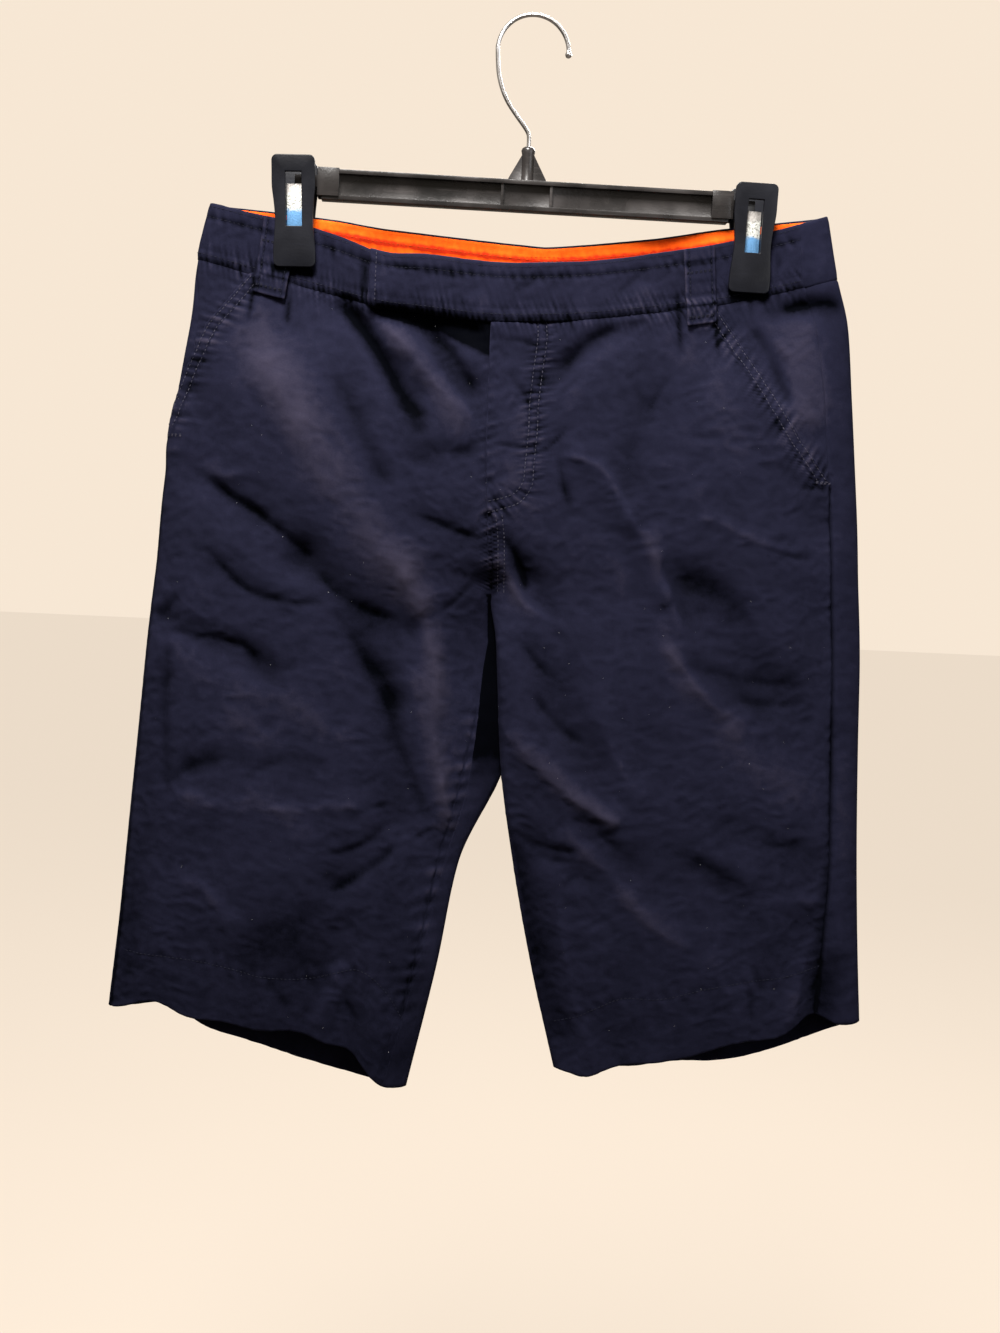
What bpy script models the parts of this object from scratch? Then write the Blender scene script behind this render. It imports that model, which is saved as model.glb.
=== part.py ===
"""Bermuda shorts hanging from a clip hanger.

The origin is the inside top of the hanger's hook. +Z is up, the fronts face -Y, and the wearer's
left is +X. Every cloth piece is a wall cut from one garment surface, which is lofted through level
sections of each side of the body and of each leg. Sizes are in millimetres and the meshes in metres.
"""

import math
from collections import namedtuple
from functools import lru_cache

import bmesh
import bpy
import numpy as np
from mathutils import Matrix

METRES = 0.001

# ---------------------------------------------------------------- driving sizes (mm)
TWILL = 1.2            # thickness of a single cloth wall
BAND_CLOTH = 1.3       # waistband, folded over its interfacing
FACING_CLOTH = 1.0     # waistband facing
TAB_CLOTH = 2.2        # waistband tab, two cloths thick
GAP = 0.3              # free space between pieces that lie on each other
SEAM = 0.2             # what each piece gives up at a seam
INSEAM = 0.35          # and at the sharper turn of an inseam
LAP = TWILL + GAP + 0.25   # how far a lapping front stands off the piece below it
TAB_END_X = -95.5      # free end of the tab
UNDERLAP_X = 10.0      # where the right band ends under the left one
TAB_RAMP = (12.0, 45.0)    # the left band comes down from the lap between these places
FLY_UNDERLAP = 10.0    # how far the right front runs on under the fly
FLY_END_Z = -312.0     # foot of the fly opening
LAP_FLAT = 14.0        # a lapping edge is level for this far
LAP_RAMP = 36.0        # and is back on the surface here
POCKET_UNDERLAP = 10.0 # how far the pocket facing runs on under the front
POCKET_INSET = 0.6     # and how far it lies inside the garment's surface
POCKET_FACING_FOOT = {"right": -222.0, "left": -270.0}
TAB_STAND = 0.5        # free space under the tab
LOOP_WIDTH = 20.0      # belt loop
LOOP_CLOTH = 1.2
LOOP_STAND = 0.8       # free space under a loop
LOOP_BELOW_BAND = 13.0 # how far a loop reaches below the band seam

CLIP_X = 145.6         # each clip's middle
CLIP_TOP_Z = -95.3
CLIP_HEIGHT = 67.6
CLIP_LEAN = math.radians(4.0)
CLIP_SPLAY = {"right": math.radians(2.2), "left": math.radians(0.6)}   # its top leans outwards
JAW_THICK = 3.0
WINDOW = (10.0, 31.5, 13.0)   # width, height and distance below the clip's top
SPRING_THICK = 0.8
SPRING_WIDTH = 8.4
SPRING_FOOT = 49.0
PINCH_HALF = 2.75      # half the stack of cloth held in a clip
PINCH_FLAT = 16.0      # the stack is flat this far from a clip's middle
PINCH_REACH = 60.0     # and is free again here
PINCH_FOOT_Z = -167.0  # below this the cloth opens again
PINCH_END_Z = -245.0

BAR_TOP_Z = -101.0
BAR_HEIGHT = 18.4
BAR_HALF_LENGTH = 131.4
BAR_DEPTH = 11.0
FLANGE = 2.6
WEB = 2.4
RIB_X = 15.5
SOCKET_LENGTH = 13.0
SOCKET_HEIGHT = 16.6
PEG = (15.0, 5.0, 7.0)        # length, depth and height of the peg that carries a clip
PEG_MIDDLE = 7.5              # how far below the bar's top it lies
SPRING_ROUND_Z = -23.9        # where the spring's round top begins, below a clip's top
BOSS_RADIUS = 4.5
BOSS_TOP_Z = -79.0
GUSSET_FOOT = 12.0
GUSSET_TOP_Z = -84.0
WIRE_RADIUS = 1.3
HOOK_RADIUS = 22.4            # middle of the wire
STEM_FOOT_Z = -90.0

# ---------------------------------------------------------------- the garment's sections
# One row for each level of one side. side_x, side_z: the fold at the side. front_x, front_z: the
# centre front, and below the crotch the inseam. back_x, back_z: the same behind. A turn is the angle
# round the section from the side fold to that edge: 90 is an open half body, 180 a closed leg. curve
# bows the level towards the centre front. deep: how far the faces stand off the middle. inner_y: how
# far the leg's inner fold lies behind. square: 1 is a round lens, less is a flatter one. seam_in: how
# far the side seam lies in front of the side fold, along the cloth.
Section = namedtuple("Section", (
    "side_x", "side_z", "front_x", "front_z", "front_turn", "curve", "back_x", "back_z",
    "back_turn", "front_deep", "back_deep", "inner_y", "square", "seam_in"))

RIGHT, LEFT = "right", "left"
OUTWARD = {RIGHT: -1.0, LEFT: 1.0}
WAIST, BAND_SEAM, CROTCH, HEM = 0.0, 1.0, 6.0, 12.0

SECTIONS = {
    RIGHT: (
        Section(-199, -126, -17.0, -155, 90, 1.5, 14.0, -139, 90, 12, 12, 0, 0.55, -2),
        Section(-206, -160, -19.0, -190, 90, 1.5, 14.0, -176, 90, 15, 15, 0, 0.60, 1),
        Section(-208, -190, -19.0, -222, 90, 1.4, 12.0, -210, 90, 18, 19, 0, 0.68, 8),
        Section(-214, -230, -19.0, -262, 92, 1.3, 6.0, -252, 92, 21, 23, 0, 0.72, 11),
        Section(-220, -270, -17.0, -300, 105, 1.2, 0.0, -292, 105, 22, 24, 0, 0.75, 0),
        Section(-225, -318, -14.0, -338, 132, 1.1, -7.0, -335, 132, 21, 23, 0, 0.75, -4),
        Section(-227, -350, -11.0, -364, 180, 1.0, -11.0, -364, 180, 20, 21, 0, 0.75, -4),
        Section(-230, -380, -13.5, -390, 159, 1.0, -13.5, -390, 201, 19, 20, 6, 0.75, -4),
        Section(-232, -402, -14.0, -420, 152, 1.0, -14.0, -420, 208, 19, 19, 9, 0.75, -4),
        Section(-236, -455, -18.0, -477, 145, 1.0, -18.0, -477, 215, 18, 18, 7, 0.75, -4),
        Section(-241, -520, -34.0, -545, 155, 1.0, -34.0, -545, 205, 17, 17, 3, 0.75, -4),
        Section(-246, -585, -48.0, -612, 151, 1.0, -48.0, -612, 209, 15, 15, 0, 0.75, -4),
        Section(-252, -648, -54.0, -699, 169, 1.0, -54.0, -699, 191, 13, 13, 0, 0.75, -4),
    ),
    LEFT: (
        Section(194, -112, -17.0, -155, 90, 1.7, 14.0, -139, 90, 12, 12, 0, 0.55, 21),
        Section(203, -150, -19.0, -190, 90, 1.7, 14.0, -176, 90, 15, 15, 0, 0.60, 26),
        Section(212, -180, -19.0, -222, 90, 1.5, 12.0, -210, 90, 18, 19, 0, 0.68, 26),
        Section(218, -226, -19.0, -262, 92, 1.3, 6.0, -252, 92, 21, 23, 0, 0.72, 25),
        Section(223, -268, -17.0, -300, 105, 1.2, 0.0, -292, 105, 22, 24, 0, 0.75, 25),
        Section(228, -312, -14.0, -338, 132, 1.1, -7.0, -335, 132, 21, 23, 0, 0.75, 26),
        Section(231, -345, -11.0, -364, 180, 1.0, -11.0, -364, 180, 20, 21, 0, 0.75, 26),
        Section(234, -374, -7.0, -390, 180, 1.0, -7.0, -390, 180, 19, 20, -6, 0.75, 26),
        Section(236, -398, -4.0, -420, 184, 1.0, -4.0, -420, 176, 19, 19, -9, 0.75, 26),
        Section(239, -455, 2.0, -478, 188, 1.0, 2.0, -478, 172, 18, 18, -7, 0.75, 25),
        Section(243, -520, 14.0, -545, 188, 1.0, 14.0, -545, 172, 17, 17, -3, 0.75, 25),
        Section(248, -582, 29.0, -612, 188, 1.0, 29.0, -612, 172, 15, 15, 0, 0.75, 29),
        Section(254, -642, 47.0, -681, 186, 1.0, 47.0, -681, 174, 13, 13, 0, 0.75, 35),
    ),
}
LEVEL_AT_CROTCH = ("front_x", "back_x", "front_turn", "back_turn", "inner_y")
BACK_CURVE = 1.15

# The slant pocket mouth: how far it lies in front of the side fold, along the cloth, at a height.
MouthPoint = namedtuple("MouthPoint", "z inward")
POCKET_MOUTH = {
    RIGHT: (MouthPoint(-150, 51), MouthPoint(-185, 27), MouthPoint(-201, 16),
            MouthPoint(-229, 9), MouthPoint(-259, 3), MouthPoint(-274, -1)),
    LEFT: (MouthPoint(-145, 92), MouthPoint(-198, 74), MouthPoint(-235, 54),
           MouthPoint(-257, 42), MouthPoint(-284, 24)),
}

# Soft troughs (height below 0) and ridges of the hung cloth, on one face of the garment.
Fold = namedtuple("Fold", "face x0 z0 x1 z1 half_width height")
FRONT, BACK = -1.0, 1.0
FOLDS = (
    Fold(FRONT, -116, -183, -66, -238, 10, -5.0),
    Fold(FRONT, -59, -197, -28, -236, 9, -4.5),
    Fold(FRONT, -88, -193, -30, -203, 10, -4.0),
    Fold(FRONT, -199, -295, -131, -345, 15, -4.0),
    Fold(FRONT, -131, -345, -63, -386, 15, -4.0),
    Fold(FRONT, -213, -395, -161, -417, 10, -2.5),
    Fold(FRONT, -61, -386, -42, -503, 17, 3.5),
    Fold(FRONT, -104, -557, -66, -516, 11, -3.0),
    Fold(FRONT, -160, -560, -150, -660, 26, 3.0),
    Fold(FRONT, -98, -600, -98, -690, 18, -4.5),
    Fold(FRONT, 22, -218, 68, -193, 9, -3.0),
    Fold(FRONT, 41, -272, 75, -311, 9, 2.5),
    Fold(FRONT, 75, -311, 101, -356, 9, 3.0),
    Fold(FRONT, 101, -356, 138, -425, 9, 2.5),
    Fold(FRONT, 63, -438, 89, -488, 10, 2.5),
    Fold(FRONT, 3, -443, 80, -511, 22, 3.5),
    Fold(FRONT, 20, -526, 57, -548, 8, -2.0),
    Fold(FRONT, 108, -344, 175, -418, 13, -3.5),
    Fold(FRONT, 158, -176, 192, -172, 10, -3.5),
    Fold(FRONT, 149, -180, 169, -224, 10, -3.5),
    Fold(FRONT, 134, -529, 166, -544, 12, 2.0),
    Fold(FRONT, 70, -690, 74, -600, 14, 2.5),
    Fold(FRONT, 214, -580, 222, -650, 15, -4.5),
    Fold(BACK, -142, -202, -80, -266, 11, -4.5),
    Fold(BACK, 146, -200, 90, -262, 11, -4.5),
    Fold(BACK, -40, -330, -130, -372, 15, -4.0),
    Fold(BACK, 22, -330, 120, -380, 15, -4.0),
    Fold(BACK, -70, -400, -62, -520, 18, 3.0),
    Fold(BACK, 66, -400, 84, -525, 18, 3.0),
    Fold(BACK, -200, -420, -150, -470, 14, -3.0),
    Fold(BACK, 205, -410, 150, -468, 14, -3.0),
    Fold(BACK, -150, -570, -160, -680, 24, 3.5),
    Fold(BACK, 180, -560, 188, -670, 24, 3.5),
)

# Where an edge of the garment rises (or drops) from its level.
Wave = namedtuple("Wave", "face x half_width rise")
HEM_WAVES = (
    Wave(FRONT, -219, 22, 12), Wave(FRONT, -160, 42, 12), Wave(FRONT, -96, 27, 21),
    Wave(FRONT, 66, 14, -9), Wave(FRONT, 150, 60, -6), Wave(FRONT, 222, 15, 11),
    Wave(BACK, -215, 20, 7), Wave(BACK, 178, 62, -18), Wave(BACK, 98, 26, -8),
)
WAIST_WAVES = (Wave(FRONT, -147, 34, 3.5), Wave(FRONT, -88, 20, -5.0))
HEM_WAVE_LEVELS = 2.2
WAIST_WAVE_LEVELS = 1.8

# ---------------------------------------------------------------- finishes
Finish = namedtuple("Finish", "color roughness metallic")
NAVY = Finish((0.015, 0.018, 0.040, 1.0), 0.9, 0.0)
ORANGE = Finish((1.0, 0.21, 0.01, 1.0), 0.85, 0.0)
BLACK_PLASTIC = Finish((0.02, 0.019, 0.02, 1.0), 0.45, 0.0)
STEEL = Finish((0.62, 0.62, 0.64, 1.0), 0.25, 1.0)


def clear_scene():
    """Empty the file of objects."""
    for item in list(bpy.data.objects):
        bpy.data.objects.remove(item, do_unlink=True)


def make_collection(name):
    """A new collection in the scene."""
    collection = bpy.data.collections.new(name)
    bpy.context.scene.collection.children.link(collection)
    return collection


def material(name, finish):
    """A Principled material of one finish, made once."""
    found = bpy.data.materials.get(name)
    if found:
        return found
    made = bpy.data.materials.new(name)
    made.use_nodes = True
    shader = made.node_tree.nodes["Principled BSDF"]
    shader.inputs["Base Color"].default_value = finish.color
    shader.inputs["Roughness"].default_value = finish.roughness
    shader.inputs["Metallic"].default_value = finish.metallic
    return made


# ---------------------------------------------------------------- the garment surface
def smoothstep(low, high, value):
    """0 below low, 1 above high, and a smooth change between them (low may exceed high)."""
    t = np.clip((value - low) / (high - low), 0.0, 1.0)
    return t * t * (3.0 - 2.0 * t)


@lru_cache(maxsize=None)
def section_slopes(side):
    """Slopes of every column at every level that never overshoot the rows between them."""
    rows = np.array(SECTIONS[side], dtype=float)
    step = np.diff(rows, axis=0)
    slopes = np.zeros_like(rows)
    slopes[0], slopes[-1] = step[0], step[-1]
    before, after = step[:-1], step[1:]
    same_way = before * after > 0
    total = np.where(same_way, before + after, 1.0)
    slopes[1:-1] = np.where(same_way, 2.0 * before * after / total, 0.0)
    for column in LEVEL_AT_CROTCH:
        slopes[int(CROTCH), Section._fields.index(column)] = 0.0
    return rows, slopes


def section_at(side, level):
    """The section's columns at any level between the rows."""
    rows, slopes = section_slopes(side)
    low = int(np.clip(math.floor(level), 0, len(rows) - 2))
    t = level - low
    start, end = rows[low], rows[low + 1]
    value = (start * (1 + 2 * t) * (1 - t) ** 2 + slopes[low] * t * (1 - t) ** 2
             + end * t * t * (3 - 2 * t) + slopes[low + 1] * t * t * (t - 1))
    return Section(*value)


def half_section(section, face):
    """Points from the side fold to the centre or inseam on one face, with how far each faces out."""
    if face == FRONT:
        edge_x, edge_z, turn, curve = section.front_x, section.front_z, section.front_turn, section.curve
    else:
        edge_x, edge_z, turn, curve = section.back_x, section.back_z, section.back_turn, BACK_CURVE
    angle = np.radians(np.linspace(0.0, turn, 361))
    width = 2.0 * (edge_x - section.side_x) / (1.0 - math.cos(angle[-1]))
    across = (1.0 - np.cos(angle)) / 2.0
    x = section.side_x + width * across
    facing = face * np.sign(np.sin(angle)) * np.abs(np.sin(angle)) ** section.square
    deep = np.where(facing < 0, section.front_deep, section.back_deep)
    y = deep * facing + section.inner_y * across ** 2
    to_edge = np.clip((x - section.side_x) / (edge_x - section.side_x), 0.0, 1.0)
    z = section.side_z + (edge_z - section.side_z) * (1.0 - (1.0 - to_edge) ** curve)
    return np.column_stack((x, y, z, facing))


@lru_cache(maxsize=None)
def section_row(side, level):
    """One level of one side: distance along the cloth from the side fold, and the points there.

    Distances in front of the fold are positive and behind it negative.
    """
    section = section_at(side, level)
    front = half_section(section, FRONT)
    back = half_section(section, BACK)[::-1]
    points = np.vstack((back[:-1], front))
    steps = np.hypot(np.diff(points[:, 0]), np.diff(points[:, 1]))
    along = np.concatenate(([0.0], np.cumsum(steps)))
    along -= along[len(back) - 1]
    return along, points, section


def fold_heights(x, z, facing):
    """How far the folds of the face move each point outwards."""
    total = np.zeros_like(x)
    for fold in FOLDS:
        dx, dz = fold.x1 - fold.x0, fold.z1 - fold.z0
        length = math.hypot(dx, dz)
        along = ((x - fold.x0) * dx + (z - fold.z0) * dz) / length
        aside = ((x - fold.x0) * dz - (z - fold.z0) * dx) / length
        past = np.maximum(np.maximum(-along, along - length), 0.0)
        shape = np.exp(-(aside ** 2 + past ** 2) / fold.half_width ** 2)
        total += fold.height * shape * (facing * fold.face > 0)
    return total


def edge_rise(waves, x, facing):
    """How far the waves of an edge lift each point."""
    total = np.zeros_like(x)
    for wave in waves:
        shape = np.exp(-((x - wave.x) / wave.half_width) ** 2)
        total += wave.rise * shape * np.clip(facing * wave.face, 0.0, 1.0)
    return total


def cloth(side, level, share):
    """Points of the garment's outer surface.

    share runs from -1 at the centre back (or inseam) over 0 at the side fold to 1 at the centre
    front (or inseam), in even parts of the cloth's length on each face.
    """
    along, points, section = section_row(side, round(level, 5))
    place = np.where(share > 0, share * along[-1], -share * along[0])
    x, y, z, facing = (np.interp(place, along, points[:, i]) for i in range(4))
    middle = section.inner_y * np.clip((x - section.side_x) / (section.front_x - section.side_x), 0, 1) ** 2
    off_middle = y - middle
    held = smoothstep(PINCH_END_Z, PINCH_FOOT_Z, z)
    held = held * smoothstep(PINCH_REACH, PINCH_FLAT, np.abs(np.abs(x) - CLIP_X))
    off_middle += held * (np.sign(facing) * PINCH_HALF - off_middle)
    room = smoothstep(PINCH_HALF, 9.0, np.abs(off_middle))
    off_middle += facing * fold_heights(x, z, facing) * room
    near_hem = np.clip(1.0 - (HEM - level) / HEM_WAVE_LEVELS, 0.0, 1.0) ** 2
    near_waist = np.clip(1.0 - level / WAIST_WAVE_LEVELS, 0.0, 1.0)
    z = z + near_hem * edge_rise(HEM_WAVES, x, facing) + near_waist * edge_rise(WAIST_WAVES, x, facing)
    x = x + OUTWARD[side] * SEAM
    return np.column_stack((x, middle + off_middle, z))


def cloth_with_normals(side, level, share):
    """Points of the outer surface and the directions straight out of it."""
    small = 0.004
    points = cloth(side, level, share)
    ahead, behind = np.clip(share + small, -1, 1), np.clip(share - small, -1, 1)
    across = cloth(side, level, ahead) - cloth(side, level, behind)
    above, below = max(level - 0.02, WAIST), min(level + 0.02, HEM)
    down = cloth(side, below, share) - cloth(side, above, share)
    normals = np.cross(across, down) * OUTWARD[side]
    normals /= np.linalg.norm(normals, axis=1)[:, None]
    return points, normals


# ---------------------------------------------------------------- seam lines on the surface
def to_share(side, level, distance):
    """A distance along the cloth, in front of the side fold, as a share."""
    along = section_row(side, round(level, 5))[0]
    return distance / along[-1] if distance > 0 else -distance / along[0]


def side_seam(side, level):
    """Where the side seam lies, as a share."""
    return to_share(side, level, section_at(side, level).seam_in)


def front_share_at(side, level, x):
    """The share at which the front face of a level reaches a place across the garment."""
    along, points, _ = section_row(side, round(level, 5))
    front = along >= 0
    place = np.interp(OUTWARD[side] * -x, OUTWARD[side] * -points[front, 0], along[front])
    return place / along[-1]


def back_share_at(side, level, x):
    """The share at which the back face of a level reaches a place across the garment."""
    along, points, _ = section_row(side, round(level, 5))
    back = along <= 0
    place = np.interp(OUTWARD[side] * x, OUTWARD[side] * points[back, 0], along[back])
    return -place / along[0]


def pocket_mouth(side, level):
    """Where the pocket mouth crosses a level: its share, or None below the mouth's foot."""
    line = POCKET_MOUTH[side]
    along, points, _ = section_row(side, round(level, 5))
    heights = [point.z for point in reversed(line)]
    inward = [point.inward for point in reversed(line)]
    ahead = along - np.interp(points[:, 2], heights, inward)
    crossing = int(np.argmax(ahead > 0))
    if points[crossing, 2] < line[-1].z:
        return None
    return to_share(side, level, along[crossing])


def front_edge(side, level):
    """Outer edge of a front: the pocket mouth, and below it the side seam."""
    mouth = pocket_mouth(side, level)
    return side_seam(side, level) if mouth is None else mouth


# ---------------------------------------------------------------- cloth walls
def pull_in(grid_out, grid_in, axis, first, last):
    """Move the outermost points of both faces along the wall, to free a seam."""
    outer, inner = np.moveaxis(grid_out, axis, 0), np.moveaxis(grid_in, axis, 0)
    for edge, neighbour, amount in ((0, 1, first), (-1, -2, last)):
        if amount:
            step = outer[neighbour] - outer[edge]
            step *= amount / np.linalg.norm(step, axis=1)[:, None]
            outer[edge] += step
            inner[edge] += step


def build_wall(name, outer, inner, finish_name, finish, collection):
    """A closed wall between an outer and an inner face with the same rows and columns of points."""
    rows, columns = outer.shape[:2]
    mesh = bmesh.new()
    faces = []
    for grid in (outer, inner):
        faces.append([[mesh.verts.new(grid[i, j] * METRES) for j in range(columns)] for i in range(rows)])
    top, under = faces
    for i in range(rows - 1):
        for j in range(columns - 1):
            mesh.faces.new((top[i][j], top[i + 1][j], top[i + 1][j + 1], top[i][j + 1]))
            mesh.faces.new((under[i][j], under[i][j + 1], under[i + 1][j + 1], under[i + 1][j]))
    rim = [(i, 0) for i in range(rows)] + [(rows - 1, j) for j in range(1, columns)]
    rim += [(i, columns - 1) for i in range(rows - 2, -1, -1)] + [(0, j) for j in range(columns - 2, 0, -1)]
    for (i, j), (k, m) in zip(rim, rim[1:] + rim[:1]):
        mesh.faces.new((top[i][j], under[i][j], under[k][m], top[k][m]))
    face_outwards(mesh)
    data = bpy.data.meshes.new(name)
    mesh.to_mesh(data)
    mesh.free()
    data.shade_smooth()
    data.set_sharp_from_angle(angle=math.radians(50))
    piece = bpy.data.objects.new(name, data)
    piece.data.materials.append(material(finish_name, finish))
    collection.objects.link(piece)
    return piece


def cloth_piece(name, collection, levels, columns_at, lift, thickness, seams,
                finish_name="navy twill", finish=NAVY):
    """A piece of cloth cut from the garment surface.

    columns_at(level) gives the (side, share) of each column; lift(points, level) gives how far the
    outer face stands off the surface, and thickness(points) the wall. seams are what the first and
    last column and the first and last row give up.
    """
    outer, inner = [], []
    for level in levels:
        points, normals = [], []
        for side, shares in columns_at(level):
            side_points, side_normals = cloth_with_normals(side, level, np.array(shares))
            points.append(side_points)
            normals.append(side_normals)
        points, normals = np.vstack(points), np.vstack(normals)
        stand = lift(points, level)[:, None]
        wall = thickness(points)[:, None]
        outer.append(points + normals * stand)
        inner.append(points + normals * (stand - wall))
    outer, inner = np.array(outer), np.array(inner)
    pull_in(outer, inner, 1, seams[0], seams[1])
    pull_in(outer, inner, 0, seams[2], seams[3])
    return build_wall(name, outer, inner, finish_name, finish, collection)


def even(value):
    """A size that is the same at every point."""
    return lambda points, *_: np.full(len(points), float(value))


def between(start, end, count):
    """Evenly spaced shares."""
    return np.linspace(start, end, count)


def through(stops, steps):
    """Shares through all the stops, in a number of steps from each to the next, finer near them."""
    shares = []
    for start, end, count in zip(stops, stops[1:], steps):
        t = np.arange(count) / count
        shares.append(start + (end - start) * (t - 0.3 * np.sin(2.0 * np.pi * t) / (2.0 * np.pi)))
    return np.concatenate(shares + [stops[-1:]])


def face_outwards(mesh):
    """Point the faces of a closed mesh outwards."""
    bmesh.ops.recalc_face_normals(mesh, faces=mesh.faces)
    if mesh.calc_volume(signed=True) < 0:
        bmesh.ops.reverse_faces(mesh, faces=mesh.faces)


# ---------------------------------------------------------------- fronts and backs
PANEL_ROWS = 30
PANEL_STEPS = (2, 15, 3)      # columns from the seam past the side fold, on to the inner fold, and beyond
FOLD_MARGIN = 0.03            # least part of a face on each side of a fold's column


def inner_fold(side, level, face):
    """The share of the leg's inner fold on a face, or just short of the face's edge."""
    along, points, _ = section_row(side, round(level, 5))
    innermost = int(np.argmax(-OUTWARD[side] * points[:, 0]))
    reach = -face * to_share(side, level, along[innermost])
    if reach <= 0.0:
        reach = 1.0
    return -face * min(reach, 1.0 - FOLD_MARGIN)


def fly_lift(x, z, edge_x):
    """How far the left front stands off the right one near the fly's edge."""
    near = smoothstep(LAP_RAMP, LAP_FLAT, np.abs(x - edge_x))
    return LAP * near * smoothstep(FLY_END_Z - 34.0, FLY_END_Z - 12.0, z)


def mouth_lift(side, level, points):
    """How far a front stands off the pocket facing near the mouth."""
    edge = pocket_mouth(side, level)
    if edge is None:
        edge = side_seam(side, level)
    edge_point = cloth(side, level, np.array([edge]))[0]
    inside = np.linalg.norm((points - edge_point)[:, :2], axis=1)
    foot = POCKET_MOUTH[side][-1].z
    return LAP * smoothstep(LAP_RAMP, LAP_FLAT, inside) * smoothstep(foot - 24.0, foot - 2.0, edge_point[2])


def front_panel(side, collection):
    """A front, from the fly and inseam to the pocket mouth and side seam."""
    def columns_at(level):
        edge = front_edge(side, level)
        stops = [edge, max(0.0, edge + FOLD_MARGIN / 2), inner_fold(side, level, FRONT), 1.0]
        columns = [(side, through(stops, PANEL_STEPS))]
        if side == RIGHT:
            centre = section_at(side, level)
            under = FLY_UNDERLAP * float(smoothstep(FLY_END_Z, FLY_END_Z + 20.0, centre.front_z))
            if under > 0.5:
                far = front_share_at(LEFT, level, centre.front_x + under)
                columns = [(side, columns[0][1][:-2]), (side, [1.0]), (LEFT, [far])]
        return columns

    def lift(points, level):
        stand = mouth_lift(side, level, points)
        if side == LEFT:
            stand += fly_lift(points[:, 0], points[:, 2], section_at(side, level).front_x)
        return stand

    levels = np.linspace(BAND_SEAM, HEM, PANEL_ROWS)
    return cloth_piece(f"front_{side}", collection, levels, columns_at, lift, even(TWILL),
                       (SEAM, INSEAM, SEAM, 0.0))


def back_panel(side, collection):
    """A back, from the side seam round the side fold to the centre back and inseam."""
    def columns_at(level):
        seam = side_seam(side, level)
        stops = [seam, min(0.0, seam - FOLD_MARGIN / 2), inner_fold(side, level, BACK), -1.0]
        return [(side, through(stops, PANEL_STEPS))]

    levels = np.linspace(BAND_SEAM, HEM, PANEL_ROWS)
    return cloth_piece(f"back_{side}", collection, levels, columns_at, even(0.0), even(TWILL),
                       (SEAM, INSEAM, SEAM, 0.0))


def pocket_facing(side, collection):
    """The cloth inside the pocket mouth, from the side seam to just under the front."""
    levels = [level for level in np.linspace(BAND_SEAM, CROTCH, 26)
              if section_at(side, level).side_z > POCKET_FACING_FOOT[side]]

    def columns_at(level):
        mouth = pocket_mouth(side, level)
        length = section_row(side, round(level, 5))[0][-1]
        return [(side, between(side_seam(side, level), mouth + POCKET_UNDERLAP / length, 7))]

    return cloth_piece(f"pocket_facing_{side}", collection, levels, columns_at, even(-POCKET_INSET),
                       even(TWILL), (SEAM, 0.0, SEAM, 0.0))


# ---------------------------------------------------------------- waistband
BAND_LEVELS = (WAIST, 0.12, 0.5, 0.86, BAND_SEAM)
FACING_LEVELS = (0.03, 0.12, 0.5, 0.86, 0.96)


def band_lift(points, *_):
    """How far the left band stands off the surface: over the right one, then down on its own."""
    lapped = smoothstep(TAB_RAMP[1], TAB_RAMP[0], points[:, 0])
    loose_end = smoothstep(TAB_END_X + 45.0, TAB_END_X, points[:, 0])
    return (TAB_STAND + TAB_CLOTH) * lapped + 1.5 * loose_end


def band_thickness(points):
    """The tab is two cloths thick, and the band beyond it one."""
    lapped = smoothstep(TAB_RAMP[1], TAB_RAMP[0], points[:, 0])
    return BAND_CLOTH + (TAB_CLOTH - BAND_CLOTH) * lapped


def band_front_right(collection):
    """The right front band, from the side seam to its hidden end under the left band."""
    def columns_at(level):
        far = front_share_at(LEFT, level, UNDERLAP_X)
        return [(RIGHT, between(side_seam(RIGHT, level), 1.0, 18)), (LEFT, np.array([0.5 + far / 2, far]))]

    cloth_piece("waistband_front_right", collection, BAND_LEVELS, columns_at, even(0.0),
                even(BAND_CLOTH), (SEAM, 0.0, 0.0, SEAM))


def band_front_left(collection):
    """The left front band and its tab, in one piece."""
    def columns_at(level):
        end = front_share_at(RIGHT, level, TAB_END_X)
        return [(LEFT, between(side_seam(LEFT, level), 1.0, 20)), (RIGHT, between(1.0, end, 8)[1:])]

    cloth_piece("waistband_front_left", collection, BAND_LEVELS, columns_at, band_lift,
                band_thickness, (SEAM, 0.0, 0.0, SEAM))


def band_back(collection):
    """The back band, in one piece round both side folds."""
    def columns_at(level):
        return [(RIGHT, between(side_seam(RIGHT, level), -1.0, 18)),
                (LEFT, through([-1.0, 0.0, side_seam(LEFT, level)], (18, 3))[1:])]

    cloth_piece("waistband_back", collection, BAND_LEVELS, columns_at, even(0.0),
                even(BAND_CLOTH), (SEAM, SEAM, 0.0, SEAM))


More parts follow.
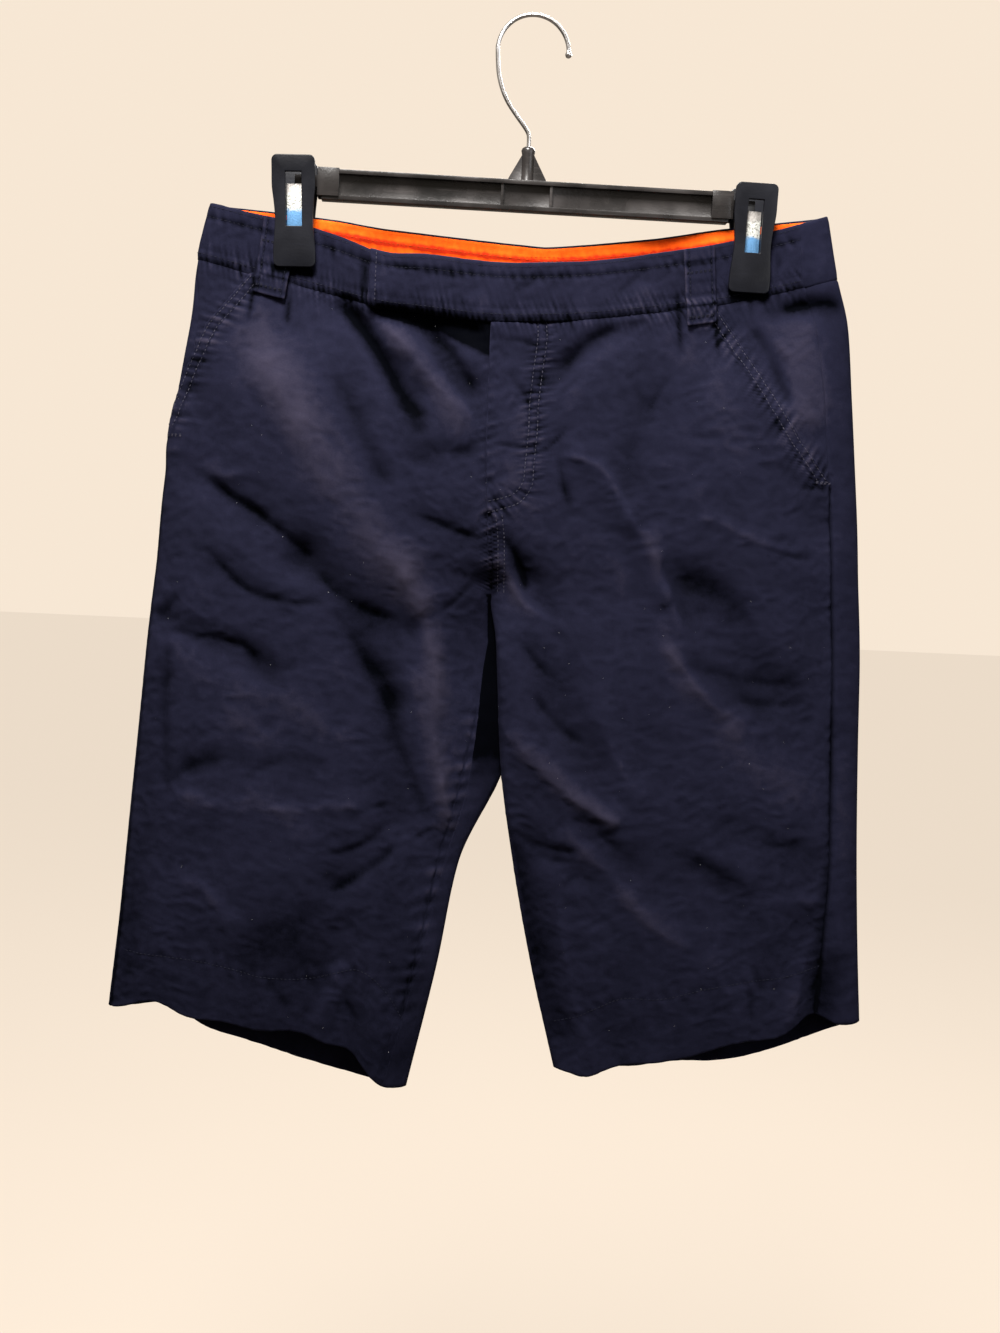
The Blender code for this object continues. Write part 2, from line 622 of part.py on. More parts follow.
def facings(collection):
    """The orange facings on the inside of the bands."""
    behind = -(BAND_CLOTH + GAP)

    def right_columns(level):
        far = front_share_at(LEFT, level, UNDERLAP_X)
        return [(RIGHT, between(side_seam(RIGHT, level), 1.0, 18)), (LEFT, np.array([0.5 + far / 2, far]))]

    def left_columns(level):
        near = front_share_at(LEFT, level, UNDERLAP_X + 3.0)
        return [(LEFT, between(side_seam(LEFT, level), near, 19))]

    def left_lift(points, *_):
        return band_lift(points) - band_thickness(points) - GAP

    def back_columns(level):
        return [(RIGHT, between(side_seam(RIGHT, level), -1.0, 18)),
                (LEFT, through([-1.0, 0.0, side_seam(LEFT, level)], (18, 3))[1:])]

    orange = ("orange facing", ORANGE)
    seams = (SEAM, SEAM, 0.0, 0.0)
    cloth_piece("facing_front_right", collection, FACING_LEVELS, right_columns, even(behind),
                even(FACING_CLOTH), seams, *orange)
    cloth_piece("facing_front_left", collection, FACING_LEVELS, left_columns, left_lift,
                even(FACING_CLOTH), seams, *orange)
    cloth_piece("facing_back", collection, FACING_LEVELS, back_columns, even(behind),
                even(FACING_CLOTH), seams, *orange)


# A belt loop lies on one face, with its middle at top_x on the band's top edge and foot_x below.
Loop = namedtuple("Loop", "name face top_x foot_x")
LOOPS = (
    Loop("belt_loop_front_right", FRONT, -149.0, -158.5),
    Loop("belt_loop_front_left", FRONT, 111.0, 115.0),
    Loop("belt_loop_back_right", BACK, -112.0, -112.0),
    Loop("belt_loop_back_left", BACK, 118.0, 118.0),
    Loop("belt_loop_back_centre", BACK, 25.0, 25.0),
)


def belt_loop(loop, collection):
    """A belt loop, made from the points of the band and panel under it, moved out."""
    side = LEFT if loop.top_x > 0 else RIGHT
    share_at = front_share_at if loop.face == FRONT else back_share_at
    band_height = 34.0
    foot = BAND_SEAM + LOOP_BELOW_BAND / band_height
    levels = np.linspace(0.01, foot, 9)

    def columns_at(level):
        middle = loop.top_x + (loop.foot_x - loop.top_x) * level / foot
        places = (middle - LOOP_WIDTH / 2, middle, middle + LOOP_WIDTH / 2)
        return [(side, np.array([share_at(side, level, x) for x in places]))]

    def lift(points, level):
        over_front = LAP * float(smoothstep(0.8, 1.0, level))
        return np.full(len(points), LOOP_STAND + LOOP_CLOTH + over_front)

    cloth_piece(loop.name, collection, levels, columns_at, lift, even(LOOP_CLOTH), (0.0, 0.0, 0.0, 0.0))


# ---------------------------------------------------------------- solid helpers
def finish_object(piece, finish_name, finish, collection):
    """Give a piece its material and put it in the collection alone."""
    piece.data.materials.clear()
    piece.data.materials.append(material(finish_name, finish))
    for owner in list(piece.users_collection):
        owner.objects.unlink(piece)
    collection.objects.link(piece)
    return piece


def box(name, low, high):
    """A box between two corners, in millimetres."""
    centre = [(a + b) / 2 * METRES for a, b in zip(low, high)]
    bpy.ops.mesh.primitive_cube_add(size=1.0, location=centre)
    piece = bpy.context.object
    piece.name = name
    piece.scale = [(b - a) * METRES for a, b in zip(low, high)]
    bpy.ops.object.transform_apply(location=True, rotation=False, scale=True)
    return piece


def prism(name, outline, y_low, y_high):
    """A flat outline in the XZ plane, given thickness along Y, as a mesh."""
    curve = bpy.data.curves.new(name, "CURVE")
    curve.dimensions = "2D"
    curve.fill_mode = "BOTH"
    curve.extrude = (y_high - y_low) / 2 * METRES
    line = curve.splines.new("POLY")
    line.points.add(len(outline) - 1)
    for point, (x, z) in zip(line.points, outline):
        point.co = (x * METRES, z * METRES, 0.0, 1.0)
    line.use_cyclic_u = True
    piece = bpy.data.objects.new(name, curve)
    bpy.context.scene.collection.objects.link(piece)
    piece.rotation_euler = (math.pi / 2, 0.0, 0.0)
    piece.location = (0.0, (y_low + y_high) / 2 * METRES, 0.0)
    return as_mesh(piece)


def as_mesh(piece):
    """Replace a curve, or an object with modifiers, by the mesh that it shows."""
    bpy.context.view_layer.update()
    seen = piece.evaluated_get(bpy.context.evaluated_depsgraph_get())
    data = bpy.data.meshes.new_from_object(seen)
    mesh = bmesh.new()
    mesh.from_mesh(data)
    mesh.transform(piece.matrix_world)
    bmesh.ops.remove_doubles(mesh, verts=mesh.verts, dist=1e-6)
    face_outwards(mesh)
    mesh.to_mesh(data)
    mesh.free()
    name = piece.name
    bpy.data.objects.remove(piece, do_unlink=True)
    made = bpy.data.objects.new(name, data)
    bpy.context.scene.collection.objects.link(made)
    return made


def combine(piece, others, operation):
    """Join other solids to a piece, or cut them from it."""
    for other in others:
        change = piece.modifiers.new(operation.lower(), "BOOLEAN")
        change.operation = operation
        change.solver = "EXACT"
        change.object = other
    made = as_mesh(piece)
    for other in others:
        bpy.data.objects.remove(other, do_unlink=True)
    return made


# ---------------------------------------------------------------- hanger
def hanger_bar(collection):
    """The crossbar: an I-section with ribs, end sockets with pegs, and the boss for the hook."""
    foot_z = BAR_TOP_Z - BAR_HEIGHT
    half, web = BAR_DEPTH / 2, WEB / 2
    end = BAR_HALF_LENGTH
    bar = box("hanger_bar", (-end, -web, foot_z + 0.5), (end, web, BAR_TOP_Z - 0.5))
    parts = [
        box("top_flange", (-end, -half, BAR_TOP_Z - FLANGE), (end, half, BAR_TOP_Z)),
        box("foot_flange", (-end + 2.0, -half + 0.7, foot_z), (end - 2.0, half - 0.7, foot_z + FLANGE)),
    ]
    rib = half - 0.9
    for x in (-RIB_X, RIB_X):
        parts.append(box("rib", (x - 0.8, -rib, foot_z + 1.0), (x + 0.8, rib, BAR_TOP_Z - 1.0)))
    socket, socket_foot_z = half + 0.5, BAR_TOP_Z - SOCKET_HEIGHT
    peg, peg_z = PEG[1] / 2, BAR_TOP_Z - PEG_MIDDLE
    for way in (-1, 1):
        near, far = sorted((way * (end - SOCKET_LENGTH), way * (end + 0.6)))
        parts.append(box("socket", (near, -socket, socket_foot_z), (far, socket, BAR_TOP_Z + 0.6)))
        near, far = sorted((way * (end - 4.0), way * (end + PEG[0])))
        parts.append(box("peg", (near, -peg, peg_z - PEG[2] / 2), (far, peg, peg_z + PEG[2] / 2)))
    half_gusset = [(GUSSET_FOOT, BAR_TOP_Z - 1.0), (GUSSET_FOOT, BAR_TOP_Z + 1.5),
                   (BOSS_RADIUS - 1.0, GUSSET_TOP_Z)]
    gusset = half_gusset + [(-x, z) for x, z in reversed(half_gusset)]
    parts.append(prism("gusset", gusset, -1.2, 1.2))
    parts.append(boss())
    bar = combine(bar, parts, "UNION")
    bpy.ops.mesh.primitive_cylinder_add(vertices=20, radius=(WIRE_RADIUS + GAP) * METRES, depth=12 * METRES,
                                        location=(0, 0, (BOSS_TOP_Z - 5.0) * METRES))
    bore = bpy.context.object
    bar = combine(bar, [bore], "DIFFERENCE")
    return finish_object(bar, "black plastic", BLACK_PLASTIC, collection)


def boss():
    """The domed post that takes the hook's stem, turned from its profile."""
    dome = [(BOSS_RADIUS * math.cos(a), BOSS_TOP_Z - 3.0 + 3.0 * math.sin(a))
            for a in np.radians((90, 60, 30, 0))]
    dome[0] = (0.0, dome[0][1])
    foot = BAR_TOP_Z - 1.0
    profile = dome + [(BOSS_RADIUS - 0.5, BOSS_TOP_Z - 5.0), (BOSS_RADIUS - 0.5, foot), (0.0, foot)]
    places = [(x * METRES, 0.0, z * METRES) for x, z in profile]
    data = bpy.data.meshes.new("boss")
    data.from_pydata(places, [(i, i + 1) for i in range(len(places) - 1)], [])
    piece = bpy.data.objects.new("boss", data)
    bpy.context.scene.collection.objects.link(piece)
    screw = piece.modifiers.new("turn", "SCREW")
    screw.steps = screw.render_steps = 20
    screw.use_merge_vertices = True
    screw.merge_threshold = 0.0001
    return as_mesh(piece)


def hook_route():
    """The middle line of the hook's wire, from its foot in the boss to its tip."""
    centre_z = WIRE_RADIUS - HOOK_RADIUS
    turn = np.radians(np.linspace(180.0, -2.0, 22))
    arc = [(HOOK_RADIUS * math.cos(a), centre_z + HOOK_RADIUS * math.sin(a)) for a in turn]
    neck = [(0.0, STEM_FOOT_Z), (0.0, -74.0), (-0.6, -71.2), (-3.0, -67.4), (-9.0, -60.0), (-14.6, -52.4),
            (-18.6, -44.2), (-21.2, -34.6)]
    return neck[:-1] + smooth_line([neck[-2], neck[-1], arc[0], arc[1]], 3) + arc[1:]


def smooth_line(points, count):
    """Points between the second and third of four, on a smooth curve through them all."""
    a, b, c, d = (np.array(point) for point in points)
    line = []
    for t in np.linspace(0.0, 1.0, count + 1):
        bend = (2 * a - 5 * b + 4 * c - d) * t * t + (3 * b - a - 3 * c + d) * t ** 3
        line.append(tuple(0.5 * (2 * b + (c - a) * t + bend)))
    return line


def hanger_hook(collection):
    """The bent wire hook with a rounded tip."""
    route = hook_route()
    curve = bpy.data.curves.new("hanger_hook", "CURVE")
    curve.dimensions = "3D"
    curve.bevel_depth = WIRE_RADIUS * METRES
    curve.bevel_resolution = 2
    curve.use_fill_caps = True
    line = curve.splines.new("POLY")
    line.points.add(len(route) - 1)
    for point, (x, z) in zip(line.points, route):
        point.co = (x * METRES, 0.0, z * METRES, 1.0)
    piece = bpy.data.objects.new("hanger_hook", curve)
    bpy.context.scene.collection.objects.link(piece)
    wire = as_mesh(piece)
    bpy.ops.mesh.primitive_uv_sphere_add(segments=12, ring_count=8, radius=2.1 * METRES,
                                         location=(route[-1][0] * METRES, 0.0, route[-1][1] * METRES))
    tip = bpy.context.object
    wire = combine(wire, [tip], "UNION")
    return finish_object(wire, "bright steel", STEEL, collection)


def clip_outline():
    """Half outline of a clip plate below its top edge, mirrored: rounded ends and a narrow waist."""
    corner = 3.5
    half = [(13.5 - corner + corner * math.sin(a), -corner + corner * math.cos(a))
            for a in np.radians((0, 30, 60, 90))]
    half += [(13.5, -19.0), (12.6, -27.0), (11.9, -35.0), (11.9, -42.0), (12.6, -50.0), (13.2, -57.0)]
    half += [(13.2 - corner + corner * math.cos(a), -CLIP_HEIGHT + corner - corner * math.sin(a))
             for a in np.radians((0, 30, 60, 90))]
    return half + [(-x, z) for x, z in reversed(half)]


def splay(mesh, side):
    """Turn a part of a clip about the clip's middle, so that its top leans outwards."""
    middle = (OUTWARD[side] * CLIP_X * METRES, 0.0, (CLIP_TOP_Z - CLIP_HEIGHT / 2) * METRES)
    turn = Matrix.Rotation(OUTWARD[side] * CLIP_SPLAY[side], 3, "Y")
    bmesh.ops.rotate(mesh, cent=middle, matrix=turn, verts=mesh.verts)


def clip_plate(name, side, face, jaw_y, collection):
    """One jaw plate of a clip, leaning away from the cloth towards its top."""
    plate = prism(name, clip_outline(), 0.0, JAW_THICK)
    width, height, below = WINDOW
    if face == FRONT:
        cutter = box("window", (-width / 2, -2.0, -below - height), (width / 2, JAW_THICK + 2.0, -below))
        plate = combine(plate, [cutter], "DIFFERENCE")
    bevel = plate.modifiers.new("soft edges", "BEVEL")
    bevel.width = 0.5 * METRES
    bevel.segments = 1
    bevel.angle_limit = math.radians(50)
    plate = as_mesh(plate)
    mesh = bmesh.new()
    mesh.from_mesh(plate.data)
    for vert in mesh.verts:
        across = vert.co.y / METRES
        up = vert.co.z / METRES + CLIP_HEIGHT
        lean_out = up * math.tan(CLIP_LEAN)
        vert.co.y = face * (jaw_y + across + lean_out) * METRES
        vert.co.z += CLIP_TOP_Z * METRES
        vert.co.x += OUTWARD[side] * CLIP_X * METRES
    splay(mesh, side)
    face_outwards(mesh)
    mesh.to_mesh(plate.data)
    mesh.free()
    return finish_object(plate, "black plastic", BLACK_PLASTIC, collection)


def clip_spring(name, side, front_y, rear_y, collection):
    """The hairpin leaf spring between the plates: a leg behind each, joined by a round top."""
    top_z, foot_z = CLIP_TOP_Z + SPRING_ROUND_Z, CLIP_TOP_Z - SPRING_FOOT
    half = (front_y + rear_y) / 2
    middle = (rear_y - front_y) / 2
    turn = np.radians(np.linspace(0, 180, 9))
    outer = [(middle + half * math.cos(a), top_z + half * math.sin(a)) for a in turn]
    thin = half - SPRING_THICK
    inner = [(middle + thin * math.cos(a), top_z + thin * math.sin(a)) for a in reversed(turn)]
    outline = [(middle + half, foot_z)] + outer + [(middle - half, foot_z), (middle - thin, foot_z)]
    outline += inner + [(middle + thin, foot_z)]
    piece = prism(name, outline, -SPRING_WIDTH / 2, SPRING_WIDTH / 2)
    mesh = bmesh.new()
    mesh.from_mesh(piece.data)
    for vert in mesh.verts:
        vert.co.x, vert.co.y = vert.co.y + OUTWARD[side] * CLIP_X * METRES, vert.co.x
    splay(mesh, side)
    face_outwards(mesh)
    mesh.to_mesh(piece.data)
    mesh.free()
    return finish_object(piece, "bright steel", STEEL, collection)


def clips(collection):
    """Both clips: the right one also holds a belt loop under its front jaw."""
    reach = (CLIP_HEIGHT - SPRING_FOOT) * math.tan(CLIP_LEAN)
    for side, under_jaw in ((RIGHT, LOOP_STAND + LOOP_CLOTH), (LEFT, 0.0)):
        front_y = PINCH_HALF + GAP + under_jaw
        rear_y = PINCH_HALF + GAP
        clip_plate(f"clip_front_jaw_{side}", side, FRONT, front_y, collection)
        clip_plate(f"clip_rear_jaw_{side}", side, BACK, rear_y, collection)
        clip_spring(f"clip_spring_{side}", side, front_y + reach - GAP, rear_y + reach - GAP, collection)


def build():
    """The whole garment and its hanger."""
    clear_scene()
    collection = make_collection("bermuda_shorts_on_hanger")
    for side in (RIGHT, LEFT):
        front_panel(side, collection)
        back_panel(side, collection)
        pocket_facing(side, collection)
    band_front_right(collection)
    band_front_left(collection)
    band_back(collection)
    facings(collection)
    for loop in LOOPS:
        belt_loop(loop, collection)
    hanger_bar(collection)
    hanger_hook(collection)
    clips(collection)


build()
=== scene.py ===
"""Bermuda shorts on a clip hanger, dressed: creased twill, seams and stitches, and the hanger.

The origin is the inside top of the hanger's hook, +Z is up, the fronts face -Y and the wearer's
left is +X. Cloth is worked out in millimetres on the same level sections as its solids, and made
in metres.
"""

import logging
import math
from dataclasses import dataclass, field
from enum import Enum
from typing import Callable, Iterator, NamedTuple, Sequence

import bmesh
import bpy
import numpy as np
from mathutils import Matrix, Vector
from mathutils.bvhtree import BVHTree


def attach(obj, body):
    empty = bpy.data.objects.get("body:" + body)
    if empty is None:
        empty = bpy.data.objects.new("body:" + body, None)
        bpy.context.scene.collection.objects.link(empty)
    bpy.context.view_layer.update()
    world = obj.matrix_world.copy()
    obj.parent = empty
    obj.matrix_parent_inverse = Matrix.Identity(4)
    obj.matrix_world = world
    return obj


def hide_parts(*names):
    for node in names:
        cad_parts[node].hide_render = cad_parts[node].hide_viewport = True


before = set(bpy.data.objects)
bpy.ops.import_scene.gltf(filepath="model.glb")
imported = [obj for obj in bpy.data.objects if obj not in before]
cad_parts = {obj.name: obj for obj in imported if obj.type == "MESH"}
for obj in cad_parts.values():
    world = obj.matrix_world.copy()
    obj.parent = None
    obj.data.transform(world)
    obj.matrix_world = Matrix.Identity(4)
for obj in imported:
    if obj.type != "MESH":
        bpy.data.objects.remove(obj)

METRES = 0.001
BODY = "root"
LOG = logging.getLogger("shorts")

Array = np.ndarray
Path = tuple[tuple[float, float], ...]
Part = tuple[Array, Array, Array]
Object = bpy.types.Object
Material = bpy.types.Material
Socket = bpy.types.NodeSocket
Tree = bpy.types.NodeTree
Bmesh = bmesh.types.BMesh


class Side(Enum):
    """The wearer's side, with the way it lies along X."""

    RIGHT = -1.0
    LEFT = 1.0

    @property
    def word(self) -> str:
        """The side as it stands in the names of pieces."""
        return self.name.lower()


class Face(Enum):
    """A face of the garment, with the way it looks along Y."""

    FRONT = -1.0
    BACK = 1.0


class Slot(Enum):
    """The material slots."""

    TWILL = "navy_twill"
    FACING = "orange_facing"
    PLASTIC = "black_plastic"
    STEEL = "bright_steel"


RIGHT, LEFT = Side.RIGHT, Side.LEFT
FRONT, BACK = Face.FRONT, Face.BACK
BOTH_SIDES = (RIGHT, LEFT)
WAIST, BAND_SEAM, CROTCH, HEM = 0.0, 1.0, 6.0, 12.0
BAND_ROWS = (0.055, 0.235, 0.90)


# ---------------------------------------------------------------- the garment's sections (mm)
class Section(NamedTuple):
    """One level of one side: its folds and edges, how far round they turn and how deep it is."""

    side_x: float
    side_z: float
    front_x: float
    front_z: float
    front_turn: float
    curve: float
    back_x: float
    back_z: float
    back_turn: float
    front_deep: float
    back_deep: float
    inner_y: float
    square: float
    seam_in: float


SECTIONS: dict[Side, tuple[Section, ...]] = {
    RIGHT: (
        Section(-199, -126, -17.0, -155, 90, 1.5, 14.0, -139, 90, 12, 12, 0, 0.55, -2),
        Section(-206, -160, -19.0, -190, 90, 1.5, 14.0, -176, 90, 15, 15, 0, 0.60, 1),
        Section(-208, -190, -19.0, -222, 90, 1.4, 12.0, -210, 90, 18, 19, 0, 0.68, 8),
        Section(-214, -230, -19.0, -262, 92, 1.3, 6.0, -252, 92, 21, 23, 0, 0.72, 11),
        Section(-220, -270, -17.0, -300, 105, 1.2, 0.0, -292, 105, 22, 24, 0, 0.75, 0),
        Section(-225, -318, -14.0, -338, 132, 1.1, -7.0, -335, 132, 21, 23, 0, 0.75, -4),
        Section(-227, -350, -11.0, -364, 180, 1.0, -11.0, -364, 180, 20, 21, 0, 0.75, -4),
        Section(-230, -380, -13.5, -390, 159, 1.0, -13.5, -390, 201, 19, 20, 6, 0.75, -4),
        Section(-232, -402, -14.0, -420, 152, 1.0, -14.0, -420, 208, 19, 19, 9, 0.75, -4),
        Section(-236, -455, -18.0, -477, 145, 1.0, -18.0, -477, 215, 18, 18, 7, 0.75, -4),
        Section(-241, -520, -34.0, -545, 155, 1.0, -34.0, -545, 205, 17, 17, 3, 0.75, -4),
        Section(-246, -585, -48.0, -612, 151, 1.0, -48.0, -612, 209, 15, 15, 0, 0.75, -4),
        Section(-252, -648, -68.0, -697.5, 147, 1.0, -68.0, -697.5, 213, 13, 13, 0, 0.75, -4),
    ),
    LEFT: (
        Section(194, -112, -17.0, -155, 90, 1.7, 14.0, -139, 90, 12, 12, 0, 0.55, 21),
        Section(203, -150, -19.0, -190, 90, 1.7, 14.0, -176, 90, 15, 15, 0, 0.60, 26),
        Section(212, -180, -19.0, -222, 90, 1.5, 12.0, -210, 90, 18, 19, 0, 0.68, 26),
        Section(218, -226, -19.0, -262, 92, 1.3, 6.0, -252, 92, 21, 23, 0, 0.72, 25),
        Section(223, -268, -17.0, -300, 105, 1.2, 0.0, -292, 105, 22, 24, 0, 0.75, 25),
        Section(228, -312, -14.0, -338, 132, 1.1, -7.0, -335, 132, 21, 23, 0, 0.75, 26),
        Section(231, -345, -11.0, -364, 180, 1.0, -11.0, -364, 180, 20, 21, 0, 0.75, 26),
        Section(234, -374, -7.0, -390, 180, 1.0, -7.0, -390, 180, 19, 20, -6, 0.75, 26),
        Section(236, -398, -4.0, -420, 184, 1.0, -4.0, -420, 176, 19, 19, -9, 0.75, 26),
        Section(239, -455, 2.0, -478, 188, 1.0, 2.0, -478, 172, 18, 18, -7, 0.75, 25),
        Section(243, -520, 14.0, -545, 188, 1.0, 14.0, -545, 172, 17, 17, -3, 0.75, 25),
        Section(248, -582, 29.0, -612, 188, 1.0, 29.0, -612, 172, 15, 15, 0, 0.75, 29),
        Section(254, -642, 47.0, -681, 186, 1.0, 47.0, -681, 174, 13, 13, 0, 0.75, 35),
    ),
}
LEVEL_AT_CROTCH = ("front_x", "back_x", "front_turn", "back_turn", "inner_y")
BACK_CURVE = 1.15
HALF_POINTS = 361


class MouthPoint(NamedTuple):
    """How far the pocket mouth lies in front of the side fold at a height."""

    z: float
    inward: float


POCKET_MOUTH: dict[Side, tuple[MouthPoint, ...]] = {
    RIGHT: (MouthPoint(-150, 51), MouthPoint(-185, 27), MouthPoint(-201, 16),
            MouthPoint(-229, 9), MouthPoint(-259, 3), MouthPoint(-274, -1)),
    LEFT: (MouthPoint(-145, 92), MouthPoint(-198, 74), MouthPoint(-235, 54),
           MouthPoint(-257, 42), MouthPoint(-284, 24)),
}


class Wave(NamedTuple):
    """Where an edge of the garment rises from its level."""

    face: Face
    x: float
    half_width: float
    rise: float


HEM_WAVES = (
    Wave(FRONT, -222, 22, 18), Wave(FRONT, -175, 28, 15), Wave(FRONT, -122, 32, 24),
    Wave(FRONT, -90, 13, 14), Wave(FRONT, 66, 14, -9), Wave(FRONT, 150, 60, -6),
    Wave(FRONT, 168, 32, 7), Wave(FRONT, 220, 15, 15),
    Wave(BACK, -217, 20, 13), Wave(BACK, 178, 62, -18), Wave(BACK, 98, 26, -8),
)
WAIST_WAVES = (Wave(FRONT, -147, 34, 3.5), Wave(FRONT, -88, 20, -5.0))
HEM_WAVE_LEVELS = 2.2
WAIST_WAVE_LEVELS = 1.8


class Fold(NamedTuple):
    """A straight soft trough (height below 0) or ridge of the hung cloth."""

    face: Face
    x0: float
    z0: float
    x1: float
    z1: float
    half_width: float
    height: float


FRONT_FOLDS = (
    (-116, -183, -66, -238, 10, -5.0),
    (-59, -197, -28, -236, 9, -4.5),
    (-88, -193, -30, -203, 10, -4.0),
    (-199, -295, -131, -345, 15, -4.0),
    (-131, -345, -63, -386, 15, -4.0),
    (-213, -395, -161, -417, 10, -2.5),
    (-61, -386, -42, -503, 17, 3.5),
    (-104, -557, -66, -516, 11, -3.0),
    (-160, -560, -150, -660, 26, 3.0),
    (-98, -600, -98, -690, 18, -4.5),
    (22, -218, 68, -193, 9, -3.0),
    (41, -272, 75, -311, 9, 2.5),
    (75, -311, 101, -356, 9, 3.0),
    (101, -356, 138, -425, 9, 2.5),
    (63, -438, 89, -488, 10, 2.5),
    (3, -443, 80, -511, 22, 3.5),
    (20, -526, 57, -548, 8, -2.0),
    (108, -344, 175, -418, 13, -3.5),
    (158, -176, 192, -172, 10, -3.5),
    (149, -180, 169, -224, 10, -3.5),
    (134, -529, 166, -544, 12, 2.0),
    (70, -690, 74, -600, 14, 2.5),
    (214, -580, 222, -650, 15, -4.5),
)
BACK_FOLDS = (
    (-142, -202, -80, -266, 11, -4.5),
    (146, -200, 90, -262, 11, -4.5),
    (-40, -330, -130, -372, 15, -4.0),
    (22, -330, 120, -380, 15, -4.0),
    (-70, -400, -62, -520, 18, 3.0),
    (66, -400, 84, -525, 18, 3.0),
    (-200, -420, -150, -470, 14, -3.0),
    (205, -410, 150, -468, 14, -3.0),
    (-150, -570, -160, -680, 24, 3.5),
    (180, -560, 188, -670, 24, 3.5),
)
FOLDS = tuple(Fold(face, *row) for face, rows in ((FRONT, FRONT_FOLDS), (BACK, BACK_FOLDS))
              for row in rows)


# ---------------------------------------------------------------- creases, seams and puckers (mm)
class Crease(NamedTuple):
    """A crease along a path of (x, z) places: below 0 in height a trough, above 0 a ridge.

    shade is how strongly light (above 0) or shade is painted into the cloth's colour along it.
    """

    face: Face
    half_width: float
    height: float
    shade: float
    path: Path
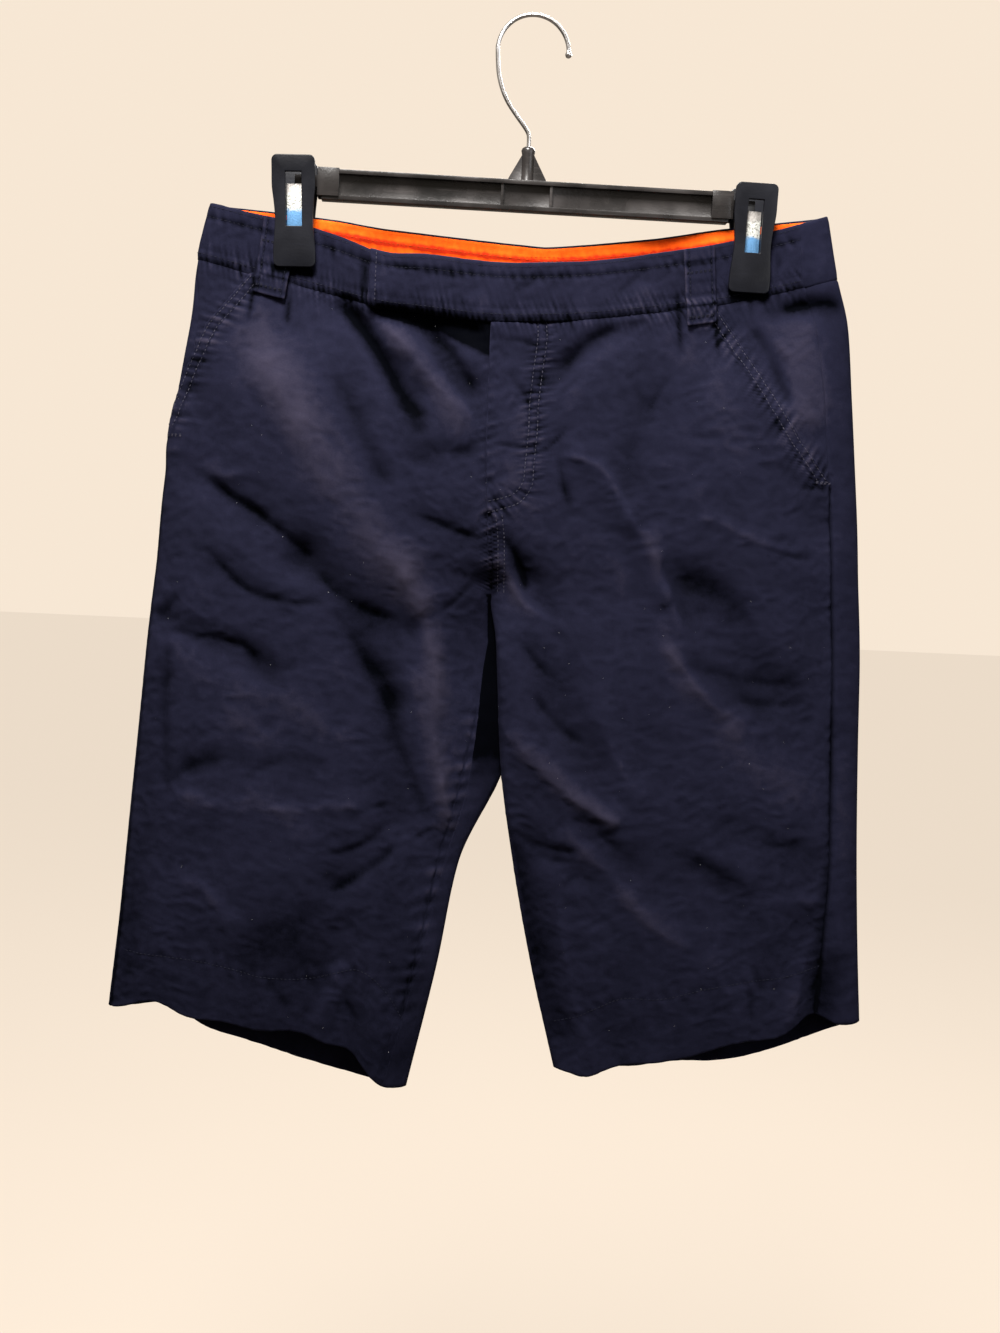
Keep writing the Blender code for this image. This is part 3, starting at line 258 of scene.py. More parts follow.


# each row: half width, height, shade (painted light above 0, painted shade below) and path
FRONT_CREASES = (
    # the wearer's right front, above the crotch
    (4.5, -2.2, -0.9, ((-118, -182), (-106, -193), (-90, -211), (-79, -227), (-68, -243),
     (-55, -256))),
    (4.0, -2.0, -0.9, ((-57, -198), (-44, -210), (-35, -224), (-24, -238))),
    (5.0, 1.8, 0.7, ((-93, -192), (-76, -206), (-58, -225), (-41, -243), (-25, -255))),
    (5.0, -2.6, -1.6, ((-97, -186), (-68, -191), (-36, -195), (-20, -199))),
    (3.0, -1.0, -0.5, ((-55, -275), (-40, -274), (-27, -272))),
    (3.0, -1.2, -0.6, ((-65, -314), (-48, -319), (-31, -325), (-18, -329))),
    (13.0, 2.4, 0.5, ((-163, -214), (-146, -247), (-128, -275), (-110, -303), (-88, -330),
     (-63, -361))),
    (8.0, -2.0, -0.7, ((-117, -228), (-101, -257), (-87, -285), (-76, -300))),
    (3.5, -2.2, -1.0, ((-196, -297), (-181, -307), (-162, -318), (-149, -328), (-125, -346))),
    (4.0, 1.5, 0.6, ((-203, -287), (-188, -295), (-171, -294))),
    (4.0, -1.8, -0.7, ((-125, -351), (-108, -367), (-90, -377), (-69, -384))),
    (8.0, -2.0, -0.7, ((-112, -376), (-91, -405), (-78, -421), (-66, -447))),
    (6.0, -1.6, -0.5, ((-96, -401), (-77, -434), (-65, -467), (-53, -495), (-46, -517))),
    (3.0, -0.8, -0.5, ((-143, -313), (-122, -310))),
    (3.0, -0.8, -0.5, ((-186, -283), (-172, -282))),
    (3.5, -1.8, -0.8, ((-199, -339), (-187, -349), (-167, -367), (-141, -374), (-116, -373))),
    (4.0, -2.0, -0.7, ((-226, -391), (-217, -380), (-209, -373))),
    (4.0, -1.8, -0.7, ((-217, -395), (-200, -399), (-168, -404), (-157, -418))),
    (3.0, -1.0, -0.4, ((-140, -420), (-128, -402))),
    (6.0, 1.6, 0.8, ((-70, -344), (-56, -382), (-46, -407), (-42, -446))),
    (6.0, 1.5, 0.7, ((-61, -408), (-51, -446), (-41, -477), (-32, -516))),
    (1.7, 0.6, 0.5, ((-43, -475), (-36, -496), (-31, -516))),
    (2.5, -1.0, -0.5, ((-58, -384), (-37, -372), (-21, -354))),
    # the wearer's left front, above the crotch
    (4.0, -2.0, -0.9, ((22, -221), (32, -212), (46, -199), (63, -190))),
    (3.0, -1.2, -0.7, ((-10, -223), (1, -231), (10, -247))),
    (3.0, -1.4, -0.9, ((-16, -203), (-4, -202), (13, -205))),
    (1.8, -1.0, -0.9, ((-16, -268), (12, -269), (22, -267), (32, -254))),
    (2.2, 1.5, 0.9, ((27, -273), (44, -275), (57, -282), (69, -299), (78, -313), (90, -330),
     (98, -349), (108, -370), (115, -385))),
    (2.4, 1.2, 0.7, ((100, -388), (114, -404), (128, -421), (138, -430), (147, -434), (160, -442))),
    (3.0, -1.4, -0.9, ((26, -271), (32, -292), (38, -309))),
    (2.0, 0.6, 0.4, ((66, -325), (72, -350), (75, -371))),
    (3.0, -2.0, -1.1, ((-7, -324), (2, -336), (9, -353), (12, -364))),
    (3.0, 1.2, 0.6, ((-7, -336), (1, -353), (12, -370), (35, -382), (44, -392))),
    (3.5, -1.4, -0.6, ((9, -392), (23, -408), (34, -417))),
    (9.0, -1.6, -0.35, ((104, -346), (128, -352), (148, -366), (163, -380))),
    (4.5, -1.2, -0.35, ((129, -404), (156, -411), (180, -414), (198, -411))),
    (4.0, -1.0, -0.3, ((148, -425), (181, -427), (201, -424))),
    (7.0, -1.0, -0.25, ((86, -228), (78, -252), (74, -273), (75, -299))),
    (2.5, -1.2, -0.5, ((98, -217), (87, -235), (83, -247))),
    (2.5, 1.0, 0.5, ((114, -305), (139, -313), (161, -322), (190, -329))),
    (3.0, -1.2, -0.6, ((161, -325), (183, -330), (197, -331))),
    (2.5, -0.8, -0.4, ((114, -257), (129, -256))),
    (2.5, 0.7, 0.4, ((85, -276), (102, -277))),
    (4.0, -2.6, -1.4, ((164, -174), (181, -169), (200, -166), (207, -170))),
    (4.0, -1.6, -0.7, ((147, -181), (159, -197), (167, -214), (177, -238))),
    (3.5, 1.3, 0.6, ((155, -173), (163, -189), (177, -207))),
    (2.5, -1.4, -0.8, ((185, -285), (204, -286))),
    (2.0, -0.8, -0.4, ((41, -220), (29, -233), (23, -246))),
    # the shadows beside the tab's end and the belt loops
    (3.6, -0.4, -1.5, ((-99.5, -152), (-100, -172), (-101, -190))),
    (2.4, -0.3, -1.4, ((-167.5, -158), (-170, -178), (-172.5, -200))),
    (2.4, -0.2, -1.3, ((-147, -180), (-148, -200))),
    (2.4, -0.3, -1.3, ((98.5, -163), (100.5, -184), (102.5, -206))),
    (2.4, -0.3, -1.3, ((123.5, -163), (125.5, -184), (127.5, -206))),
    # the wearer's right leg
    (3.0, -1.2, -0.6, ((-98, -514), (-85, -507), (-70, -504))),
    (3.0, -1.2, -0.6, ((-70, -513), (-82, -527), (-99, -536), (-112, -537))),
    (4.0, -2.0, -0.8, ((-63, -528), (-77, -542), (-94, -554), (-109, -565))),
    (2.5, -1.0, -0.5, ((-54, -526), (-41, -519))),
    (3.5, -1.0, -0.4, ((-172, -495), (-157, -484), (-136, -474))),
    (4.0, 1.0, 0.5, ((-212, -500), (-193, -505), (-178, -513))),
    (4.0, 1.2, 0.6, ((-156, -508), (-131, -509), (-100, -505), (-77, -509))),
    (5.0, -1.2, -0.6, ((-215, -495), (-200, -483), (-175, -476))),
    (5.0, 1.2, 0.6, ((-211, -560), (-192, -562), (-176, -579), (-162, -597))),
    (3.5, 1.5, 0.7, ((-104, -651), (-100, -633), (-90, -619))),
    (3.0, -1.4, -0.7, ((-144, -623), (-131, -643))),
    (3.0, -1.4, -0.7, ((-96, -635), (-86, -653))),
    (5.0, -1.2, -0.5, ((-217, -402), (-218, -453), (-214, -506))),
    # the wearer's left leg
    (5.0, 1.8, 0.8, ((3, -446), (20, -470), (40, -487), (61, -501), (81, -509))),
    (5.0, 1.4, 0.7, ((41, -513), (62, -532), (83, -552), (102, -574), (135, -595))),
    (4.0, -1.4, -0.6, ((17, -424), (36, -445), (56, -459))),
    (3.5, -1.2, -0.6, ((63, -514), (84, -529))),
    (2.0, 0.8, 0.6, ((62, -439), (74, -463), (86, -483), (93, -491))),
    (3.0, -1.2, -0.6, ((22, -525), (38, -529), (53, -530))),
    (2.5, -1.0, -0.5, ((35, -537), (54, -537))),
    (2.5, -1.0, -0.5, ((44, -555), (56, -544))),
    (5.0, -1.0, -0.5, ((126, -528), (144, -538), (167, -549))),
    (3.5, -0.9, -0.5, ((170, -517), (188, -521), (207, -516))),
    (4.0, 1.0, 0.5, ((164, -562), (190, -557), (224, -559))),
    (3.0, 1.2, 0.5, ((42, -558), (50, -603), (62, -648))),
    (4.0, 1.4, 0.5, ((214, -583), (208, -620), (205, -645))),
    (3.0, -1.2, -0.6, ((174, -617), (178, -644))),
    (4.0, -0.8, -0.5, ((217, -426), (221, -520), (220, -629))),
    # the tab and the bands
    (2.0, -0.7, -0.6, ((-87, -159), (-60, -163), (-34, -165))),
    (2.5, -0.9, -0.6, ((-8, -172), (3, -167), (12, -159))),
    (2.2, -0.7, -0.5, ((58, -170), (70, -160), (78, -152))),
    (2.5, -0.9, -0.5, ((-128, -140), (-121, -152), (-117, -163))),
    (2.5, -0.9, -0.6, ((161, -128), (164, -142), (162, -154))),
    (2.2, 0.6, 0.4, ((-66, -157), (-52, -154), (-40, -158))),
)
# the back's rows, laid out the same: half width, height, painted shade and path
BACK_CREASES = (
    (4.5, -2.0, -0.8, ((-140, -200), (-120, -222), (-104, -243), (-84, -262))),
    (5.0, 1.8, 0.7, ((-118, -198), (-98, -224), (-72, -246), (-50, -256))),
    (4.0, -1.8, -0.8, ((146, -198), (128, -219), (112, -242), (92, -260))),
    (5.0, 1.6, 0.6, ((120, -196), (104, -222), (82, -243), (60, -252))),
    (3.5, -1.6, -0.7, ((-14, -214), (-30, -226), (-52, -232))),
    (3.0, -1.3, -0.6, ((18, -218), (36, -231), (55, -236))),
    (3.5, -2.0, -0.9, ((-38, -330), (-68, -346), (-98, -357), (-130, -371))),
    (4.0, 1.4, 0.6, ((-52, -318), (-86, -334), (-122, -342), (-160, -360))),
    (3.5, -1.8, -0.8, ((22, -331), (54, -348), (88, -361), (122, -380))),
    (4.0, 1.4, 0.6, ((38, -318), (74, -335), (112, -347), (150, -371))),
    (3.0, -1.2, -0.6, ((-196, -300), (-176, -309), (-150, -311))),
    (3.0, -1.2, -0.6, ((200, -305), (178, -313), (155, -318))),
    (5.5, 1.5, 0.6, ((-72, -392), (-64, -440), (-58, -492), (-60, -530))),
    (5.5, 1.5, 0.6, ((64, -396), (74, -446), (84, -500), (92, -540))),
    (4.0, -1.6, -0.7, ((-204, -418), (-180, -436), (-158, -462), (-144, -478))),
    (4.0, -1.6, -0.7, ((206, -408), (184, -428), (162, -458), (146, -476))),
    (6.0, -1.4, -0.5, ((-104, -420), (-98, -470), (-104, -520))),
    (6.0, -1.4, -0.5, ((112, -414), (118, -466), (120, -514))),
    (3.0, -1.2, -0.6, ((-66, -548), (-88, -560), (-118, -566))),
    (3.0, -1.1, -0.5, ((58, -556), (84, -566), (112, -568))),
    (5.0, 1.3, 0.5, ((-150, -566), (-156, -610), (-164, -668))),
    (5.0, 1.3, 0.5, ((176, -562), (184, -606), (192, -664))),
)
CREASES = tuple(Crease(face, *row) for face, rows in ((FRONT, FRONT_CREASES), (BACK, BACK_CREASES))
                for row in rows)


class Tone(NamedTuple):
    """A broad soft swell (shade above 0) or hollow of the hung cloth, seen mirrored on the back.

    shade also sets the painted light on a swell and the painted shade in a hollow.
    """

    half_width: float
    shade: float
    path: Path


# painted light on the swells and painted shade in the hollows, as the hung cloth is lit
TONES = (
    # the wearer's right, above the crotch
    Tone(15, 0.9, ((-170, -192), (-160, -215), (-150, -240), (-138, -258))),
    Tone(17, 0.8, ((-165, -212), (-140, -250), (-120, -280), (-100, -310), (-80, -340),
     (-60, -366))),
    Tone(8, 0.8, ((-76, -206), (-58, -228), (-46, -245), (-36, -261))),
    Tone(12, 0.5, ((-210, -405), (-180, -440), (-155, -468))),
    Tone(10, 0.6, ((-168, -432), (-135, -440), (-104, -462))),
    Tone(8, 0.8, ((-66, -346), (-56, -366), (-48, -392), (-44, -440), (-36, -498), (-32, -514))),
    Tone(8, -0.9, ((-60, -276), (-44, -275), (-30, -274))),
    Tone(5, -1.5, ((-112, -184), (-96, -204), (-78, -234), (-62, -260))),
    Tone(5, -1.0, ((-57, -200), (-40, -226), (-24, -247))),
    Tone(6, -0.7, ((-64, -314), (-42, -322), (-20, -330))),
    Tone(6, -0.8, ((-196, -297), (-180, -308), (-162, -320))),
    Tone(9, -0.6, ((-200, -246), (-190, -258), (-180, -270))),
    Tone(9, -1.5, ((-132, -346), (-112, -361), (-88, -383), (-60, -388))),
    Tone(12, -0.8, ((-92, -384), (-82, -410), (-72, -446), (-68, -498))),
    Tone(9, -0.8, ((-182, -354), (-160, -367), (-140, -379))),
    Tone(8, -0.9, ((-222, -386), (-192, -396), (-164, -405), (-150, -420))),
    Tone(10, -0.6, ((-226, -430), (-232, -500), (-236, -570), (-242, -640))),
    # the wearer's left, above the crotch
    Tone(14, 1.3, ((178, -184), (182, -206), (184, -236))),
    Tone(9, 0.8, ((75, -172), (58, -196), (42, -214), (30, -238))),
    Tone(13, 0.5, ((2, -228), (4, -262), (2, -298))),
    Tone(18, 0.5, ((102, -206), (124, -228), (148, -258))),
    Tone(12, 0.5, ((116, -292), (138, -310), (158, -328))),
    Tone(7, 0.8, ((-5, -340), (12, -368), (34, -398))),
    Tone(8, 0.8, ((90, -322), (100, -368), (116, -410), (150, -444))),
    Tone(7, -0.9, ((21, -226), (40, -206), (62, -190))),
    Tone(7, -1.3, ((164, -173), (182, -169), (202, -170))),
    Tone(17, -0.6, ((85, -222), (72, -266), (74, -308))),
    Tone(8, -0.6, ((182, -278), (198, -282))),
    Tone(6, -1.1, ((-5, -326), (4, -340), (10, -352))),
    Tone(11, -0.9, ((14, -344), (26, -372), (34, -398))),
    Tone(9, -0.9, ((102, -345), (126, -352), (148, -366))),
    Tone(20, -0.9, ((118, -366), (146, -390), (182, -420))),
    Tone(8, -0.9, ((122, -404), (150, -416), (166, -428))),
    Tone(14, -0.5, ((178, -344), (196, -354), (212, -364))),
    Tone(13, -0.8, ((16, -392), (38, -432), (60, -468))),
    # the wearer's right leg
    Tone(9, 0.6, ((-200, -505), (-184, -509), (-170, -512))),
    Tone(9, 0.5, ((-160, -504), (-140, -514), (-120, -528))),
    Tone(9, 0.4, ((-200, -570), (-184, -575), (-170, -580))),
    Tone(5, 0.9, ((-100, -616), (-105, -632), (-112, -650))),
    Tone(11, 0.4, ((-80, -622), (-70, -640), (-60, -656))),
    Tone(6, 0.6, ((-45, -580), (-41, -600), (-36, -618))),
    Tone(9, -0.7, ((-202, -478), (-162, -477), (-122, -479))),
    Tone(12, -0.8, ((-104, -562), (-124, -578), (-143, -595), (-158, -612))),
    Tone(17, -0.7, ((-128, -602), (-116, -618), (-104, -638))),
    Tone(14, -0.6, ((-52, -676), (-64, -682))),
    # the wearer's left leg
    Tone(14, 0.5, ((122, -442), (158, -464), (198, -488))),
    Tone(6, 0.9, ((20, -461), (48, -488), (75, -507))),
    Tone(7, 0.6, ((46, -580), (60, -582), (75, -585))),
    Tone(17, 0.5, ((92, -562), (130, -588), (168, -618))),
    Tone(7, 0.7, ((205, -602), (204, -620), (203, -640))),
    Tone(7, 0.5, ((226, -452), (230, -520), (234, -598))),
    Tone(9, -0.8, ((60, -511), (75, -523), (90, -536))),
    Tone(7, -0.7, ((20, -521), (30, -528), (40, -534))),
    Tone(9, -0.8, ((126, -531), (146, -543), (165, -554))),
    Tone(10, -0.6, ((152, -507), (180, -518), (208, -528))),
    Tone(11, -1.5, ((12, -536), (27, -590), (47, -656))),
    Tone(12, -0.6, ((62, -632), (80, -646), (100, -660))),
    Tone(8, -0.6, ((180, -612), (180, -632))),
    Tone(11, -1.3, ((230, -602), (227, -622), (224, -640))),
)


class Seam(NamedTuple):
    """A sewn line of one face, with the puckers and the groove that the thread pulls in the cloth.

    pitch is the mean length of a pucker along the line and reach how far each runs out from it.
    shade is how strongly light and shade are painted across the puckers, and the groove also
    gets painted shade.
    """

    face: Face
    pitch: float
    reach: float
    depth: float
    groove: float
    shade: float
    path: Path


FLY_J: Path = ((16.1, -189.9), (16.7, -202), (14.8, -222), (13.1, -242), (13.2, -257), (11.9, -281),
    (11.2, -293), (4.7, -303), (-4.7, -307.5), (-15, -310.6))
FLY_J_INNER: Path = ((10.6, -190.5), (10.9, -202), (9.0, -222), (7.5, -242), (7.6, -257),
    (6.4, -280), (5.6, -290), (1.0, -297.5), (-6.0, -301), (-15, -303.5))
CROTCH_SEAM: Path = ((-14, -313), (-12, -326), (-11, -342), (-10, -361))
HEM_LINE_RIGHT: Path = ((-240, -609), (-229, -610), (-197, -612), (-171, -616), (-149, -621),
    (-118, -622), (-88, -616), (-70, -628), (-56, -650))
HEM_LINE_LEFT: Path = ((46, -648), (59, -643), (87, -629), (114, -628), (145, -620), (172, -614),
    (194, -611), (222, -604), (244, -600))
HEM_LINE_RIGHT_BACK: Path = ((-240, -612), (-215, -616), (-170, -625), (-120, -636), (-80, -646),
    (-60, -652))
HEM_LINE_LEFT_BACK: Path = ((40, -642), (70, -638), (110, -632), (150, -628), (190, -620),
    (240, -604))
INSEAM_RIGHT: Path = ((-16, -440), (-27, -496), (-36, -534), (-45, -583), (-53, -623), (-58, -650))


# ---------------------------------------------------------------- small numeric helpers
def smoothstep(low: float, high: float, value: Array | float) -> Array:
    """0 below low, 1 above high, and a smooth change between them (low may exceed high)."""
    t = np.clip((value - low) / (high - low), 0.0, 1.0)
    return t * t * (3.0 - 2.0 * t)


def bump(value: Array | float, width: float) -> Array:
    """1 at nought, falling smoothly to nothing within about twice the width."""
    return np.exp(-np.square(value / width))


def smooth_path(path: Sequence[Sequence[float]], step: float) -> Array:
    """Evenly spaced points on a smooth curve through all the given ones.

    Args:
        path: places, each of two or three numbers.
        step: the length between the points.

    Returns:
        One row for each point.
    """
    stops = np.array(path, dtype=float)
    ends = np.vstack((2 * stops[0] - stops[1], stops, 2 * stops[-1] - stops[-2]))
    line = []
    for a, b, c, d in zip(ends, ends[1:], ends[2:], ends[3:]):
        for t in np.linspace(0.0, 1.0, 12, endpoint=False):
            bend = (2 * a - 5 * b + 4 * c - d) * t * t + (3 * b - a - 3 * c + d) * t ** 3
            line.append(0.5 * (2 * b + (c - a) * t + bend))
    line = np.vstack((line, stops[-1]))
    along = np.concatenate(([0.0], np.cumsum(np.linalg.norm(np.diff(line, axis=0), axis=1))))
    count = max(2, int(round(along[-1] / step)) + 1)
    places = np.linspace(0.0, along[-1], count)
    return np.column_stack([np.interp(places, along, line[:, i]) for i in range(line.shape[1])])


class LineField:
    """A smooth line in the XZ plane that gives how far, and how far along it, other places lie."""

    def __init__(self, path: Path) -> None:
        """Resample the path and keep its lengths.

        Args:
            path: the line's (x, z) places.
        """
        self.points = smooth_path(path, 5.0)
        steps = np.diff(self.points, axis=0)
        self.lengths = np.linalg.norm(steps, axis=1)
        self.ways = steps / self.lengths[:, None]
        self.starts = np.concatenate(([0.0], np.cumsum(self.lengths)))
        self.length = float(self.starts[-1])

    def near(self, x: Array, z: Array, reach: float) -> Array:
        """The indices of the places within reach of the line's box."""
        low, high = self.points.min(axis=0) - reach, self.points.max(axis=0) + reach
        return np.flatnonzero((x > low[0]) & (x < high[0]) & (z > low[1]) & (z < high[1]))

    def measure(self, x: Array, z: Array) -> tuple[Array, Array]:
        """Distances from the line, below 0 on its right, and distances along it.

        Args:
            x: the places across the garment.
            z: their heights.

        Returns:
            The distances from the line and the distances along it.
        """
        best = np.full(len(x), np.inf)
        aside, along = np.zeros(len(x)), np.zeros(len(x))
        for start, way, length, before in zip(self.points, self.ways, self.lengths, self.starts):
            dx, dz = x - start[0], z - start[1]
            t = np.clip(dx * way[0] + dz * way[1], 0.0, length)
            off_x, off_z = dx - t * way[0], dz - t * way[1]
            distance = np.hypot(off_x, off_z)
            closer = distance < best
            best = np.where(closer, distance, best)
            turned = np.sign(way[0] * off_z - way[1] * off_x)
            aside = np.where(closer, distance * np.where(turned == 0, 1.0, turned), aside)
            along = np.where(closer, before + t, along)
        return aside, along


class Unevenness:
    """Smooth random heights between -1 and 1, the same on every run."""

    def __init__(self, seed: int, count: int = 97) -> None:
        """Draw the heights of the lattice."""
        self.count = count
        self.lattice = np.random.default_rng(seed).uniform(-1.0, 1.0, (count, count))

    def at(self, u: Array, v: Array | float = 0.0) -> Array:
        """The height at places given in steps of the lattice.

        Args:
            u: the places along the lattice.
            v: the places across it.

        Returns:
            The heights there.
        """
        v = np.zeros_like(u) + v
        i, j = np.floor(u).astype(int), np.floor(v).astype(int)
        s, t = smoothstep(0.0, 1.0, u - i), smoothstep(0.0, 1.0, v - j)
        corner = self.lattice
        i, j = i % self.count, j % self.count
        k, m = (i + 1) % self.count, (j + 1) % self.count
        near = corner[i, j] * (1 - s) + corner[k, j] * s
        far = corner[i, m] * (1 - s) + corner[k, m] * s
        return near * (1 - t) + far * t


# ---------------------------------------------------------------- the garment's surface
@dataclass
class GarmentSurface:
    """The garment's outer surface, lofted through level sections of each side, with its folds."""

    seam_gap: float = 0.2
    clip_x: float = 145.6
    pinch_half: float = 2.75
    pinch_flat: float = 16.0
    pinch_reach: float = 60.0
    pinch_foot_z: float = -167.0
    pinch_end_z: float = -245.0
    tuck_x: float = 3.2
    tuck_y: float = 3.0
    rows: dict = field(default_factory=dict)

    def __post_init__(self) -> None:
        """Work out how every column of the sections runs from row to row."""
        self.tables = {side: self.sloped(side) for side in BOTH_SIDES}

    @staticmethod
    def sloped(side: Side) -> tuple[Array, Array]:
        """The rows of a side, and slopes that never overshoot the rows between them.

        Args:
            side: the wearer's side.

        Returns:
            The rows, and their slopes at each row.
        """
        rows = np.array(SECTIONS[side], dtype=float)
        step = np.diff(rows, axis=0)
        slopes = np.zeros_like(rows)
        slopes[0], slopes[-1] = step[0], step[-1]
        before, after = step[:-1], step[1:]
        same_way = before * after > 0
        total = np.where(same_way, before + after, 1.0)
        slopes[1:-1] = np.where(same_way, 2.0 * before * after / total, 0.0)
        for column in LEVEL_AT_CROTCH:
            slopes[int(CROTCH), Section._fields.index(column)] = 0.0
        return rows, slopes

    def section(self, side: Side, level: float) -> Section:
        """The section's columns at any level between the rows.

        Args:
            side: the wearer's side.
            level: the level.

        Returns:
            The section.
        """
        rows, slopes = self.tables[side]
        low = int(np.clip(math.floor(level), 0, len(rows) - 2))
        t = level - low
        start, end = rows[low], rows[low + 1]
        value = (start * (1 + 2 * t) * (1 - t) ** 2 + slopes[low] * t * (1 - t) ** 2
                 + end * t * t * (3 - 2 * t) + slopes[low + 1] * t * t * (t - 1))
        return Section(*value)

    @staticmethod
    def half(section: Section, face: Face) -> Array:
        """Points of one face of a section, from the side fold to the centre or inseam.

        Args:
            section: the section.
            face: the face.

        Returns:
            One row for each point: its place and how far it faces forwards or backwards.
        """
        if face is FRONT:
            edge_x, edge_z, turn = section.front_x, section.front_z, section.front_turn
            curve = section.curve
        else:
            edge_x, edge_z, turn = section.back_x, section.back_z, section.back_turn
            curve = BACK_CURVE
        angle = np.radians(np.linspace(0.0, turn, HALF_POINTS))
        width = 2.0 * (edge_x - section.side_x) / (1.0 - math.cos(angle[-1]))
        across = (1.0 - np.cos(angle)) / 2.0
        x = section.side_x + width * across
        facing = face.value * np.sign(np.sin(angle)) * np.abs(np.sin(angle)) ** section.square
        deep = np.where(facing < 0, section.front_deep, section.back_deep)
        y = deep * facing + section.inner_y * across ** 2
        to_edge = np.clip((x - section.side_x) / (edge_x - section.side_x), 0.0, 1.0)
        z = section.side_z + (edge_z - section.side_z) * (1.0 - (1.0 - to_edge) ** curve)
        return np.column_stack((x, y, z, facing))

    def row(self, side: Side, level: float) -> tuple[Array, Array, Section]:
        """One level of one side, worked out once.

        Args:
            side: the wearer's side.
            level: the level.

        Returns:
            The distances along the cloth from the side fold, the points there and the section.
        """
        key = (side, round(level, 5))
        if key not in self.rows:
            section = self.section(side, level)
            back = self.half(section, BACK)[::-1]
            points = np.vstack((back[:-1], self.half(section, FRONT)))
            steps = np.hypot(np.diff(points[:, 0]), np.diff(points[:, 1]))
            along = np.concatenate(([0.0], np.cumsum(steps)))
            self.rows[key] = (along - along[len(back) - 1], points, section)
        return self.rows[key]

    @staticmethod
    def fold_heights(x: Array, z: Array, facing: Array) -> Array:
        """How far the large folds move the cloth outwards.

        Args:
            x: the places across the garment.
            z: their heights.
            facing: how far each faces forwards or backwards.

        Returns:
            The heights of the folds there.
        """
        total = np.zeros_like(x)
        for fold in FOLDS:
            dx, dz = fold.x1 - fold.x0, fold.z1 - fold.z0
            length = math.hypot(dx, dz)
            along = ((x - fold.x0) * dx + (z - fold.z0) * dz) / length
            aside = ((x - fold.x0) * dz - (z - fold.z0) * dx) / length
            past = np.maximum(np.maximum(-along, along - length), 0.0)
            shape = np.exp(-(aside ** 2 + past ** 2) / fold.half_width ** 2)
            total += fold.height * shape * (facing * fold.face.value > 0)
        return total

    @staticmethod
    def edge_rise(waves: Sequence[Wave], x: Array, facing: Array) -> Array:
        """How far the waves of an edge lift it.

        Args:
            waves: the waves.
            x: the places across the garment.
            facing: how far each faces forwards or backwards.

        Returns:
            The rise at each place.
        """
        total = np.zeros_like(x)
        for wave in waves:
            on_face = np.clip(facing * wave.face.value, 0.0, 1.0)
            total += wave.rise * bump(x - wave.x, wave.half_width) * on_face
        return total

    def place(self, side: Side, level: float, share: Array) -> tuple[Array, Array]:
        """Points of the surface and how far each faces forwards (below 0) or backwards.

        Args:
            side: the wearer's side.
            level: the level, from 0 at the waist to 12 at the hem.
            share: from -1 at the centre back over 0 at the side fold to 1 at the centre front.

        Returns:
            The points in millimetres and their facing.
        """
        along, points, section = self.row(side, level)
        place = np.where(share > 0, share * along[-1], -share * along[0])
        x, y, z, facing = (np.interp(place, along, points[:, i]) for i in range(4))
        inward = np.clip((x - section.side_x) / (section.front_x - section.side_x), 0, 1)
        middle = section.inner_y * inward ** 2
        off_middle = y - middle
        held = smoothstep(self.pinch_end_z, self.pinch_foot_z, z)
        held = held * smoothstep(self.pinch_reach, self.pinch_flat, np.abs(np.abs(x) - self.clip_x))
        off_middle += held * (np.sign(facing) * self.pinch_half - off_middle)
        room = smoothstep(self.pinch_half, 9.0, np.abs(off_middle))
        off_middle += facing * self.fold_heights(x, z, facing) * room
        near_hem = np.clip(1.0 - (HEM - level) / HEM_WAVE_LEVELS, 0.0, 1.0) ** 2
        near_waist = np.clip(1.0 - level / WAIST_WAVE_LEVELS, 0.0, 1.0)
        z = z + near_hem * self.edge_rise(HEM_WAVES, x, facing)
        z = z + near_waist * self.edge_rise(WAIST_WAVES, x, facing)
        x = x + side.value * self.seam_gap
        if side is RIGHT:
            tucked = smoothstep(0.93, 1.0, inward) * smoothstep(5.3, 5.95, level)
            tucked = tucked * smoothstep(8.2, 6.9, level)
            x = x + self.tuck_x * tucked
            middle = middle + self.tuck_y * tucked
        return np.column_stack((x, middle + off_middle, z)), facing

    def point(self, side: Side, level: float, share: float) -> Array:
        """One point of the surface, in millimetres."""
        return self.place(side, level, np.array([share]))[0][0]

    def normals(self, side: Side, level: float, share: Array) -> Array:
        """The directions straight out of the surface.

        Args:
            side: the wearer's side.
            level: the level.
            share: the shares.

        Returns:
            One direction for each share.
        """
        share_step, level_step = 0.006, 0.025
        ahead = self.place(side, level, np.clip(share + share_step, -1, 1))[0]
        behind = self.place(side, level, np.clip(share - share_step, -1, 1))[0]
        above = self.place(side, max(level - level_step, WAIST), share)[0]
        below = self.place(side, min(level + level_step, HEM), share)[0]
        normals = np.cross(ahead - behind, below - above) * side.value
        return normals / np.linalg.norm(normals, axis=1)[:, None]

    def to_share(self, side: Side, level: float, distance: float) -> float:
        """A distance along the cloth, in front of the side fold, as a share."""
        along = self.row(side, level)[0]
        return distance / along[-1] if distance > 0 else -distance / along[0]

    def side_seam(self, side: Side, level: float) -> float:
        """Where the side seam lies, as a share."""
        return self.to_share(side, level, self.section(side, level).seam_in)

    def share_at(self, side: Side, face: Face, level: float, x: float) -> float:
        """Where a face of a level reaches a place across the garment.

        Args:
            side: the wearer's side.
            face: the face.
            level: the level.
            x: the place, in millimetres.

        Returns:
            The share.
        """
        along, points, _ = self.row(side, level)
        on_face = along >= 0 if face is FRONT else along <= 0
        away = side.value * face.value
        place = np.interp(away * x, away * points[on_face, 0], along[on_face])
        return place / along[-1] if face is FRONT else -place / along[0]

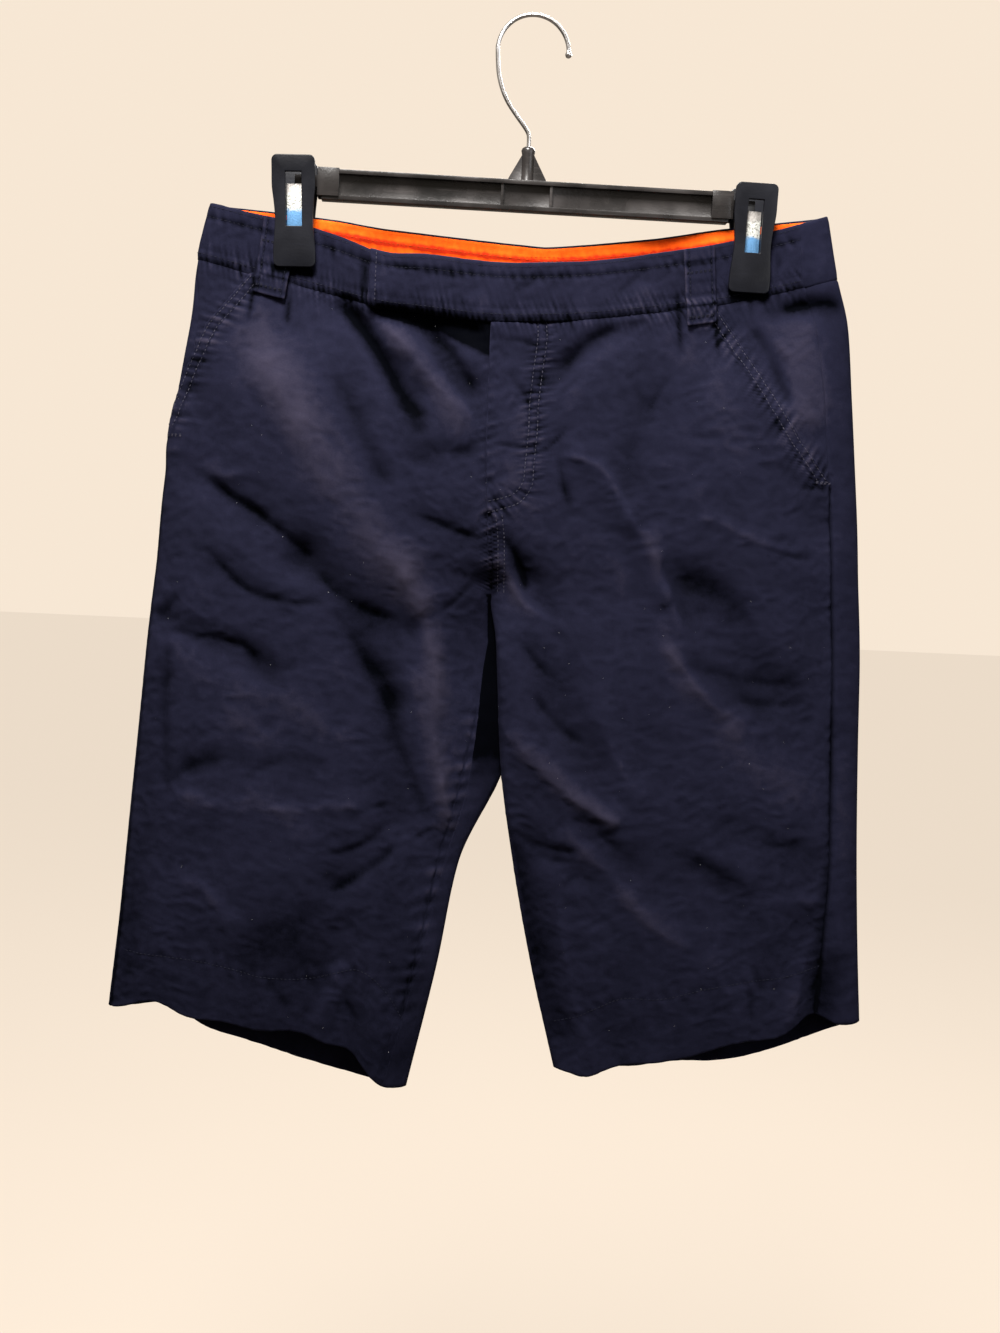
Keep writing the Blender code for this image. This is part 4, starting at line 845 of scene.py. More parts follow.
    def pocket_mouth(self, side: Side, level: float) -> float | None:
        """Where the pocket mouth crosses a level.

        Args:
            side: the wearer's side.
            level: the level.

        Returns:
            The share, or None below the mouth's foot.
        """
        line = POCKET_MOUTH[side]
        along, points, _ = self.row(side, level)
        heights = [point.z for point in reversed(line)]
        inward = [point.inward for point in reversed(line)]
        ahead = along - np.interp(points[:, 2], heights, inward)
        crossing = int(np.argmax(ahead > 0))
        if points[crossing, 2] < line[-1].z:
            return None
        before, after = ahead[crossing - 1], ahead[crossing]
        part = -before / (after - before)
        step = along[crossing] - along[crossing - 1]
        return self.to_share(side, level, along[crossing - 1] + part * step)

    def front_edge(self, side: Side, level: float) -> float:
        """Outer edge of a front: the pocket mouth, and below it the side seam."""
        mouth = self.pocket_mouth(side, level)
        return self.side_seam(side, level) if mouth is None else mouth

    def inner_fold(self, side: Side, level: float, face: Face, margin: float = 0.03) -> float:
        """Where the leg's inner fold lies on a face.

        Args:
            side: the wearer's side.
            level: the level.
            face: the face.
            margin: how far short of the face's edge it stays.

        Returns:
            The share.
        """
        along, points, _ = self.row(side, level)
        innermost = int(np.argmax(-side.value * points[:, 0]))
        reach = -face.value * self.to_share(side, level, along[innermost])
        if reach <= 0.0:
            reach = 1.0
        return -face.value * min(reach, 1.0 - margin)

    def height(self, level: float) -> float:
        """A mean height of a level, to space rows evenly."""
        section = self.section(RIGHT, level)
        return 0.5 * (section.side_z + section.front_z)

    def levels(self, start: float, end: float, step: float) -> Array:
        """Levels from one to another, about a step apart in height."""
        fine = np.linspace(start, end, 200)
        heights = np.array([self.height(level) for level in fine])
        count = max(2, int(round((heights[0] - heights[-1]) / step)) + 1)
        return np.interp(np.linspace(heights[0], heights[-1], count), heights[::-1], fine[::-1])


@dataclass
class Relief:
    """The fine relief of the cloth: creases, the puckers of its seams and soft unevenness.

    Each also paints light and shade into the cloth's colour: tone_shade, crease_shade, ridge_shade
    and soft_shade scale it, leg_shade paints the cloth darker towards the hems and clip_shade
    paints a shadow under the clips' feet.
    """

    surface: GarmentSurface
    soft_height: float = 0.45
    soft_length: float = 22.0
    crumple_height: float = 0.42
    crumple_length: float = 11.0
    tone_height: float = 1.5
    tone_shade: float = 0.55
    crease_width: float = 0.75
    crease_shade: float = 1.15
    crease_fade: float = 12.0
    ridge_width: float = 1.15
    ridge_shade: float = 0.6
    soft_shade: float = 0.16
    leg_shade: float = 0.45
    clip_shade: float = 2.4
    back_tone: float = 0.75
    clip_x: float = 145.6
    clip_foot_z: float = -164.5
    path_points: int = 14
    mouth_length: float = 190.0
    wrinkle_sets: tuple[tuple[float, float, float], ...] = (
        (0.5, 1.0, 0.55), (-0.7, 0.62, 0.4), (1.3, 0.36, 0.25))

    def __post_init__(self) -> None:
        """Make the line of every crease and seam."""
        self.creases = [(crease, LineField(crease.path)) for crease in CREASES]
        self.tones = [(tone, LineField(tone.path)) for tone in TONES]
        self.seams = [(seam, LineField(seam.path)) for seam in self.sewn_lines()]
        self.soft = Unevenness(11)
        self.puckers = Unevenness(23)

    def edge_path(self, side: Side, share_at: Callable[[float], float], start: float,
                  end: float) -> Path:
        """The places along a line that runs down the garment.

        Args:
            side: the wearer's side.
            share_at: gives the line's share at a level.
            start: the first level.
            end: the last level.

        Returns:
            The (x, z) places.
        """
        points = (self.surface.point(side, level, share_at(level))
                  for level in np.linspace(start, end, self.path_points))
        return tuple((float(x), float(z)) for x, _, z in points)

    def level_path(self, side: Side, level: float, start: float, end: float) -> Path:
        """The places along a level, between two shares."""
        points = self.surface.place(side, level, np.linspace(start, end, self.path_points))[0]
        return tuple((float(x), float(z)) for x, _, z in points)

    def mouth_foot(self, side: Side) -> float:
        """The last level that the pocket mouth crosses."""
        levels = np.linspace(BAND_SEAM, CROTCH, 120)
        return float(max(level for level in levels
                         if self.surface.pocket_mouth(side, level) is not None))

    def sewn_lines(self) -> list[Seam]:
        """Every seam and row of stitches that puckers the cloth.

        Returns:
            The seams, in the order in which their puckers are drawn.
        """
        surface = self.surface
        lines = [
            Seam(FRONT, 4.6, 4.5, 1.3, 0.50, 2.2, FLY_J),
            Seam(FRONT, 4.6, 3.5, 0.9, 0.40, 1.5, FLY_J_INNER),
            Seam(FRONT, 2.9, 4.6, 1.4, 0.30, 2.7, CROTCH_SEAM),
            Seam(FRONT, 11.0, 6.0, 0.9, 0.30, 1.3, INSEAM_RIGHT),
        ]
        for face, hem in ((FRONT, HEM_LINE_RIGHT), (FRONT, HEM_LINE_LEFT),
                          (BACK, HEM_LINE_RIGHT_BACK), (BACK, HEM_LINE_LEFT_BACK)):
            lines.append(Seam(face, 9.0, 7.0, 0.5, 0.12, 0.45, hem))
        for side in BOTH_SIDES:
            seam_share = surface.side_seam(side, BAND_SEAM)
            for face in (FRONT, BACK):
                ends = (seam_share, -face.value)
                for level, *sizes in ((BAND_SEAM, 3.6, 6.0, 1.0, 1.0, 1.6),
                                      (BAND_ROWS[1], 6.0, 3.0, 0.45, 0.80, 1.0),
                                      (0.78, 3.8, 4.0, 0.65, 0.30, 1.0)):
                    lines.append(Seam(face, *sizes, self.level_path(side, level, *ends)))
            foot = self.mouth_foot(side)
            # dark is how strongly light and shade are painted on the mouth's puckers
            for off, depth, groove, dark in ((0.0, 1.1, 0.0, 1.6), (6.5, 1.3, 0.35, 2.6)):
                inset = off / self.mouth_length
                mouth = self.edge_path(side, lambda level: surface.front_edge(side, level) + inset,
                                       BAND_SEAM, foot)
                lines.append(Seam(FRONT, 5.2, 4.5, depth, groove, dark, mouth))
            seam = self.edge_path(side, lambda level: surface.side_seam(side, level), foot, HEM)
            for face in (FRONT, BACK):
                lines.append(Seam(face, 8.0, 5.0, 0.35, 0.70, 0.45, seam))
        back = self.edge_path(RIGHT, lambda level: -1.0, BAND_SEAM, CROTCH)
        lines.append(Seam(BACK, 5.0, 5.0, 1.0, 0.60, 1.2, back))
        fly = self.edge_path(LEFT, lambda level: 1.0, BAND_SEAM, 5.0)
        lines.append(Seam(FRONT, 6.5, 4.5, 0.8, 0.0, 1.1, fly))
        inseam = self.edge_path(LEFT, lambda level: 1.0, 7.0, HEM)
        lines.append(Seam(FRONT, 9.0, 6.0, 0.5, 0.20, 0.5, inseam))
        return lines

    def at(self, points: Array, facing: Array) -> tuple[Array, Array]:
        """How far the cloth stands out at each point, in millimetres, and the light or shade
        painted there.

        Args:
            points: places on the smooth surface.
            facing: how far each faces forwards (below 0) or backwards.

        Returns:
            The heights and the painted shades, light above 0, which are nought on plain cloth.
        """
        x, z = points[:, 0], points[:, 2]
        mirrored = np.where(facing > 0, -x, x)
        height, shade = np.zeros(len(x)), np.zeros(len(x))
        for parts, across in ((self.crease_parts, x), (self.tone_parts, mirrored),
                              (self.seam_parts, x)):
            for near, raised, painted_shading in parts(across, z, facing):
                height[near] += raised
                shade[near] += painted_shading
        soft = self.soft.at(x / self.soft_length + 40.0, z / (1.7 * self.soft_length) + 60.0)
        crumple = self.crumple(x, z)
        turned = smoothstep(0.05, 0.5, np.abs(facing))
        height += turned * (self.soft_height * soft + self.crumple_height * crumple)
        # painted light on the soft swells and wrinkles, painted shade in their hollows
        shade += self.soft_shade * soft + self.soft_shade * crumple
        # painted shade, darker towards the hems
        shade -= self.leg_shade * smoothstep(-470.0, -660.0, z) * np.where(mirrored < 0, 1.0, 0.6)
        # painted shadow under the clips' feet
        by_clip = smoothstep(15.0, 11.0, np.abs(np.abs(x) - self.clip_x))
        shade -= self.clip_shade * by_clip * bump(z - self.clip_foot_z, 3.2)
        room = smoothstep(1.6, 5.0, np.abs(points[:, 1]))
        return height * (0.25 + 0.75 * room), shade

    def crease_parts(self, x: Array, z: Array, facing: Array) -> Iterator[Part]:
        """The creases: sharp lines that fade at their ends, with painted shade in the troughs
        and painted light on the ridges.

        Args:
            x: the places across the garment.
            z: their heights.
            facing: how far each faces forwards or backwards.

        Yields:
            For each crease, the indices it reaches, its heights and its painted shades there.
        """
        for crease, line in self.creases:
            near = line.near(x, z, 3.0 * crease.half_width)
            near = near[facing[near] * crease.face.value > 0.02]
            if not len(near):
                continue
            aside, along = line.measure(x[near], z[near])
            fade = min(0.3 * line.length, self.crease_fade)
            ends = smoothstep(-2.0, fade, along)
            ends = ends * smoothstep(line.length + 2.0, line.length - fade, along)
            turned = smoothstep(0.02, 0.3, np.abs(facing[near]))
            wander = 1.0 + 0.35 * self.soft.at(along / 14.0, crease.half_width)
            ridge = crease.height > 0.0
            width = (self.ridge_width if ridge else self.crease_width) * crease.half_width
            shape = ends * turned * wander * np.exp(-np.abs(aside / width) ** 1.5)
            # painted light on a ridge, painted shade in a trough
            strength = self.ridge_shade if ridge else self.crease_shade
            yield near, crease.height * shape, strength * crease.shade * shape

    def tone_parts(self, x: Array, z: Array, facing: Array) -> Iterator[Part]:
        """The broad swells and hollows, seen mirrored on the back, with painted light and shade.

        Args:
            x: the places across the garment.
            z: their heights.
            facing: how far each faces forwards or backwards.

        Yields:
            For each, the indices it reaches, its heights and its painted shades there.
        """
        for tone, line in self.tones:
            near = line.near(x, z, 2.5 * tone.half_width)
            if not len(near):
                continue
            aside, along = line.measure(x[near], z[near])
            wander = 1.0 + 0.25 * self.soft.at(along / 16.0, tone.half_width)
            shape = bump(aside, tone.half_width) * wander
            shape = shape * smoothstep(0.0, 0.35, np.abs(facing[near]))
            shape = shape * np.where(facing[near] > 0, self.back_tone, 1.0) * tone.shade
            yield near, self.tone_height * shape, self.tone_shade * shape

    def seam_parts(self, x: Array, z: Array, facing: Array) -> Iterator[Part]:
        """The puckers and grooves of the seams, with painted light and shade on the puckers and
        painted shade in the grooves.

        Args:
            x: the places across the garment.
            z: their heights.
            facing: how far each faces forwards or backwards.

        Yields:
            For each, the indices it reaches, its heights and its painted shades there.
        """
        for number, (seam, line) in enumerate(self.seams):
            near = line.near(x, z, 2.5 * seam.reach)
            near = near[facing[near] * seam.face.value > -0.05]
            if not len(near):
                continue
            aside, along = line.measure(x[near], z[near])
            inside = smoothstep(-1.0, 1.0, along)
            inside = inside * smoothstep(line.length + 1.0, line.length - 1.0, along)
            place = (along + 0.35 * aside) / seam.pitch
            drift = place + 0.4 * self.soft.at(place / 3.0, number + 0.5)
            ripple = self.puckers.at(place * 2.0, number * 3.0 + 0.5)
            ripple += 0.6 * np.sin(2.0 * np.pi * drift)
            ripple = ripple * (0.75 + 0.35 * self.soft.at(along / 17.0, number + 0.5))
            out = np.exp(-np.abs(aside) / seam.reach) * smoothstep(0.0, 0.8, np.abs(aside))
            raised = seam.depth * ripple * out - seam.groove * bump(aside, 1.3)
            # painted light and shade across the puckers, painted shade in the groove
            painted_shading = seam.shade * ripple * out - 1.3 * seam.groove * bump(aside, 1.2)
            yield near, inside * raised, inside * painted_shading

    def crumple(self, x: Array, z: Array) -> Array:
        """Small sharp wrinkles that cross each other, from about -1 to 1.

        Args:
            x: the places across the garment.
            z: their heights.

        Returns:
            The height of the wrinkles at each place.
        """
        total = np.zeros(len(x))
        for number, (turn, size, share) in enumerate(self.wrinkle_sets):
            length = self.crumple_length * size
            along = (x * math.cos(turn) + z * math.sin(turn)) / length
            across = (z * math.cos(turn) - x * math.sin(turn)) / (0.6 * length)
            bend = self.soft.at(along * 0.6 + 9.0 * number, across * 0.4)
            wrinkle = np.abs(self.puckers.at(along + 31.0 * number, across + 0.9 * bend))
            total += share * (1.0 - 3.2 * wrinkle)
        return total


# ---------------------------------------------------------------- meshes
def in_scene(name: str, data: bpy.types.ID) -> Object:
    """An object in the scene, made from its data."""
    made = bpy.data.objects.new(name, data)
    bpy.context.scene.collection.objects.link(made)
    return made


def from_bmesh(name: str, mesh: Bmesh, sharp_over: float = 180.0) -> Object:
    """Turn a finished bmesh into an object.

    Args:
        name: the object's name.
        mesh: the bmesh, which is freed.
        sharp_over: the angle in degrees past which an edge stays sharp.

    Returns:
        The smooth object, in the scene.
    """
    data = bpy.data.meshes.new(name)
    mesh.to_mesh(data)
    mesh.free()
    data.shade_smooth()
    if sharp_over < 180.0:
        data.set_sharp_from_angle(angle=math.radians(sharp_over))
    return in_scene(name, data)


def round_edges(mesh: Bmesh, over: float, width: float, segments: int, clamp: bool = False) -> None:
    """Round off the hard edges of a mesh.

    Args:
        mesh: the mesh.
        over: the angle in degrees past which an edge is hard.
        width: how far each edge is cut back, in metres.
        segments: how many faces go round it.
        clamp: whether the width gives way where edges meet.
    """
    hard = [edge for edge in mesh.edges
            if edge.is_manifold and edge.calc_face_angle() > math.radians(over)]
    bmesh.ops.bevel(mesh, geom=hard, offset=width, segments=segments, profile=0.5, affect="EDGES",
                    clamp_overlap=clamp)


def split_large_faces(mesh: Bmesh) -> None:
    """Cut faces of more than four sides into triangles."""
    bmesh.ops.triangulate(mesh, faces=[face for face in mesh.faces if len(face.verts) > 4])


def mesh_object(name: str, places: Array, faces: Array, uvs: Array | None = None,
                shades: Array | None = None) -> Object:
    """An object of four-sided faces, smooth, with its map and its shades.

    Args:
        name: the object's name.
        places: one row of metres for each vertex.
        faces: one row of four vertices for each face, turned about if the mesh faces inwards.
        uvs: a place on the cloth, in metres, for each vertex.
        shades: how much light or shade is painted on the cloth at each vertex.

    Returns:
        The object, in the scene.
    """
    first, second, third = (places[faces[:, i]] for i in range(3))
    fourth = places[faces[:, 3]]
    volume = np.einsum("ij,ij->i", first, np.cross(second, third)).sum()
    volume += np.einsum("ij,ij->i", first, np.cross(third, fourth)).sum()
    if volume < 0:
        faces = faces[:, ::-1]
    mesh = bpy.data.meshes.new(name)
    mesh.vertices.add(len(places))
    mesh.vertices.foreach_set("co", places.astype(np.float32).ravel())
    mesh.loops.add(faces.size)
    mesh.loops.foreach_set("vertex_index", faces.astype(np.int32).ravel())
    mesh.polygons.add(len(faces))
    mesh.polygons.foreach_set("loop_start", np.arange(0, faces.size, 4, dtype=np.int32))
    mesh.update(calc_edges=True)
    mesh.shade_smooth()
    if uvs is not None:
        layer = mesh.uv_layers.new(name="cloth")
        layer.data.foreach_set("uv", uvs[faces.ravel()].astype(np.float32).ravel())
    if shades is not None:
        attribute = mesh.attributes.new("shade", "FLOAT", "POINT")
        attribute.data.foreach_set("value", shades.astype(np.float32))
    return in_scene(name, mesh)


def grid_faces(rows: int, columns: int, first: int) -> Array:
    """The four-sided faces of a grid of vertices that are numbered row by row from a first one."""
    index = first + np.arange(rows * columns).reshape(rows, columns)
    corners = (index[:-1, :-1], index[1:, :-1], index[1:, 1:], index[:-1, 1:])
    return np.stack(corners, axis=-1).reshape(-1, 4)


def rim_of(rows: int, columns: int) -> Array:
    """The numbers of a grid's outermost vertices, once round."""
    index = np.arange(rows * columns).reshape(rows, columns)
    return np.concatenate((index[:, 0], index[-1, 1:], index[-2::-1, -1], index[0, -2:0:-1]))


def tree_of_grid(grid: Array) -> BVHTree:
    """A grid of points as a tree that lines can be laid on."""
    faces = grid_faces(*grid.shape[:2], 0)
    return BVHTree.FromPolygons(grid.reshape(-1, 3).tolist(), faces.tolist())


def replace_node(piece: Object, slot: Slot, *nodes: str) -> None:
    """Let a finished piece ride on the body and stand for its nodes.

    Args:
        piece: the piece.
        slot: the slot; not used.
        nodes: the nodes that it stands for.
    """
    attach(piece, BODY)
    if nodes:
        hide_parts(*nodes)
    LOG.info("%s: %d faces", piece.name, len(piece.data.polygons))


def applied(piece: Object) -> Object:
    """A plain mesh of what an object with modifiers shows, under its name and at the origin.

    Args:
        piece: the object, which is removed.

    Returns:
        The plain object.
    """
    bpy.context.view_layer.update()
    seen = piece.evaluated_get(bpy.context.evaluated_depsgraph_get())
    mesh = bpy.data.meshes.new_from_object(seen)
    mesh.transform(piece.matrix_world)
    name = piece.name
    bpy.data.objects.remove(piece, do_unlink=True)
    mesh.name = name
    return in_scene(name, mesh)


# ---------------------------------------------------------------- nodes
Colour = tuple[float, float, float, float]


def put(tree: Tree, target: Socket, value: object) -> None:
    """Link another socket to an input, or set the input to a plain value."""
    if isinstance(value, Socket):
        tree.links.new(value, target)
    else:
        target.default_value = value


def add_node(tree: Tree, kind: str, **values: object) -> bpy.types.Node:
    """Add a node and set its properties and inputs by their names.

    Args:
        tree: the tree that it goes into.
        kind: the node's type.
        values: sockets or plain values, with underscores for the spaces in an input's name.

    Returns:
        The node.
    """
    node = tree.nodes.new(kind)
    for key, value in values.items():
        if hasattr(node, key):
            setattr(node, key, value)
        else:
            put(tree, node.inputs[key.replace("_", " ")], value)
    return node


def maths(tree: Tree, operation: str, *values: object) -> Socket:
    """A Math node on sockets or numbers, and its result."""
    node = add_node(tree, "ShaderNodeMath", operation=operation)
    for socket, value in zip(node.inputs, values):
        put(tree, socket, value)
    return node.outputs[0]


class Wiring:
    """A node material while it is wired: its tree, its shader and short ways to add nodes."""

    def __init__(self, name: str) -> None:
        """Start a material with a Principled shader and the piece's own coordinates.

        Args:
            name: the material's name.
        """
        self.material = bpy.data.materials.new(name)
        self.material.use_nodes = True
        self.tree = self.material.node_tree
        self.shader = self.tree.nodes["Principled BSDF"]
        self.place = self.add("ShaderNodeTexCoord").outputs["Object"]

    def add(self, kind: str, **values: object) -> bpy.types.Node:
        """Add a node to the material, as add_node does."""
        return add_node(self.tree, kind, **values)

    def maths(self, operation: str, *values: object) -> Socket:
        """A Math node on sockets or numbers, and its result."""
        return maths(self.tree, operation, *values)

    def feed(self, **values: object) -> None:
        """Give the shader's inputs sockets or plain values, by their names with underscores."""
        for key, value in values.items():
            put(self.tree, self.shader.inputs[key.replace("_", " ")], value)

    def ramp(self, factor: Socket, *stops: tuple[float, Colour]) -> Socket:
        """A colour ramp with the given stops.

        Args:
            factor: where along the ramp each place lies.
            stops: the places of the colours, with the colours.

        Returns:
            The colour.
        """
        node = self.add("ShaderNodeValToRGB", Fac=factor)
        band = node.color_ramp
        while len(band.elements) < len(stops):
            band.elements.new(0.5)
        for element, (position, colour) in zip(band.elements, stops):
            element.position, element.color = position, colour
        return node.outputs["Color"]

    def scaled(self, mask: Socket, low: float, high: float) -> Socket:
        """A mask from 0 to 1 taken to another range."""
        return self.maths("ADD", self.maths("MULTIPLY", mask, high - low), low)

    def blended(self, tone: Socket, *masks: tuple[Socket, float, float]) -> Socket:
        """A tone with masks added to it, each taken to its own range."""
        for mask, low, high in masks:
            tone = self.maths("ADD", tone, self.scaled(mask, low, high))
        return tone

    def stretched(self, value: Socket, low: float, high: float) -> Socket:
        """A value as a mask: 0 at or below a low limit and 1 at or above a high one."""
        node = self.add("ShaderNodeMapRange", From_Min=low, From_Max=high, Value=value)
        return node.outputs["Result"]

    def raise_by(self, height: Socket, distance: float) -> None:
        """Drive the shader's normal from a height, which is in parts of a distance in metres."""
        node = self.add("ShaderNodeBump", Distance=distance, Strength=1.0, Height=height)
        self.feed(Normal=node.outputs["Normal"])

    def group(self, tree: Tree, vector: Socket, **values: float) -> bpy.types.bpy_prop_collection:
        """Place a shared effect with its own values, and give what it puts out."""
        return self.add("ShaderNodeGroup", node_tree=tree, Vector=vector, **values).outputs


def add_numbers(tree: Tree, numbers: Sequence[tuple[str, float]]) -> None:
    """Give a group number inputs, from their names and defaults."""
    for label, value in numbers:
        made = tree.interface.new_socket(label, in_out="INPUT", socket_type="NodeSocketFloat")
        made.default_value = value


def new_group(name: str, numbers: Sequence[tuple[str, float]], outputs: Sequence[str]) -> Tree:
    """An empty shader group with a vector input, some numbers and some masks.

    Args:
        name: the group's name.
        numbers: the names and defaults of its number inputs.
        outputs: the names of the masks that it puts out.

    Returns:
        The group's tree, with its input and output nodes.
    """
    tree = bpy.data.node_groups.new(name, "ShaderNodeTree")
    tree.interface.new_socket("Vector", in_out="INPUT", socket_type="NodeSocketVector")
    add_numbers(tree, numbers)
    for label in outputs:
        tree.interface.new_socket(label, in_out="OUTPUT", socket_type="NodeSocketFloat")
    tree.nodes.new("NodeGroupInput")
    tree.nodes.new("NodeGroupOutput")
    return tree


def twill_weave() -> Tree:
    """The diagonal wale of a twill and the flecks of its yarn, on a map in metres.

    Returns:
        The group's tree.
    """
    numbers = (("Wales per metre", 1700.0), ("Slant", 0.62))
    tree = new_group("twill weave", numbers, ("Height", "Fleck"))
    enter, leave = tree.nodes["Group Input"].outputs, tree.nodes["Group Output"].inputs
    split = add_node(tree, "ShaderNodeSeparateXYZ")
    put(tree, split.inputs[0], enter["Vector"])
    slanted = maths(tree, "MULTIPLY", split.outputs["Y"], enter["Slant"])
    across = maths(tree, "ADD", split.outputs["X"], slanted)
    turns = maths(tree, "MULTIPLY", enter["Wales per metre"], 2.0 * math.pi)
    wale = maths(tree, "SINE", maths(tree, "MULTIPLY", across, turns))
    yarn_turns = maths(tree, "MULTIPLY", turns, 1.3)
    yarn = maths(tree, "SINE", maths(tree, "MULTIPLY", split.outputs["Y"], yarn_turns))
    fine = add_node(tree, "ShaderNodeTexNoise", Scale=900.0, Detail=3.0, Vector=enter["Vector"])
    height = maths(tree, "ADD", maths(tree, "MULTIPLY", wale, 0.34), 0.42)
    for part, share in ((yarn, 0.12), (fine.outputs["Fac"], 0.25)):
        height = maths(tree, "ADD", height, maths(tree, "MULTIPLY", part, share))
    put(tree, leave["Height"], height)
    put(tree, leave["Fleck"], fine.outputs["Fac"])
    return tree


def uneven_wear() -> Tree:
    """Soft patches and finer mottling, each from 0 to 1.

    Returns:
        The group's tree.
    """
    numbers = (("Patch scale", 14.0), ("Mottle scale", 130.0))
    tree = new_group("uneven wear", numbers, ("Patches", "Mottle"))
    enter, leave = tree.nodes["Group Input"].outputs, tree.nodes["Group Output"].inputs
    for label, output, detail in (("Patch scale", "Patches", 4.0), ("Mottle scale", "Mottle", 5.0)):
        noise = add_node(tree, "ShaderNodeTexNoise", Detail=detail, Vector=enter["Vector"],
                         Scale=enter[label])
        spread = add_node(tree, "ShaderNodeMapRange", From_Min=0.3, From_Max=0.7,
                          Value=noise.outputs["Fac"])
        put(tree, leave[output], spread.outputs["Result"])
    return tree


# ---------------------------------------------------------------- finishes
@dataclass(frozen=True)
class Twill:
    """Navy cotton twill with worn patches and flecks, and painted light and shade.

    The shade attribute runs from trough, painted shade for the creases, over plain, the cloth's
    own navy, to ridge, a warmer painted highlight for the ridges.
    """

    # painted shade in the creases, the plain navy, and a warm painted highlight on the ridges
    trough: Colour = (0.0003, 0.0005, 0.0015, 1.0)
    plain: Colour = (0.0112, 0.0116, 0.0255, 1.0)
    ridge: Colour = (0.0400, 0.0355, 0.0580, 1.0)
    sheen: float = 0.008
    sheen_colour: Colour = (0.40, 0.42, 0.75, 1.0)
    wrinkle_scale: float = 85.0
    wrinkle_depth: float = 0.0007
    weave_depth: float = 0.00016

    def make(self, weave: Tree, wear: Tree) -> Material:
        """Wire the cloth.

        Args:
            weave: the shared weave.
            wear: the shared wear.

        Returns:
            The material.
        """
        wiring = Wiring("navy twill")
        cloth = wiring.add("ShaderNodeUVMap", uv_map="cloth").outputs["UV"]
        shade = wiring.add("ShaderNodeAttribute", attribute_name="shade").outputs["Fac"]
        woven = wiring.group(weave, cloth)
        worn = wiring.group(wear, wiring.place, Patch_scale=18.0, Mottle_scale=260.0)
        wrinkles = wiring.add("ShaderNodeTexNoise", noise_type="RIDGED_MULTIFRACTAL",
                              Scale=self.wrinkle_scale, Detail=4.0, Roughness=0.45,
                              Distortion=0.6, Vector=wiring.place)
        crest_height_and_highlight = wiring.stretched(wrinkles.outputs["Fac"], 0.5, 2.0)
        # the shade attribute's painted light and shade, with a slight painted highlight on the
        # wrinkles' crests
        tone = wiring.maths("ADD", wiring.maths("MULTIPLY", shade, 0.30), 0.48)
        tone = wiring.blended(tone, (crest_height_and_highlight, -0.03, 0.04), (worn["Patches"], -0.03, 0.03),
                              (worn["Mottle"], -0.03, 0.03), (woven["Fleck"], -0.10, 0.10))
        wiring.feed(
            Base_Color=wiring.ramp(tone, (0.0, self.trough), (0.5, self.plain), (1.0, self.ridge)),
            Roughness=wiring.scaled(worn["Patches"], 0.72, 0.86),
            Sheen_Weight=self.sheen, Sheen_Roughness=0.45, Sheen_Tint=self.sheen_colour,
            Specular_IOR_Level=0.02)
        part = wiring.maths("MULTIPLY", woven["Height"], self.weave_depth / self.wrinkle_depth)
        wiring.raise_by(wiring.maths("ADD", crest_height_and_highlight, part), self.wrinkle_depth)
        return wiring.material


@dataclass(frozen=True)
class OrangeLining:
    """Bright orange plain-woven cotton with softly darker, redder patches.

    deep and pale are also the painted shade and painted light that the shade attribute picks.
    """

    deep: Colour = (0.42, 0.018, 0.001, 1.0)
    plain: Colour = (0.86, 0.100, 0.003, 1.0)
    pale: Colour = (0.95, 0.190, 0.012, 1.0)
    weave_depth: float = 0.00012

    def make(self, weave: Tree, wear: Tree) -> Material:
        """Wire the facing's cloth.

        Args:
            weave: the shared weave.
            wear: the shared wear.

        Returns:
            The material.
        """
        wiring = Wiring("orange facing cloth")
        cloth = wiring.add("ShaderNodeUVMap", uv_map="cloth").outputs["UV"]
        shade = wiring.add("ShaderNodeAttribute", attribute_name="shade").outputs["Fac"]
        woven = wiring.group(weave, cloth, Wales_per_metre=2100.0, Slant=0.0)
        worn = wiring.group(wear, wiring.place, Patch_scale=55.0, Mottle_scale=420.0)
        # painted light and shade from the shade attribute, then the worn patches and mottle
        tone = wiring.maths("ADD", wiring.maths("MULTIPLY", shade, 0.30), 0.52)
        tone = wiring.blended(tone, (worn["Patches"], -0.16, 0.12), (worn["Mottle"], -0.08, 0.08))
        wiring.feed(
            Base_Color=wiring.ramp(tone, (0.05, self.deep), (0.5, self.plain), (0.95, self.pale)),
            Roughness=wiring.scaled(worn["Mottle"], 0.68, 0.82), Specular_IOR_Level=0.10)
        wiring.raise_by(woven["Height"], self.weave_depth)
        return wiring.material


@dataclass(frozen=True)
class Thread:
    """Twisted sewing thread."""

    name: str
    dark: Colour
    light: Colour
    twist_depth: float = 0.00008

    def make(self) -> Material:
        """Wire the thread with its twist.

        Returns:
            The material.
        """
        wiring = Wiring(self.name)
        twist = wiring.add("ShaderNodeTexNoise", Scale=1400.0, Detail=2.0,
                           Vector=wiring.place).outputs["Fac"]
        wiring.feed(Base_Color=wiring.ramp(twist, (0.3, self.dark), (0.7, self.light)),
                    Roughness=wiring.scaled(twist, 0.55, 0.75), Specular_IOR_Level=0.12)
        wiring.raise_by(twist, self.twist_depth)
        return wiring.material


